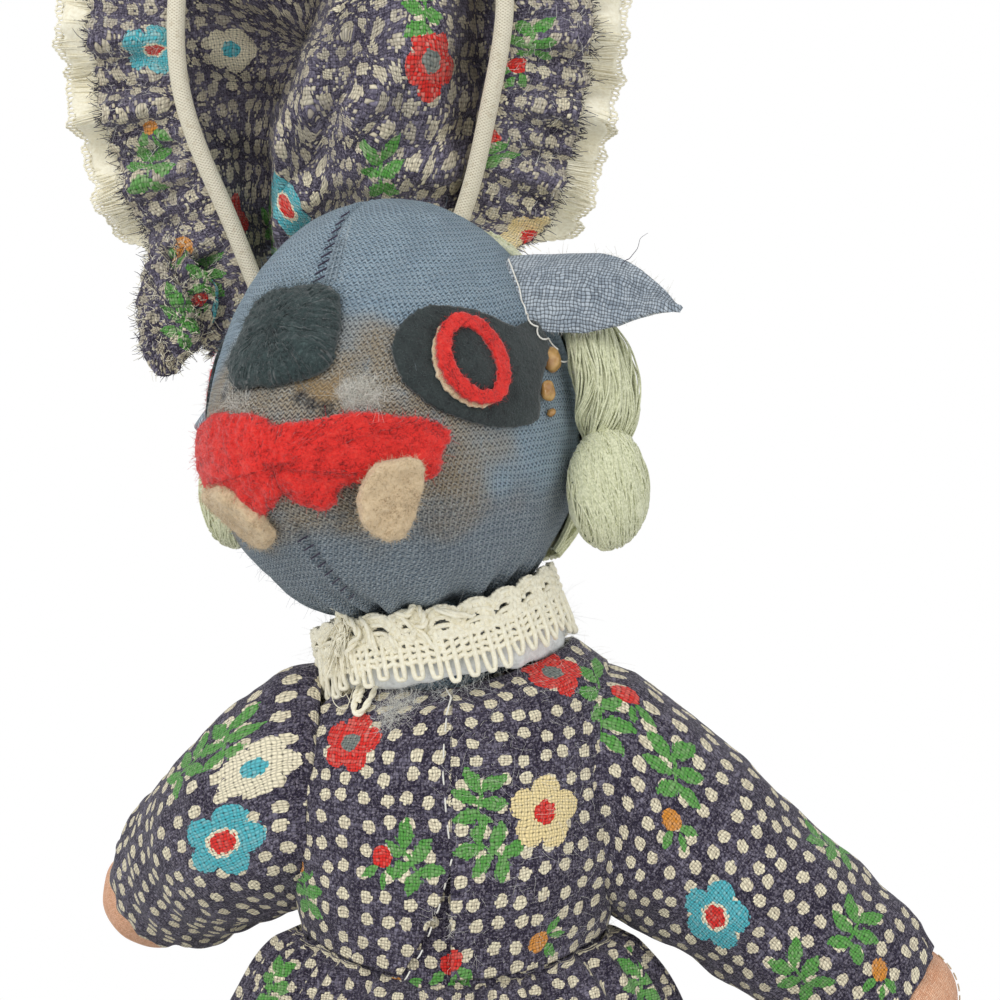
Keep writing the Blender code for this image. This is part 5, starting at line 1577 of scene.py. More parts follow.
def leg_skin(side):
    """A stuffed leg: ball at the hip, tapering calf, and a cloth foot that points forward."""
    ankle = SOLE_HEIGHT + FOOT_HEIGHT

    def surface(u, v):
        turn = 2 * pi * (u - 0.5) - pi / 2
        angle = v / 0.25 * pi / 2
        along = np.clip((v - 0.25) / 0.4, 0, 1)
        foot = np.clip((v - 0.65) / 0.35, 0, 1)
        calf = mix(LEG_HIP_RADIUS, LEG_CALF_RADIUS, smoothstep(along * 2))
        calf = mix(calf, LEG_ANKLE_RADIUS, smoothstep(along * 2 - 1))
        wide = smoothstep(foot * 2.2)
        close = smoothstep((1 - foot) * 4)
        half_length = mix(LEG_ANKLE_RADIUS, FOOT_HALF_LENGTH, wide)
        radius = np.where(v < 0.25, LEG_HIP_RADIUS * np.sin(np.minimum(angle, pi / 2)), calf)
        across = np.where(v < 0.65, radius, mix(LEG_ANKLE_RADIUS, FOOT_HALF_WIDTH, wide)) * np.cos(turn) * close
        shift = FOOT_SHIFT * wide
        back = np.where(v < 0.65, radius * np.sin(turn), (half_length * np.sin(turn) - shift) * close
                        - shift * (1 - close))
        below = np.where(v < 0.65, mix(HIP_HEIGHT, ankle, along), mix(ankle, SOLE_HEIGHT, smoothstep(foot * 1.4)))
        height = np.where(v < 0.25, HIP_HEIGHT + LEG_HIP_RADIUS * np.cos(np.minimum(angle, pi / 2)), below)
        return spread(side * HIP_SHIFT + across, back, height)

    return surface


class RAGDOLL_OT_legs(bpy.types.Operator):
    """Stuffed legs with cloth feet, under the skirt"""

    bl_idname = "ragdoll.legs"
    bl_label = "Legs"

    def execute(self, context):
        for side, word in SIDE_NAMES.items():
            leg = surface_grid(f"stuffed_leg_{word}", 64, 150, leg_skin(side), closed=True)
            wrinkle(leg, 0.35 * MM, 7 * MM, 2.0, lambda points: smoothstep((points[:, 2] - 2 * MM) / (6 * MM)))
            finish_piece(leg, "peach_cotton", f"{word}_leg", [f"leg_{word}"])
        return {"FINISHED"}


# Head and face

# Angles on the head where its knit is sewn
CROWN_SEAM = radians(10)
CHIN_SEAM = radians(6)

# Places in the view of tan glue, dark thread and white fluff on the muzzle, and of its tufts
TAN_SPOTS = ((322, 392), (306, 384), (338, 388))
DARK_SPOTS = ((312, 404), (326, 408), (300, 397), (236, 386), (225, 392))
WHITE_SPOTS = ((362, 388), (352, 402), (372, 398), (348, 388))
MUZZLE_TUFTS = ((362, 388), (352, 402), (374, 398), (238, 402))

# Where the nose, the mouth and the near eye sit, as an angle and a height on the head, and the outlines of their
# felt, in millimetres right and up from there
NOSE_PLACE = (radians(3), 16 * MM)
NOSE_OUTLINE = [(-7.9, 5.7), (-3.0, 6.1), (3.0, 6.1), (8.0, 5.7), (9.0, 2.6), (9.4, -2.6), (9.0, -5.6),
                (3.6, -6.3), (-2.6, -6.3), (-7.7, -5.8), (-8.6, -2.6), (-8.7, 2.6)]
MOUTH_PLACE = (radians(8), -3.4 * MM)
MOUTH_OUTLINE = [(-22.3, 7.0), (-16.5, 7.7), (-8.2, 7.3), (-3.6, 6.8), (-1.6, 5.8), (0.4, 4.4), (3.5, 5.0),
                 (10.1, 5.2), (16.0, 5.7), (21.8, 4.6), (29.6, 3.4), (32.2, 1.6), (30.2, 0.0),
                 (28.8, -2.3), (28.9, -3.5), (26.9, -4.0), (25.0, -3.8), (18.5, -2.9), (12.6, -2.9),
                 (9.9, -4.2), (8.4, -6.4), (6.2, -6.0), (3.7, -5.1), (1.7, -3.4), (0.7, -2.2),
                 (-0.5, -2.2), (-1.5, -3.9), (-4.8, -5.5), (-7.3, -6.0), (-8.6, -4.4), (-9.7, -2.3),
                 (-15.1, -1.4), (-20.4, -1.8), (-24.8, -0.9), (-27.2, 1.4), (-26.7, 4.5), (-24.8, 6.3)]
EYE_PLACE = (radians(57.5), 9.6 * MM)
EYE_OUTLINE = [(-10.5, 2.3), (-9.5, 5.2), (-7.2, 7.5), (-4.0, 8.5), (-0.6, 8.0), (4.2, 7.1), (8.7, 4.8),
               (10.6, 3.7), (11.8, 4.0), (16.2, 4.9), (18.2, 3.0), (18.3, -0.2), (14.8, -3.4),
               (12.8, -6.9), (12.4, -10.7), (9.6, -11.8), (3.2, -11.3), (-0.4, -9.8), (-4.2, -7.8),
               (-6.9, -5.2), (-9.3, -2.1), (-10.1, 0.7)]

# The far eye, side -1, is turned further back and lies flatter, out of the photo's view
EYE_TURN_BACK = {1: 0.0, -1: radians(11)}
EYE_FULLNESS = {1: 1.0, -1: 0.5}
EYE_TILT = radians(20)
EYE_SHIFT = (1.1, -0.8)
# Drops of glue by an eye: angle and height on the head, how far out, and half sizes in millimetres
GLUE_DROPS = ((92.7, 7.8, 0.6, (1.9, 1.5, 2.1)), (85.5, 2.8, 1.2, (1.5, 1.1, 1.6)),
              (87.2, -0.6, 0.7, (0.9, 0.7, 0.8)))

# Angle, height, outward place and splay of each tooth; its half widths and sideways shifts, in millimetres, at
# stations down its length
TOOTH_FACTS = {1: (radians(35), -4.2 * MM, 4.0 * MM, radians(-11)),
               -1: (radians(-13), -5.2 * MM, 2.8 * MM, radians(-38))}
TOOTH_LENGTH = 12.6 * MM
TOOTH_STATIONS = (0, 0.16, 0.3, 0.5, 0.7, 0.88, 1.0)
TOOTH_HALF_WIDTHS = (3.9, 4.7, 5.0, 4.9, 4.3, 3.1, 1.8)
TOOTH_SHIFTS = (-0.7, -0.4, 0.3, 1.0, 1.4, 1.2, 0.8)


def head_cloth(u, v):
    angle = 2 * pi * (u - 0.5)
    latitude = pi * (v - 0.5)
    height = np.sin(latitude) * np.where(latitude > 0, HEAD_CROWN, HEAD_JAW)
    local = head_skin(angle, height)
    seam = 0
    for place, shown in ((CROWN_SEAM, height > 22 * MM), (CHIN_SEAM, height < -13 * MM)):
        reach = np.linalg.norm(local[..., :2], axis=-1) * (angle - place)
        seam = seam + np.exp(-((reach / (0.8 * MM)) ** 2)) * shown
    pinch = np.sin(angle * 19 + 2 * np.sin(angle * 4)) * smoothstep((-20 * MM - height) / (9 * MM)) * 0.7 * MM
    crease = np.sin(angle * 9 + height / (3.2 * MM)) * smoothstep((-12 * MM - height) / (7 * MM)) * 0.3 * MM
    local = local + head_normals(angle, height) * (pinch + crease - seam * 0.8 * MM)[..., None]
    return placed(local, HEAD)


def in_head_frame(points):
    return placed(points, HEAD.inverted())


def stain_and_shade_head(head):
    """Where the knit is stained brown, where it is painted darker as shade on the lower head, where its stitches ran
    and where glue dried.
    """
    local = in_head_frame(points_of(head))
    angle = np.degrees(np.arctan2(local[:, 0], -local[:, 1]))
    height = local[:, 2] / MM
    patchy = cloud(local, 7 * MM, 4.0)
    edge = 24 - 0.25 * np.abs(angle - 8) + patchy * 4
    stained = smoothstep((edge - height) / 6) * smoothstep((height + 19 + patchy * 5) / 8)
    stained *= smoothstep((78 - np.abs(angle + 4) + patchy * 14) / 22)
    # painted shade: the knit is darker below about 7 mm under the head's middle, towards the chin
    lower = smoothstep((-7 - height + patchy * 5) / 7)
    ladder = np.exp(-((np.abs((angle - 14) / 2.2) % 1 - 0.5) ** 2) / 0.02) * (np.abs(angle - 14) < 4)
    ladder = ladder * smoothstep((height - 22) / 3) * smoothstep((35 - height) / 3) * (patchy > -0.2)
    tan = spots(head, TAN_SPOTS, 2.6 * MM)
    dark = spots(head, DARK_SPOTS, 1.5 * MM)
    white = spots(head, WHITE_SPOTS, 2.0 * MM)
    # the stain attribute holds the brown stain, the painted shade of the lower head and the ladders
    for name, values in (("stain", (stained, lower, ladder)), ("marks", (tan, dark, white))):
        attribute = head.data.attributes.new(name, "FLOAT_VECTOR", "POINT")
        attribute.data.foreach_set("vector", np.column_stack(values).astype(np.float32).ravel())


def head_line(places, lift=0.1 * MM, count=20):
    """A line on the head through places given as an angle in degrees and a height in millimetres."""
    places = np.array(places, float)
    steps = np.linspace(0, len(places) - 1, count)
    angle = np.radians(np.interp(steps, np.arange(len(places)), places[:, 0]))
    height = np.interp(steps, np.arange(len(places)), places[:, 1]) * MM
    return on_head(angle, height, 0, 0, lift + 0 * angle)


class RAGDOLL_OT_head(bpy.types.Operator):
    """Head: a stocking stuffed tight, seamed at the crown and under the chin"""

    bl_idname = "ragdoll.head"
    bl_label = "Head"

    def execute(self, context):
        head = surface_grid("stuffed_head", 300, 200, head_cloth, closed=True)
        wrinkle(head, 0.45 * MM, 12 * MM, 3.0)
        wrinkle(head, 0.12 * MM, 2.6 * MM, 8.0)
        stain_and_shade_head(head)
        finish_piece(head, "grey_knit", "head", ["head_ball"])
        fibres = fuzz("head_fluff", head, 2600, 1.2 * MM, 0.05 * MM, 3, lean=0.9, curl=0.8)
        finish_piece(fibres, "grey_fibre", "head")
        tufts = fluff("muzzle_fluff", [head], MUZZLE_TUFTS, 7, 420, 1.8 * MM, 0.06 * MM, 8)
        finish_piece(tufts, "white_thread", "head")
        make_head_seams()
        return {"FINISHED"}


def fluff(name, things, places, reach, count, length, diameter, seed, lean=1.3, curl=1.2):
    """Fibres on the pieces round places of the view: reach is in the view's pixels."""
    rng = np.random.default_rng(seed)
    roots, normals = [], []
    for index in range(count):
        across, down = np.array(places[index % len(places)]) + rng.normal(0, reach, 2)
        hit = nearest_seen(things, across, down)
        if hit:
            roots.append(hit[0])
            normals.append(hit[1])
    roots, normals = np.array(roots), np.array(normals)
    return strands(name, fibre_lines(roots, leaning(normals, lean, rng), length, rng, curl), diameter)


def make_head_seams():
    """Dark thread across the crown seam and the seam under the chin, and pale threads where stitches ran."""
    lines = []
    for place, low, high, step in ((CROWN_SEAM, 23, 36, 1.3), (CHIN_SEAM, -26, -14, 1.5)):
        for height in np.arange(low, high, step):
            middle = np.degrees(place)
            lines.append(head_line([(middle - 2.2, height), (middle + 2.4, height + 0.8)], 0.25 * MM, 7))
    finish_piece(strands("head_seam_stitches", lines, 0.28 * MM, taper=1.0), "navy_thread", "head")
    ladders = [head_line([(middle, 24), (middle + 0.6, 33)], 0.12 * MM) for middle in (12.6, 14.6, 16.8)]
    ladders += [head_line([(12.2, height), (17.4, height + 0.2)], 0.16 * MM, 9) for height in np.arange(24.5, 33, 0.9)]
    finish_piece(strands("head_ladders", ladders, 0.16 * MM, taper=1.0), "grey_fibre", "head")


def outline_at(outline, turn):
    """Points round a closed outline, evenly by its length; turn runs from 0 to 1."""
    ends = np.array(outline + outline[:1], float)
    along = lengths_along(ends)
    place = turn * along[-1]
    return np.interp(place, along, ends[:, 0]), np.interp(place, along, ends[:, 1])


def softened(outline, rounds=2):
    """Cuts the corners of an outline."""
    points = np.array(outline, float)
    for _ in range(rounds):
        after = np.roll(points, -1, axis=0)
        points = np.stack([points * 0.75 + after * 0.25, points * 0.25 + after * 0.75], axis=1).reshape(-1, 2)
    return [tuple(point) for point in points]


def felt_patch(name, anchor, outline, thickness, offset, crown=0.0, ragged=0.25, seed=0.0, columns=220, rows=26):
    """A flat piece of felt on the head; its outline is in millimetres right and up from the anchor."""
    angle, height = anchor
    outline = softened(outline)

    def surface(u, v):
        right, up = outline_at(outline, u)
        rough = cloud(spread(right * 2.2, up * 2.2, 0 * right), 1.0, seed) * ragged * v
        reach = np.maximum(np.hypot(right, up), 1e-6)
        right, up = right * v + right / reach * rough, up * v + up / reach * rough
        lift = crown * np.sqrt(np.clip(1 - v * v, 0, 1)) + cloud(spread(right, up, 0 * up), 3.0, seed) * 0.15
        return on_head(angle, height, right * MM, up * MM, offset + lift * MM)

    patch = surface_grid(name, columns, rows, surface, closed=True, inward=tuple(HEAD.translation))
    return thicken(patch, thickness, 1.0)


def oval_outline(half_width, half_height, tilt=0.0, squareness=2.0, count=48):
    turn = np.linspace(0, 2 * pi, count, endpoint=False)
    across, along = oblong(turn, half_width, half_height, squareness)
    return list(zip(across * cos(tilt) - along * sin(tilt), across * sin(tilt) + along * cos(tilt)))


class RAGDOLL_OT_nose(bpy.types.Operator):
    """Nose: a thick pad of fuzzy dark felt"""

    bl_idname = "ragdoll.nose"
    bl_label = "Nose"

    def execute(self, context):
        pad = felt_patch("nose_felt", NOSE_PLACE, NOSE_OUTLINE, 1.6 * MM, 0.2 * MM,
                         crown=2.0, ragged=0.5, columns=300, rows=60)
        wrinkle(pad, 0.35 * MM, 2.6 * MM, 4.0)
        wrinkle(pad, 0.3 * MM, 0.9 * MM, 2.0)
        finish_piece(pad, "nose_felt", "head", ["nose_pad"])
        fibres = fuzz("nose_fuzz", pad, 4200, 0.5 * MM, 0.06 * MM, 11, lean=4.0, curl=2.6)
        finish_piece(fibres, "nose_fibre", "head")
        return {"FINISHED"}


class RAGDOLL_OT_mouth(bpy.types.Operator):
    """Mouth: two lobes of red felt, drawn together in the middle"""

    bl_idname = "ragdoll.mouth"
    bl_label = "Mouth"

    def execute(self, context):
        lips = felt_patch("mouth_lips", MOUTH_PLACE, MOUTH_OUTLINE, 1.5 * MM, 0.45 * MM, crown=0.5, ragged=0.6,
                          seed=3.0, columns=460, rows=40)
        wrinkle(lips, 0.35 * MM, 2.2 * MM, 2.0)
        wrinkle(lips, 0.3 * MM, 0.8 * MM, 5.0)
        finish_piece(lips, "red_felt", "head", ["mouth_felt"])
        fibres = fuzz("mouth_fuzz", lips, 9000, 0.45 * MM, 0.07 * MM, 12, lean=1.6, curl=1.4)
        finish_piece(fibres, "red_thread", "head")
        return {"FINISHED"}


def tooth_skin(side):
    """A chunky tooth that hangs from the lip and follows the jaw."""
    angle, level, offset, splay = TOOTH_FACTS[side]
    root = on_head(np.array(angle), np.array(level), 0, 0, offset)
    outward = Vector(head_normals(np.array(angle), np.array(level)) * np.array((1, 1, 0))).normalized()
    down = Matrix.Rotation(splay, 3, outward.cross(Vector((0, 0, 1)))) @ Vector((0, 0, -1))
    face = outward.cross(down).cross(down).normalized()
    turn = HEAD.to_3x3()
    across, face, down = (np.array(turn @ way) for way in (face.cross(down), face, down))

    def surface(u, v):
        girth = power(1 - np.abs(2 * v - 1) ** 9, 0.5)
        width = np.interp(v, TOOTH_STATIONS, TOOTH_HALF_WIDTHS) * MM
        wide, deep = oblong(2 * pi * u, width * power(girth, 0.6), 1.6 * MM * girth, 4.5)
        lean = side * np.interp(v, TOOTH_STATIONS, TOOTH_SHIFTS) * MM
        return (root + across * (wide + lean)[..., None] + face * deep[..., None]
                + down * (TOOTH_LENGTH * v)[..., None])

    return surface


class RAGDOLL_OT_teeth(bpy.types.Operator):
    """Two thick teeth of cream felt, glued under the lip"""

    bl_idname = "ragdoll.teeth"
    bl_label = "Teeth"

    def execute(self, context):
        for side, word in SIDE_NAMES.items():
            tooth = surface_grid(f"felt_tooth_{word}", 100, 90, tooth_skin(side), closed=True)
            wrinkle(tooth, 0.35 * MM, 3 * MM, 6.0 + side)
            wrinkle(tooth, 0.2 * MM, 0.9 * MM, 2.0)
            finish_piece(tooth, "cream_felt", "head", [f"tooth_{word}"])
            fibres = fuzz(f"tooth_fuzz_{word}", tooth, 2200, 0.7 * MM, 0.06 * MM, 14 + side, lean=1.1)
            finish_piece(fibres, "cream_fibre", "head")
        return {"FINISHED"}


def make_glue(name, material, body, drops):
    """Drops of old glue on the head: angle and height on it, how far out, and the drop's half sizes in millimetres."""
    mesh = bmesh.new()
    for index, (angle, height, out, reach) in enumerate(drops):
        place = on_head(np.radians(angle) + np.zeros(()), height * MM, 0, 0, out * MM)
        frame = Matrix.Translation(place) @ HEAD.to_3x3().to_4x4() @ Matrix.Rotation(radians(angle), 4, "Z")
        made = bmesh.ops.create_icosphere(mesh, subdivisions=4, radius=1.0,
                                          matrix=frame @ Matrix.Diagonal((*(size * MM for size in reach), 1)))
        for vertex in made["verts"]:
            bump_out = noise.noise(vertex.co / (1.3 * MM) + Vector((index, 0, 0)))
            vertex.co += (vertex.co - frame.translation).normalized() * bump_out * 0.35 * MM
    finish_piece(mesh_object(name, mesh), material, body)


def mirrored(outline, side):
    return outline if side > 0 else [(-right, up) for right, up in reversed(outline)]


def felt_ring(name, anchor, half_width, half_height, band, tilt, thickness, offset, shift=(0.0, 0.0), seed=0.0):
    """A flat ring of felt; its band is rough at both edges."""
    angle, height = anchor

    def surface(u, v):
        turn = 2 * pi * u
        out = (v - 0.5) * band
        right = (half_width + out) * np.cos(turn)
        up = (half_height + out) * np.sin(turn)
        rough = cloud(spread(right * 1.3, up * 1.3, v), 1.0, seed) * 0.34 * (2 * v - 1)
        right, up = right + rough * np.cos(turn), up + rough * np.sin(turn)
        across = right * cos(tilt) - up * sin(tilt) + shift[0]
        along = right * sin(tilt) + up * cos(tilt) + shift[1]
        return on_head(angle, height, across * MM, along * MM, offset + 0 * across)

    ring = surface_grid(name, 200, 8, surface, closed=True, inward=tuple(HEAD.translation))
    return thicken(ring, thickness, 1.0)


class RAGDOLL_OT_eyes(bpy.types.Operator):
    """Eyes: a dark felt patch, a cream backing, a red ring and a dark middle, glued on"""

    bl_idname = "ragdoll.eyes"
    bl_label = "Eyes"

    def execute(self, context):
        for side, word in SIDE_NAMES.items():
            make_eye(side, word)
        return {"FINISHED"}


def make_eye(side, word):
    """One eye, its layers from the head outward."""
    anchor = (side * (EYE_PLACE[0] + EYE_TURN_BACK[side]), EYE_PLACE[1])
    full, tilt, shift = EYE_FULLNESS[side] * MM, side * EYE_TILT, (side * EYE_SHIFT[0], EYE_SHIFT[1])
    patch = felt_patch(f"eye_felt_{word}", anchor, mirrored(EYE_OUTLINE, side), 0.9 * full, 0.25 * full,
                       ragged=0.35, seed=side * 2.0)
    finish_piece(patch, "eye_felt", "head", [f"eye_patch_{word}"])
    backing = felt_ring(f"eye_cream_{word}", anchor, 4.2, 6.1, 1.9, tilt, 0.5 * full, 1.35 * full,
                        (side * 0.55, -1.2))
    finish_piece(backing, "cream_felt", "head", [f"eye_backing_{word}"])
    ring = felt_ring(f"eye_red_{word}", anchor, 4.15, 6.1, 2.1, tilt, 0.9 * full, 1.95 * full, shift, 4.0)
    wrinkle(ring, 0.18 * MM, 1.4 * MM)
    finish_piece(ring, "red_felt", "head", [f"eye_ring_{word}"])
    pupil = [(right + shift[0], up + shift[1]) for right, up in oval_outline(3.3, 5.2, tilt)]
    middle = felt_patch(f"eye_middle_{word}", anchor, pupil, 0.8 * full, 1.3 * full, ragged=0.2, columns=120,
                        rows=14)
    finish_piece(middle, "eye_felt", "head", [f"eye_pupil_{word}"])
    for piece, material, count in ((patch, "nose_fibre", 2400), (ring, "red_thread", 2200),
                                   (middle, "nose_fibre", 500)):
        fibres = fuzz(f"{piece.name}_fuzz", piece, count, 0.55 * MM, 0.05 * MM, 17, lean=1.4)
        finish_piece(fibres, material, "head")
    make_glue(f"eye_glue_{word}", "glue_drop", "head", [(side * angle, *rest) for angle, *rest in GLUE_DROPS])


# Ears

# Sweep, droop and place round the head in degrees, then height on the head, length and bend in millimetres
EAR_FACTS = {1: (14, 9, 90, 23.5, 30.5, 0.0), -1: (-10, 30, 94, 21.5, 23.0, 7.0)}
EAR_STATIONS = (0, 0.12, 0.3, 0.48, 0.66, 0.84, 1.0)
EAR_HALF_WIDTHS = (6.4, 7.4, 8.0, 7.6, 6.0, 3.6, 0.6)

# Routes in the view of the curly and the straight thread at the left ear's root, and of the one pulled from its edge
CURLY_THREAD = ((518, 318), (527, 328), (533, 340), (546, 346), (550, 360), (562, 368), (566, 380), (582, 386),
                (600, 386))
ROOT_THREAD = ((508, 262), (520, 290), (524, 316))
PULLED_THREAD = ((622, 268), (630, 258), (638, 248), (640, 238), (648, 233))


def ear_axes(side):
    """Root, root line, outward direction and facing of an ear, in the world."""
    sweep, droop, turned = (radians(degrees) for degrees in EAR_FACTS[side][:3])
    angle = side * turned
    bearing = angle + side * sweep
    level = Vector((sin(bearing), -cos(bearing), 0))
    out = level * cos(droop) - Vector((0, 0, 1)) * sin(droop)
    face = Vector((0, 0, 1)).cross(level).normalized() * side
    tilt = Matrix.Rotation(-side * radians(38), 3, out)
    root_line = tilt @ (face.cross(out).normalized() * side)
    turn = HEAD.to_3x3()
    root = on_head(np.array(angle), np.array(EAR_FACTS[side][3] * MM), 0, 0, -0.8 * MM)
    return root, np.array(turn @ root_line), np.array(turn @ out), np.array(turn @ tilt @ face)


def ear_skin(side):
    root, root_line, out, face = ear_axes(side)
    length, bent = EAR_FACTS[side][4:]

    def surface(u, v):
        leaf = np.interp(v, EAR_STATIONS, EAR_HALF_WIDTHS) * MM
        wide = (2 * u - 1) * leaf
        bow = -2.2 * MM * np.sin(pi * np.minimum(v * 1.05, 1))
        cup = 2.4 * MM * (wide / (7 * MM)) ** 2 + 1.4 * MM * np.sin(v * 5)
        curl = 1.0 * MM * np.sin(v * 9 + 3 * u) * v
        sunk = np.array((0, 0, -1.0)) * ((1.6 + 4.6 * v**2) * MM)[..., None]
        sunk = sunk + np.array((0.4, 1.0, 0)) * (bent * MM * v**2)[..., None]
        return (root + root_line * (wide + bow)[..., None] + out * (length * MM * v)[..., None]
                + face * (cup + curl)[..., None] + sunk)

    return surface


class RAGDOLL_OT_ears(bpy.types.Operator):
    """Ears: leaf-shaped pieces of coarse cloth, frayed along the lower edge"""

    bl_idname = "ragdoll.ears"
    bl_label = "Ears"

    def execute(self, context):
        for side, word in SIDE_NAMES.items():
            body = f"{word}_ear"
            ear = surface_grid(f"cloth_ear_{word}", 60, 110, ear_skin(side), inward=tuple(HEAD.translation))
            wrinkle(ear, 0.4 * MM, 5 * MM, 2.0 + side)
            ear = thicken(ear, 0.8 * MM, 0.0)
            finish_piece(ear, "ear_weave", body, [f"ear_{word}"])
            declare_sheet(ear)
            lines = edge_fray(ear_skin(side), 0.0, 190, 1.7 * MM, 31 + side)
            lines += edge_fray(ear_skin(side), 1.0, 90, 0.8 * MM, 35 + side)
            finish_piece(strands(f"ear_fray_{word}", lines, 0.11 * MM), "white_thread", body)
            if side > 0:
                make_ear_threads(ear)
        return {"FINISHED"}


def make_ear_threads(ear):
    """The pulled threads that hang from the left ear's root and stand from its edge."""
    head = bpy.data.objects["stuffed_head"]
    curly = laid_line([ear, head], CURLY_THREAD, 1.6 * MM, 60)
    turn = np.linspace(0, 15 * pi, 60)
    curly += np.column_stack([np.cos(turn), np.sin(turn) * 0.6, np.sin(turn)]) * 0.3 * MM
    root = laid_line([ear, head], ROOT_THREAD, 0.5 * MM)
    finish_piece(strands("ear_root_thread", [curly, root], 0.3 * MM, taper=0.8, sides=1), "white_thread", "left_ear")
    fine = laid_line([ear], PULLED_THREAD, 0.6 * MM)
    finish_piece(strands("ear_pulled_thread", [fine], 0.16 * MM), "navy_thread", "left_ear")


def edge_fray(surface, side_share, count, length, seed, low=0.04, high=0.97):
    """Loose threads along one edge of a sheet, leaving it outwards."""
    rng = np.random.default_rng(seed)
    along = np.sort(rng.uniform(low, high, count))
    edge = surface(np.full(count, side_share), along)
    inner = surface(np.full(count, abs(side_share - 0.08)), along)
    direction = unit(edge - inner)
    direction += rng.normal(0, 0.3, direction.shape)
    return list(fibre_lines(edge - direction * 0.5 * MM, direction, length, rng, 0.3))


# Hair

# How high each roll reaches on the head, and each bun's height there and distance out; the bun's half sizes, the
# directions that its floss is wound about, and the thickness of a roll and of its locks along them; in millimetres
ROLL_TOPS = {1: 16, -1: 8}
BUN_FACTS = {1: (-14, 7.6), -1: (-8, 12.5)}
BUN_REACH = (6.4, 6.3, 9.4)
BUN_AXES = ((0.92, 0.1, 0.38), (0.84, 0.25, 0.5), (1.0, -0.1, 0.15))
ROLL_RADII = (0.6, 3.4, 4.3, 4.9, 5.0, 3.4)
LOCK_RADII = (0.3, 1.9, 2.3, 2.5, 2.4, 1.6)
LOCK_COUNT = 6
CAP_STRANDS = 520


def lock(path, radius, count, seed, twist=5.0, inner=0.8):
    """Strands of floss that wind together along a path."""
    rng = np.random.default_rng(seed)
    share, line, first, second = path_frames(path, 40)
    width = np.interp(share, np.linspace(0, 1, len(radius)), radius)
    lines = []
    for _ in range(count):
        turn = rng.uniform(0, 2 * pi) + twist * share + 0.3 * np.sin(share * 7 + rng.uniform(0, 6))
        ripple = 1 + 0.12 * np.cos(2 * (turn - twist * share) + 6 * share)
        reach = (width * rng.uniform(inner, 1.02) * ripple)[:, None]
        lines.append(ringed(line, first, second, turn, reach))
    return lines


class RAGDOLL_OT_hair(bpy.types.Operator):
    """Hair: floss laid over the back of the head, twisted rolls and buns behind the cheeks"""

    bl_idname = "ragdoll.hair"
    bl_label = "Hair"

    def execute(self, context):
        make_hair_cap()
        for side, word in SIDE_NAMES.items():
            make_roll(side, word)
            make_bun(side, word)
        return {"FINISHED"}


def make_hair_cap():
    """A pad of floss on the back of the head, and the strands that lie over it."""
    reach = HEAD_HALF_DEPTH / MM
    outline = [(right, up * (31 if up > 0 else 24)) for right, up in oval_outline(radians(66) * reach, 1, 0, 2.6)]
    pad = felt_patch("hair_pad", (pi, 0.0), outline, 1.0 * MM, 0.5 * MM, crown=3.6, ragged=0.3, columns=240, rows=50)
    finish_piece(pad, "floss", "head", ["hair_cap"])
    rng = np.random.default_rng(5)
    lines = []
    share = np.linspace(-1, 1, 34)
    for _ in range(CAP_STRANDS):
        right = rng.uniform(-1, 1) * radians(64)
        top, bottom = 30 * np.sqrt(max(1 - abs(right / radians(66)) ** 2.6, 0.02)), -23
        up = mix(bottom, top, (share + 1) / 2)
        wave = right + 0.05 * np.sin(up * 0.25 + right * 5) + rng.normal(0, 0.02)
        dome = np.clip(1 - (right / radians(66)) ** 2 - (up / 33) ** 2 * 0.9, 0, 1)
        lift = 0.5 + 4.6 * np.sqrt(dome) + rng.uniform(0, 0.8)
        local = head_skin(pi + wave, up * MM) + head_normals(pi + wave, up * MM) * (lift * MM)[:, None]
        lines.append(placed(local, HEAD))
    finish_piece(strands("hair_strands", lines, 0.5 * MM, taper=0.8, sides=1), "floss", "head")


def roll_path(side):
    heights = np.linspace(-6 * MM, ROLL_TOPS[side] * MM, 14)
    angle = np.full_like(heights, side * radians(104))
    local = head_skin(angle, heights)
    outward = head_normals(np.array(side * radians(104)), np.array(0.0))
    bulge = 5.6 * MM + 0.8 * MM * np.sin(np.linspace(0, 3, 14))
    return placed(local + outward * bulge[:, None], HEAD)


def make_roll(side, word):
    """A hank of floss in a few locks that runs down behind the cheek into the knot."""
    path, radius = roll_path(side)[::-1], np.array(ROLL_RADII) * MM
    share, line, first, second = path_frames(path, 60)
    width = np.interp(share, np.linspace(0, 1, len(radius)), radius)

    def surface(u, v):
        row = np.clip(np.rint(v * 59).astype(int), 0, 59)
        turn = 2 * pi * u
        closing = power(np.sin(pi * np.clip(v, 0, 1)), 0.2)
        reach = (width[row] * 0.86 * (1 + 0.1 * np.cos(2 * turn + 5 * v)) * closing)[..., None]
        return ringed(line[row], first[row], second[row], turn, reach)

    core = surface_grid(f"floss_roll_{word}", 60, 59, surface, closed=True)
    finish_piece(core, "floss", "head", [f"hair_roll_{word}"])
    lines = []
    for index in range(LOCK_COUNT):
        turn = 2 * pi * index / LOCK_COUNT + 1.1 * share + 0.5 * np.sin(share * 5 + index)
        reach = (width * 0.62)[:, None]
        centre = ringed(line, first, second, turn, reach)
        lines += lock(centre, np.array(LOCK_RADII) * MM, sizes().strand_count // 3, 50 + side + index * 7, twist=2.2,
                      inner=0.55)
    finish_piece(strands(f"roll_strands_{word}", lines, 0.42 * MM, taper=0.7, sides=1), "floss", "head")


def bun_middle(side):
    height, out = BUN_FACTS[side]
    skin = head_skin(np.array(side * radians(100)), np.array(height * MM))
    return placed(skin + unit(skin * np.array((1, 1, 0))) * out * MM, HEAD)


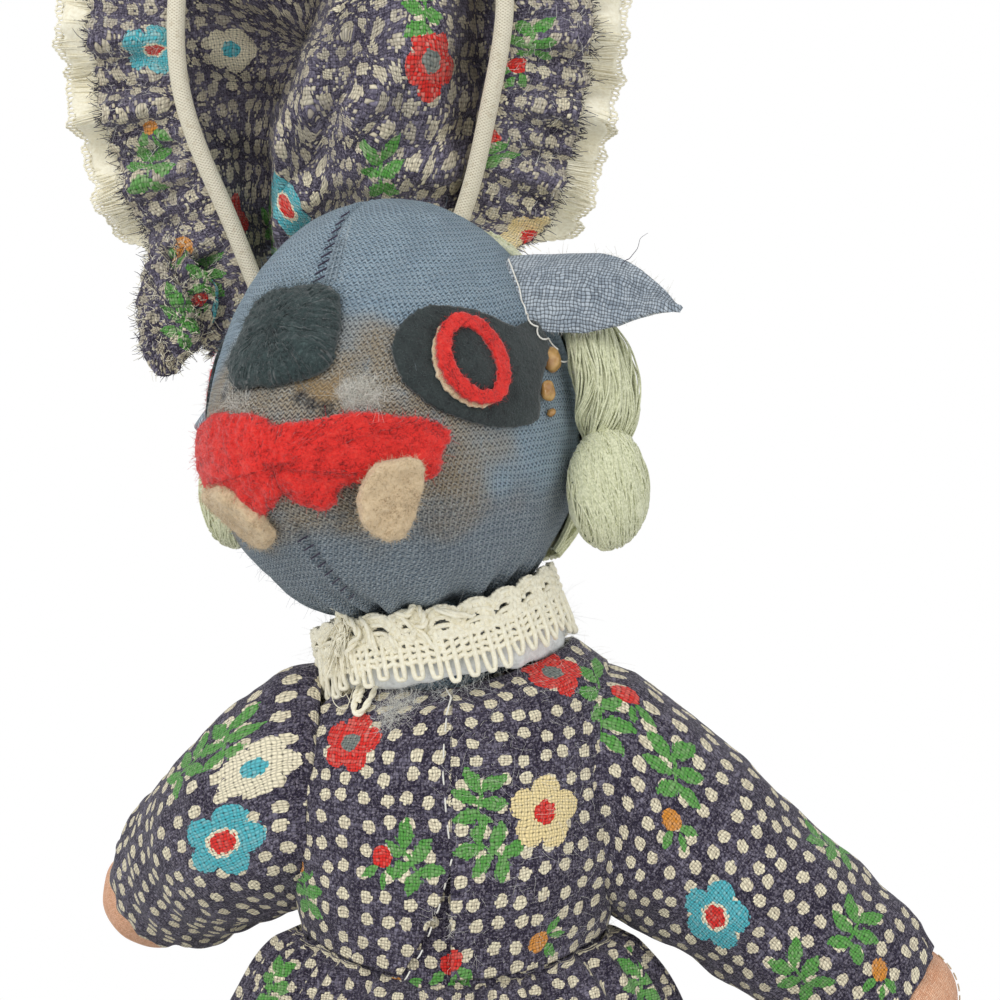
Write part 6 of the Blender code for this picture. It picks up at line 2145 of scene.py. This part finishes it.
def make_bun(side, word):
    """Floss wound round itself in a lobed knot."""
    rng = np.random.default_rng(60 + side)
    middle = bun_middle(side)
    reach = np.array(BUN_REACH) * MM

    def surface(u, v):
        turn, level = 2 * pi * u, pi * (v - 0.5)
        lobes = 1 + 0.05 * np.sin(5 * turn + 4 * level) + 0.04 * np.sin(9 * level + 2 * turn)
        return middle + ball_point(turn, level) * reach * lobes[..., None] * 0.97

    core = surface_grid(f"floss_bun_{word}", 90, 60, surface, closed=True)
    wrinkle(core, 0.5 * MM, 3 * MM, 2.0 + side)
    finish_piece(core, "floss", "head", [f"hair_bun_{word}"])
    lines = winding(middle, BUN_AXES, reach * 1.02, sizes().strand_count * 3, rng, 0.8)
    finish_piece(strands(f"bun_strands_{word}", lines, 0.42 * MM, taper=0.6, sides=1), "floss", "head")


def path_frames(path, steps):
    """Even points along a path, with two directions across it."""
    path = np.asarray(path, float)
    ends = lengths_along(path)
    share = np.linspace(0, 1, steps)
    line = np.stack([np.interp(share * ends[-1], ends, path[:, axis]) for axis in range(3)], axis=1)
    tangent = unit(np.gradient(line, axis=0))
    first = unit(np.cross(tangent, np.array((0.13, 0.97, 0.2))))
    return share, line, first, np.cross(tangent, first)


# Collar

# The crocheted band's place, and how many shells and hanging loops go round it
NET = COLLAR @ Matrix.Translation((0, 0, 0.9 * MM)) @ Matrix.Rotation(radians(-5), 4, "Y")
SHELL_COUNT = 23
LOOP_COUNT = 46
# The cords of the band's lower half: height in millimetres and waves round it; heights of each shell's arches
BAND_CORDS = ((2.8, 70), (3.9, 75), (5.0, 83), (6.1, 61))
SHELL_ARCHES = (7.0, 8.4, 9.7)

# Where the band's end is bunched: routes in the view of cords, after each one's thickness, of thread loops and of
# rust-brown ends
BUNCHED_CORDS = (
    (0.75, (332, 605), (349, 619), (363, 633), (347, 653), (365, 677)),
    (0.7, (340, 596), (352, 606), (357, 619), (369, 625), (377, 653)),
    (0.7, (373, 601), (395, 605), (411, 625), (423, 639), (440, 650)),
    (0.65, (399, 617), (415, 607), (427, 621), (414, 634)),
    (0.65, (379, 627), (393, 635), (399, 643), (386, 650)),
    (0.7, (338, 612), (345, 630), (338, 648), (352, 664)),
    (0.55, (369, 677), (359, 696), (355, 713), (362, 717), (370, 706), (379, 688)),
    (0.5, (372, 668), (366, 690), (360, 706)),
    (0.6, (430, 604), (444, 612), (460, 616), (474, 614)),
)
THREAD_LOOPS = (
    ((336, 671), (331, 687), (336, 708), (349, 712), (357, 687)),
    ((342, 672), (338, 690), (344, 702), (352, 694), (352, 676)),
    ((348, 640), (350, 668), (343, 700)), ((343, 650), (341, 680), (352, 706)),
)
RUST_CORDS = (((360, 606), (366, 601), (374, 602)), ((378, 602), (390, 597), (400, 601)),
              ((406, 599), (420, 594), (434, 594)))
# The tassel's threads: how many, and the ranges across and down the view in which they start and end
TASSEL_THREADS = 60
TASSEL_STARTS = ((341, 352), (612, 642))
TASSEL_ENDS = ((318, 350), (642, 684))

# Places in the view where stuffing shows above and below the collar
FLUFF_ABOVE = ((440, 598), (455, 594), (470, 592), (485, 590))
FLUFF_BELOW = ((392, 712), (388, 720), (400, 704), (412, 698), (440, 694), (470, 688))


def collar_skin(turn, height, offset=0.0):
    """Points of the collar's band: turn is an angle, 0 at +X, and height runs up from the dress."""
    flare = 0.9 * MM * (1 - height / COLLAR_HEIGHT)
    across, along = oblong(turn, COLLAR_HALF_WIDTH + flare + offset, COLLAR_HALF_DEPTH + flare + offset)
    sag = 0.8 * MM * np.cos(turn * 3 + 0.6)
    return placed(spread(across, along, height + sag), NET)


def make_crochet_band():
    """The close crochet of the collar's upper half, with an oval hole in each shell and a scalloped edge."""
    def surface(u, v):
        turn = 2 * pi * u
        top = 10.6 + 0.9 * np.abs(np.sin(SHELL_COUNT / 2 * turn))
        height = mix(6.0, top, v) * MM
        stitch = 0.16 * MM * np.sin(turn * 150) * np.sin(height / (0.34 * MM))
        return collar_skin(turn, height, 0.15 * MM + stitch)

    band = surface_grid("crochet_band", 920, 22, surface, inward=tuple(COLLAR.translation))
    with edited(band) as mesh:
        bmesh.ops.remove_doubles(mesh, verts=mesh.verts, dist=WELD)
        holes = [face for face in mesh.faces if in_shell_hole(face.calc_center_median())]
        bmesh.ops.delete(mesh, geom=holes, context="FACES")
    wrinkle(band, 0.3 * MM, 2.2 * MM, 4.0)
    band = thicken(band, 0.8 * MM, 0.0)
    wrinkle(band, 0.14 * MM, 0.7 * MM, 8.0)
    return finish_piece(band, "lace_thread", "torso")


def in_shell_hole(point):
    local = NET.inverted() @ point
    turn = np.arctan2(local.y, local.x) * SHELL_COUNT / (2 * pi)
    across = (turn % 1 - 0.5) / 0.27
    up = (local.z / MM - 0.8 * cos(3 * turn * 2 * pi / SHELL_COUNT + 0.6) - 8.2) / 0.85
    return across * across + up * up < 1


def twisted(line, reach, turns, count=2, phase=0.0):
    """Threads twisted round each other along a line."""
    share, line, first, second = path_frames(line, 60)
    made = []
    for index in range(count):
        turn = 2 * pi * (turns * share + index / count) + phase
        made.append(line + (first * np.cos(turn)[:, None] + second * np.sin(turn)[:, None]) * reach)
    return made


class RAGDOLL_OT_collar(bpy.types.Operator):
    """Collar: a crochet band of bars and loops over a roll of wadding"""

    bl_idname = "ragdoll.collar"
    bl_label = "Collar"

    def execute(self, context):
        wadding = surface_grid("wadding_roll", 160, 30, wadding_skin, closed=True)
        wrinkle(wadding, 0.8 * MM, 4 * MM, 1.0)
        finish_piece(wadding, "wadding", "torso", ["neck_wadding"])
        fibres = fuzz("wadding_fluff", wadding, 3200, 2.2 * MM, 0.05 * MM, 21, lean=1.0, curl=0.9)
        finish_piece(fibres, "wadding", "torso")
        band = make_crochet_band()
        net = strands("crochet_net", crochet_lines(), sizes().lace_thread, taper=1.0, sides=1)
        finish_piece(net, "lace_thread", "torso", ["lace_collar"])
        panels = [bpy.data.objects[f"bodice_front_{word}_cloth"] for word in SIDE_NAMES.values()]
        make_collar_knots([band, *panels])
        make_collar_fluff([wadding, *panels])
        return {"FINISHED"}


def wadding_skin(u, v):
    section, turn = 2 * pi * v, 2 * pi * u
    across, along = oblong(turn, COLLAR_HALF_WIDTH - 2.2 * MM, COLLAR_HALF_DEPTH - 2.2 * MM)
    middle = spread(across, along, 0 * across)
    outward = unit(middle)
    local = middle + outward * (1.9 * MM * np.cos(section))[..., None]
    local[..., 2] += 4.9 * MM * (1 + np.sin(section)) - 0.4 * MM
    return placed(local, COLLAR)


def crochet_lines():
    """Cords along the lower half of the band, and long loops that hang through them."""
    turn = np.linspace(0, 2 * pi, 721)
    lines = [collar_skin(turn, np.full_like(turn, height * MM) + np.sin(turn * waves) * 0.16 * MM, 0.3 * MM)
             for height, waves in BAND_CORDS]
    rng = np.random.default_rng(12)
    for index in range(LOOP_COUNT):
        middle = 2 * pi * (index + rng.uniform(-0.08, 0.08)) / LOOP_COUNT
        half = 2 * pi / LOOP_COUNT * 0.27
        path = np.linspace(0, 1, 17)
        bend = power(np.sin(pi * path), 0.5)
        swing = np.cos(pi * path)
        across = middle + half * np.sign(swing) * power(np.abs(swing), 0.45) + rng.normal(0, 0.03) * bend / LOOP_COUNT
        height = 6.3 - (6.6 + 0.7 * rng.normal()) * bend
        lines.append(collar_skin(across, height * MM, (0.45 + 0.25 * np.sin(path * 12)) * MM))
    for index in range(SHELL_COUNT):
        middle = 2 * pi * index / SHELL_COUNT
        path = np.linspace(0, 1, 15)
        for layer, rise in enumerate(SHELL_ARCHES):
            across = middle + 2 * pi / SHELL_COUNT * (0.5 + 0.42 * np.cos(pi * path) + 0.04 * layer)
            height = rise + 1.1 * np.sin(pi * path)
            lines.append(collar_skin(across, height * MM, (0.35 + 0.2 * np.sin(path * 15)) * MM))
    return lines


def make_collar_knots(things):
    """Twisted cords, loops, a tassel of fine threads and rust-brown ends where the collar's end is bunched."""
    lines = []
    for index, (thickness, *route) in enumerate(BUNCHED_CORDS):
        lines += twisted(laid_line(things, route, 1.0 * MM), 0.42 * thickness * MM, 3.5, 2, index)
    finish_piece(strands("collar_cords", lines, 0.72 * MM, taper=0.9, sides=2), "lace_thread", "torso")
    loops = [laid_line(things, route, 0.8 * MM) for route in THREAD_LOOPS]
    rng = np.random.default_rng(14)
    for _ in range(TASSEL_THREADS):
        start = [rng.uniform(*reach) for reach in TASSEL_STARTS]
        end = [rng.uniform(*reach) for reach in TASSEL_ENDS]
        middle = ((start[0] + end[0]) / 2 + rng.uniform(-4, 2), (start[1] + end[1]) / 2 + rng.uniform(-3, 3))
        loops.append(laid_line(things, (start, middle, end), rng.uniform(0.4, 1.8) * MM, 8))
    finish_piece(strands("collar_tassel", loops, 0.24 * MM, taper=0.6), "lace_thread", "torso")
    rust = []
    for index, route in enumerate(RUST_CORDS):
        rust += twisted(laid_line(things, route, 0.9 * MM, 12), 0.35 * MM, 2, 3, index)
    finish_piece(strands("rust_ends", rust, 0.85 * MM, taper=0.7, sides=2), "rust_thread", "torso")


def make_collar_fluff(things):
    """Stuffing that has worked out above and below the collar."""
    above = fluff("neck_fluff", things, FLUFF_ABOVE, 7, 900, 2.4 * MM, 0.06 * MM, 22)
    finish_piece(above, "wadding", "torso")
    below = fluff("front_fluff", things, FLUFF_BELOW, 5, 240, 1.4 * MM, 0.06 * MM, 23)
    finish_piece(below, "wadding", "torso")


# Bonnet

# Folds of the crown: place across and up, angle in degrees, half length, half width and rise; all in millimetres
CROWN_FOLDS = ((-10, 44, 66, 22, 4.6, 5.0), (-2, 36, 48, 18, 3.6, 4.4), (7, 52, 60, 20, 4.2, 4.8),
               (14, 38, 20, 14, 3.4, 3.6), (2, 24, 12, 16, 3.4, 3.8), (16, 60, 80, 16, 3.6, 4.2),
               (-3, 64, 100, 16, 4.4, 4.4), (20, 26, 50, 12, 3, 3))

# The ruffle's crumpled end: its place in the view, and its half sizes in millimetres
BUNCH_PLACE = (174, 308)
BUNCH_REACH = (6.4, 4.5, 9.0)

# The lace edging's threads, the loops of its edge and its half scallops
EDGING_THREADS = 1700
EDGING_LOOPS = 420
HALF_SCALLOPS = 42


def bonnet_place(local):
    return placed(local, BONNET)


def in_bonnet(across, out, up):
    """The world place of a point of the bonnet given in millimetres."""
    return BONNET @ Vector((across * MM, out * MM, up * MM))


def crown_skin(u, v):
    """The bag of the bonnet: gathered at its rim, its loose cloth slumped forward in deep folds on one side."""
    turn = 2 * pi * u
    outward = ring_outward(turn)
    rim = ring_point(turn) - outward * 0.8 * MM
    out = np.cos(v * pi / 2)
    gathers = np.cos(34 * turn + 2 * np.sin(3 * turn)) * 0.7 * MM * np.exp(-((v / 0.14) ** 2))
    folds = np.cos(7 * turn + 1.3 * np.sin(2 * turn) + 3 * v) * 1.5 * MM * np.sin(pi * np.minimum(v * 1.3, 1))
    centre = np.array((0, 0, RING_HEIGHT * 0.52))
    local = centre + (rim - centre) * out[..., None]
    local += outward * (folds * np.sqrt(out) + gathers)[..., None]
    across, height = local[..., 0] / MM, local[..., 2] / MM
    inside = smoothstep(v / 0.22)
    depth = CROWN_DEPTH / MM * power(np.sin(v * pi / 2), 0.8)
    edge = np.interp(height, (0, 25, 45, 63, 80, 100), (-12, -14, -13.5, -5, 2, 8))
    slump = smoothstep((across - edge) / 3.2) * smoothstep((26 - across) / 9) * smoothstep((height - 4) / 10)
    slump = slump * smoothstep((96 - height) / 30)
    ridges = fold_ridges(across, height)
    forward = mix(depth * 0.72 + 1.6 * np.sin(height * 0.5 + across * 0.25), 1.2 - ridges, slump)
    local[..., 1] = mix(depth, np.minimum(forward, depth + 1.5), inside) * MM
    return bonnet_place(local)


def fold_ridges(across, height):
    """How far the folds of the crown stand forward, in millimetres."""
    total = np.zeros_like(across)
    for middle, level, degrees, length, width, rise in CROWN_FOLDS:
        along = (across - middle) * cos(radians(degrees)) + (height - level) * sin(radians(degrees))
        beside = -(across - middle) * sin(radians(degrees)) + (height - level) * cos(radians(degrees))
        beside = beside + 1.4 * np.sin(along / 5)
        bumped = rise * np.exp(-((beside / width) ** 2)) * np.exp(-((along / length) ** 4))
        total = np.maximum(total, bumped) + 0.15 * np.minimum(total, bumped)
    return total


def ruffle_skin(start, end, back, waves=46, depth=1.5, ragged=0.0):
    def surface(u, v):
        turn = mix(RUFFLE_OPEN, 2 * pi - RUFFLE_OPEN, v)
        rough = ragged * (np.sin(turn * 61) * np.sin(turn * 23 + 1) + 0.5 * np.sin(turn * 140)) * u
        out = (mix(start - (0 if back else 2.6 * np.abs(np.sin(turn))), end, u) + rough) * MM
        share = np.maximum(out, 0) / (14 * MM)
        ring = ring_point(turn)
        upper = smoothstep((ring[..., 2] - 24 * MM) / (8 * MM))
        if back:
            out = mix(np.minimum(out, 9 * MM), out, upper)
        out = np.where(ring[..., 0] > 0, mix(out * 0.6, out, upper), out)
        local = ring + ring_outward(turn) * out[..., None]
        ripple = np.cos(26 * turn) * 2.6 * share + np.cos(waves * turn + 3 * np.sin(4 * turn)) * depth * np.sqrt(share)
        local[..., 1] = (4 * share + ripple + back) * MM
        return bonnet_place(local)

    return surface


class RAGDOLL_OT_bonnet(bpy.types.Operator):
    """Bonnet thrown back: gathered crown, frayed ruffle, lace edging and an elastic cord"""

    bl_idname = "ragdoll.bonnet"
    bl_label = "Bonnet"

    def execute(self, context):
        make_elastic()
        crown = surface_grid("crown_cloth", 400, 170, crown_skin, closed=True, lay=round_lengths,
                             inward=in_bonnet(0, -30, 52))
        wrinkle(crown, 0.9 * MM, 9 * MM, 6.0)
        wrinkle(crown, 0.45 * MM, 3.4 * MM, 2.0)
        crown = thicken(crown, COTTON_THICKNESS)
        print_flowers(crown, BONNET_FLOWERS, 51, out_of_view(crown))
        finish_piece(crown, "worn_cotton", "bonnet", ["bonnet_crown"])
        declare_sheet(crown)
        make_ruffle()
        return {"FINISHED"}


def make_elastic():
    turn = np.linspace(0, 2 * pi, 240, endpoint=False)
    forward = np.array((0, -1.8 * MM, 0))
    slack = np.sin(turn * 5 + 1)[:, None] * np.array((0, 0.5 * MM, 0))
    slack = slack - ring_outward(turn) * (2.2 * MM * np.abs(np.sin(turn)))[:, None]
    sway = ring_outward(turn) * (np.sin(turn * 7) * 0.5 * MM)[:, None]
    line = bonnet_place(ring_point(turn) + forward + slack + sway)
    outward = placed(ring_outward(turn), BONNET.to_3x3().to_4x4())
    front = np.array(BONNET.to_3x3() @ Vector((0, -1, 0)))

    def surface(u, v):
        section = 2 * pi * u
        row = np.rint(v * 240).astype(int) % 240
        reach = sizes().elastic_diameter / 2
        return (line[row] + outward[row] * (np.cos(section) * reach)[..., None]
                + front * (np.sin(section) * reach)[..., None])

    cord = surface_grid("elastic_cord", 16, 240, surface)
    with edited(cord) as mesh:
        bmesh.ops.remove_doubles(mesh, verts=mesh.verts, dist=WELD)
        bmesh.ops.recalc_face_normals(mesh, faces=mesh.faces)
    finish_piece(cord, "elastic", "bonnet", ["bonnet_elastic"])


def make_ruffle():
    skin = ruffle_skin(0.3, 13.4, 0, ragged=0.5)
    ruffle = surface_grid("ruffle_cloth", 24, 820, skin, inward=in_bonnet(0, -60, 52))
    wrinkle(ruffle, 0.9 * MM, 5 * MM, 3.0)
    wrinkle(ruffle, 0.35 * MM, 2 * MM, 9.0)
    ruffle = thicken(ruffle, 0.6 * MM)
    print_flowers(ruffle, BONNET_FLOWERS, 52, None)
    finish_piece(ruffle, "worn_cotton", "bonnet", ["bonnet_ruffle"])
    declare_sheet(ruffle)
    lines = edge_fray(skin, 1.0, 2400, 1.7 * MM, 61, 0.0, 1.0)
    finish_piece(strands("ruffle_fray", lines, 0.22 * MM), "navy_thread", "bonnet")
    pale = edge_fray(skin, 1.0, 2000, 1.8 * MM, 62, 0.0, 1.0)
    finish_piece(strands("ruffle_fray_pale", pale, 0.24 * MM), "lace_thread", "bonnet")
    make_ruffle_bunch()
    nap = fuzz("ruffle_nap", ruffle, 2600, 1.1 * MM, 0.09 * MM, 63, lean=1.6, curl=1.2)
    finish_piece(nap, "white_thread", "bonnet")
    make_edging()


def make_ruffle_bunch():
    """The crumpled, frayed end of the ruffle, beside the head."""
    start, direction = sight_line(*BUNCH_PLACE)
    middle = np.array(start + direction * (in_bonnet(-24, -2, 14) - start).length)

    def surface(u, v):
        turn, level = 2 * pi * u, pi * (v - 0.5)
        lobes = 1 + 0.2 * np.sin(3 * turn + 2 * level) + 0.14 * np.sin(5 * level + 4 * turn)
        return middle + ball_point(turn, level) * (np.array(BUNCH_REACH) * MM) * lobes[..., None]

    bunch = surface_grid("ruffle_bunch", 150, 110, surface, closed=True)
    wrinkle(bunch, 1.5 * MM, 4.2 * MM, 5.0)
    wrinkle(bunch, 0.5 * MM, 1.6 * MM, 2.0)
    print_flowers(bunch, BONNET_FLOWERS, 53, None)
    finish_piece(bunch, "worn_cotton", "bonnet")
    for name, material, seed in (("bunch_fray", "navy_thread", 65), ("bunch_fray_pale", "lace_thread", 66)):
        finish_piece(fuzz(name, bunch, 700, 1.5 * MM, 0.18 * MM, seed, lean=1.2, curl=0.5), material, "bonnet")


def scallop_at(along):
    """How far a scallop of the edging reaches, as a share of its width."""
    return 0.16 * abs(sin(along * pi * HALF_SCALLOPS)) ** 0.6


def make_edging():
    """Lace edging behind the ruffle: close fine threads that end in scallops."""
    skin = ruffle_skin(9.3, 18.6, 2.8, waves=30, depth=1.4, ragged=0.4)
    lace = surface_grid("edging_ground", 14, 700, skin, inward=in_bonnet(0, -60, 52))
    lace = thicken(lace, 0.35 * MM)
    finish_piece(lace, "lace_thread", "bonnet", ["bonnet_lace"])
    declare_sheet(lace)
    rng = np.random.default_rng(64)
    front = np.array(BONNET.to_3x3() @ Vector((0, -1, 0)))
    lines = []
    for index in range(EDGING_THREADS):
        along = (index + 0.5) / EDGING_THREADS
        scallop = scallop_at(along)
        path = np.linspace(0, 1, 7)
        across = mix(rng.uniform(0.0, 0.15), 0.92 + scallop + rng.normal(0, 0.02), path)
        lean = 0.0016 * np.sin(along * pi * HALF_SCALLOPS * 2) * path**2 + rng.normal(0, 0.0004) * path
        line = skin(across, np.clip(along + lean, 0, 1))
        layer = rng.uniform(-0.5, 0.9) * MM + 0.5 * MM * np.sin(path * 3 + index * 0.05)
        lines.append(line + front * layer[:, None])
    finish_piece(strands("edging_threads", lines, 0.3 * MM, taper=0.8), "lace_thread", "bonnet")
    loops = []
    turn = np.linspace(0, 2 * pi, 9)
    for index in range(EDGING_LOOPS):
        along = (index + 0.5) / EDGING_LOOPS
        across = 0.97 + scallop_at(along) + 0.07 * np.cos(turn)
        loops.append(skin(across, np.clip(along + 0.0011 * np.sin(turn), 0, 1)))
    finish_piece(strands("edging_loops", loops, 0.42 * MM, taper=1.0), "lace_thread", "bonnet")


# What is printed where the photo shows it: kind, place in the view, and turn in degrees

BODICE_FLOWERS = (
    (1, 350, 742, 0), (1, 553, 672, 20), (2, 545, 812, 10), (4, 253, 768, 0), (5, 305, 700, 0), (5, 480, 800, -10),
    (5, 600, 690, 0), (5, 410, 860, 40), (5, 305, 890, 0), (6, 382, 865, 0), (6, 452, 968, 0), (6, 280, 730, 60),
    (5, 490, 850, 60), (7, 300, 870, 0), (7, 545, 940, 90), (7, 395, 985, 20), (6, 420, 975, 90),
)
SLIT_FLOWERS = ((6, 450, 972, 0), (7, 402, 990, 60))
SKIRT_FLOWERS = ((5, 270, 985, 0), (5, 640, 980, 0))
SLEEVE_FLOWERS = {
    1: ((3, 715, 917, 0), (5, 675, 770, 0), (5, 855, 930, -30), (5, 830, 845, 30), (6, 628, 700, 0),
        (7, 675, 828, 30), (7, 880, 978, 0), (5, 800, 975, 40), (5, 600, 720, 0)),
    -1: ((3, 222, 843, 0), (4, 253, 768, 0), (5, 225, 740, 20), (5, 190, 765, -30)),
}
BONNET_FLOWERS = (
    (4, 232, 50, 0), (1, 432, 62, 0), (3, 285, 205, 0), (1, 235, 220, 0), (5, 425, 10, 0), (5, 270, 230, 30),
    (5, 490, 150, 30), (6, 490, 140, 0), (5, 380, 170, 0), (7, 182, 253, 0), (5, 205, 272, 0), (6, 199, 305, 0),
    (5, 183, 320, 0), (3, 155, 50, 0), (7, 150, 130, 0), (5, 150, 165, 0), (5, 530, 45, 0), (6, 515, 70, 0),
)

PIECES = (
    RAGDOLL_OT_stage, RAGDOLL_OT_body, RAGDOLL_OT_bodice, RAGDOLL_OT_skirt, RAGDOLL_OT_arms, RAGDOLL_OT_legs,
    RAGDOLL_OT_head, RAGDOLL_OT_nose, RAGDOLL_OT_mouth, RAGDOLL_OT_teeth, RAGDOLL_OT_eyes, RAGDOLL_OT_ears,
    RAGDOLL_OT_hair, RAGDOLL_OT_collar, RAGDOLL_OT_bonnet,
)


class RAGDOLL_PT_panel(bpy.types.Panel):
    """Sizes and colours of the rag doll, and a button for each of its pieces"""

    bl_label = "Rag Doll"
    bl_idname = "RAGDOLL_PT_panel"
    bl_space_type = "VIEW_3D"
    bl_region_type = "UI"
    bl_category = "Rag Doll"

    def draw(self, context):
        for group in (context.scene.rag_doll_sizes, context.scene.rag_doll_colours):
            box = self.layout.box()
            for key in group.bl_rna.properties.keys():
                if key not in ("rna_type", "name"):
                    box.prop(group, key)
        for piece in PIECES:
            self.layout.operator(piece.bl_idname)


CLASSES = (RagDollSizes, RagDollColours, *PIECES, RAGDOLL_PT_panel)


def register():
    for cls in CLASSES:
        bpy.utils.register_class(cls)
    bpy.types.Scene.rag_doll_sizes = PointerProperty(type=RagDollSizes)
    bpy.types.Scene.rag_doll_colours = PointerProperty(type=RagDollColours)


def unregister():
    del bpy.types.Scene.rag_doll_colours
    del bpy.types.Scene.rag_doll_sizes
    for cls in reversed(CLASSES):
        bpy.utils.unregister_class(cls)


def main():
    register()
    for piece in PIECES:
        group, name = piece.bl_idname.split(".")
        getattr(getattr(bpy.ops, group), name)()


if __name__ == "__main__":
    main()
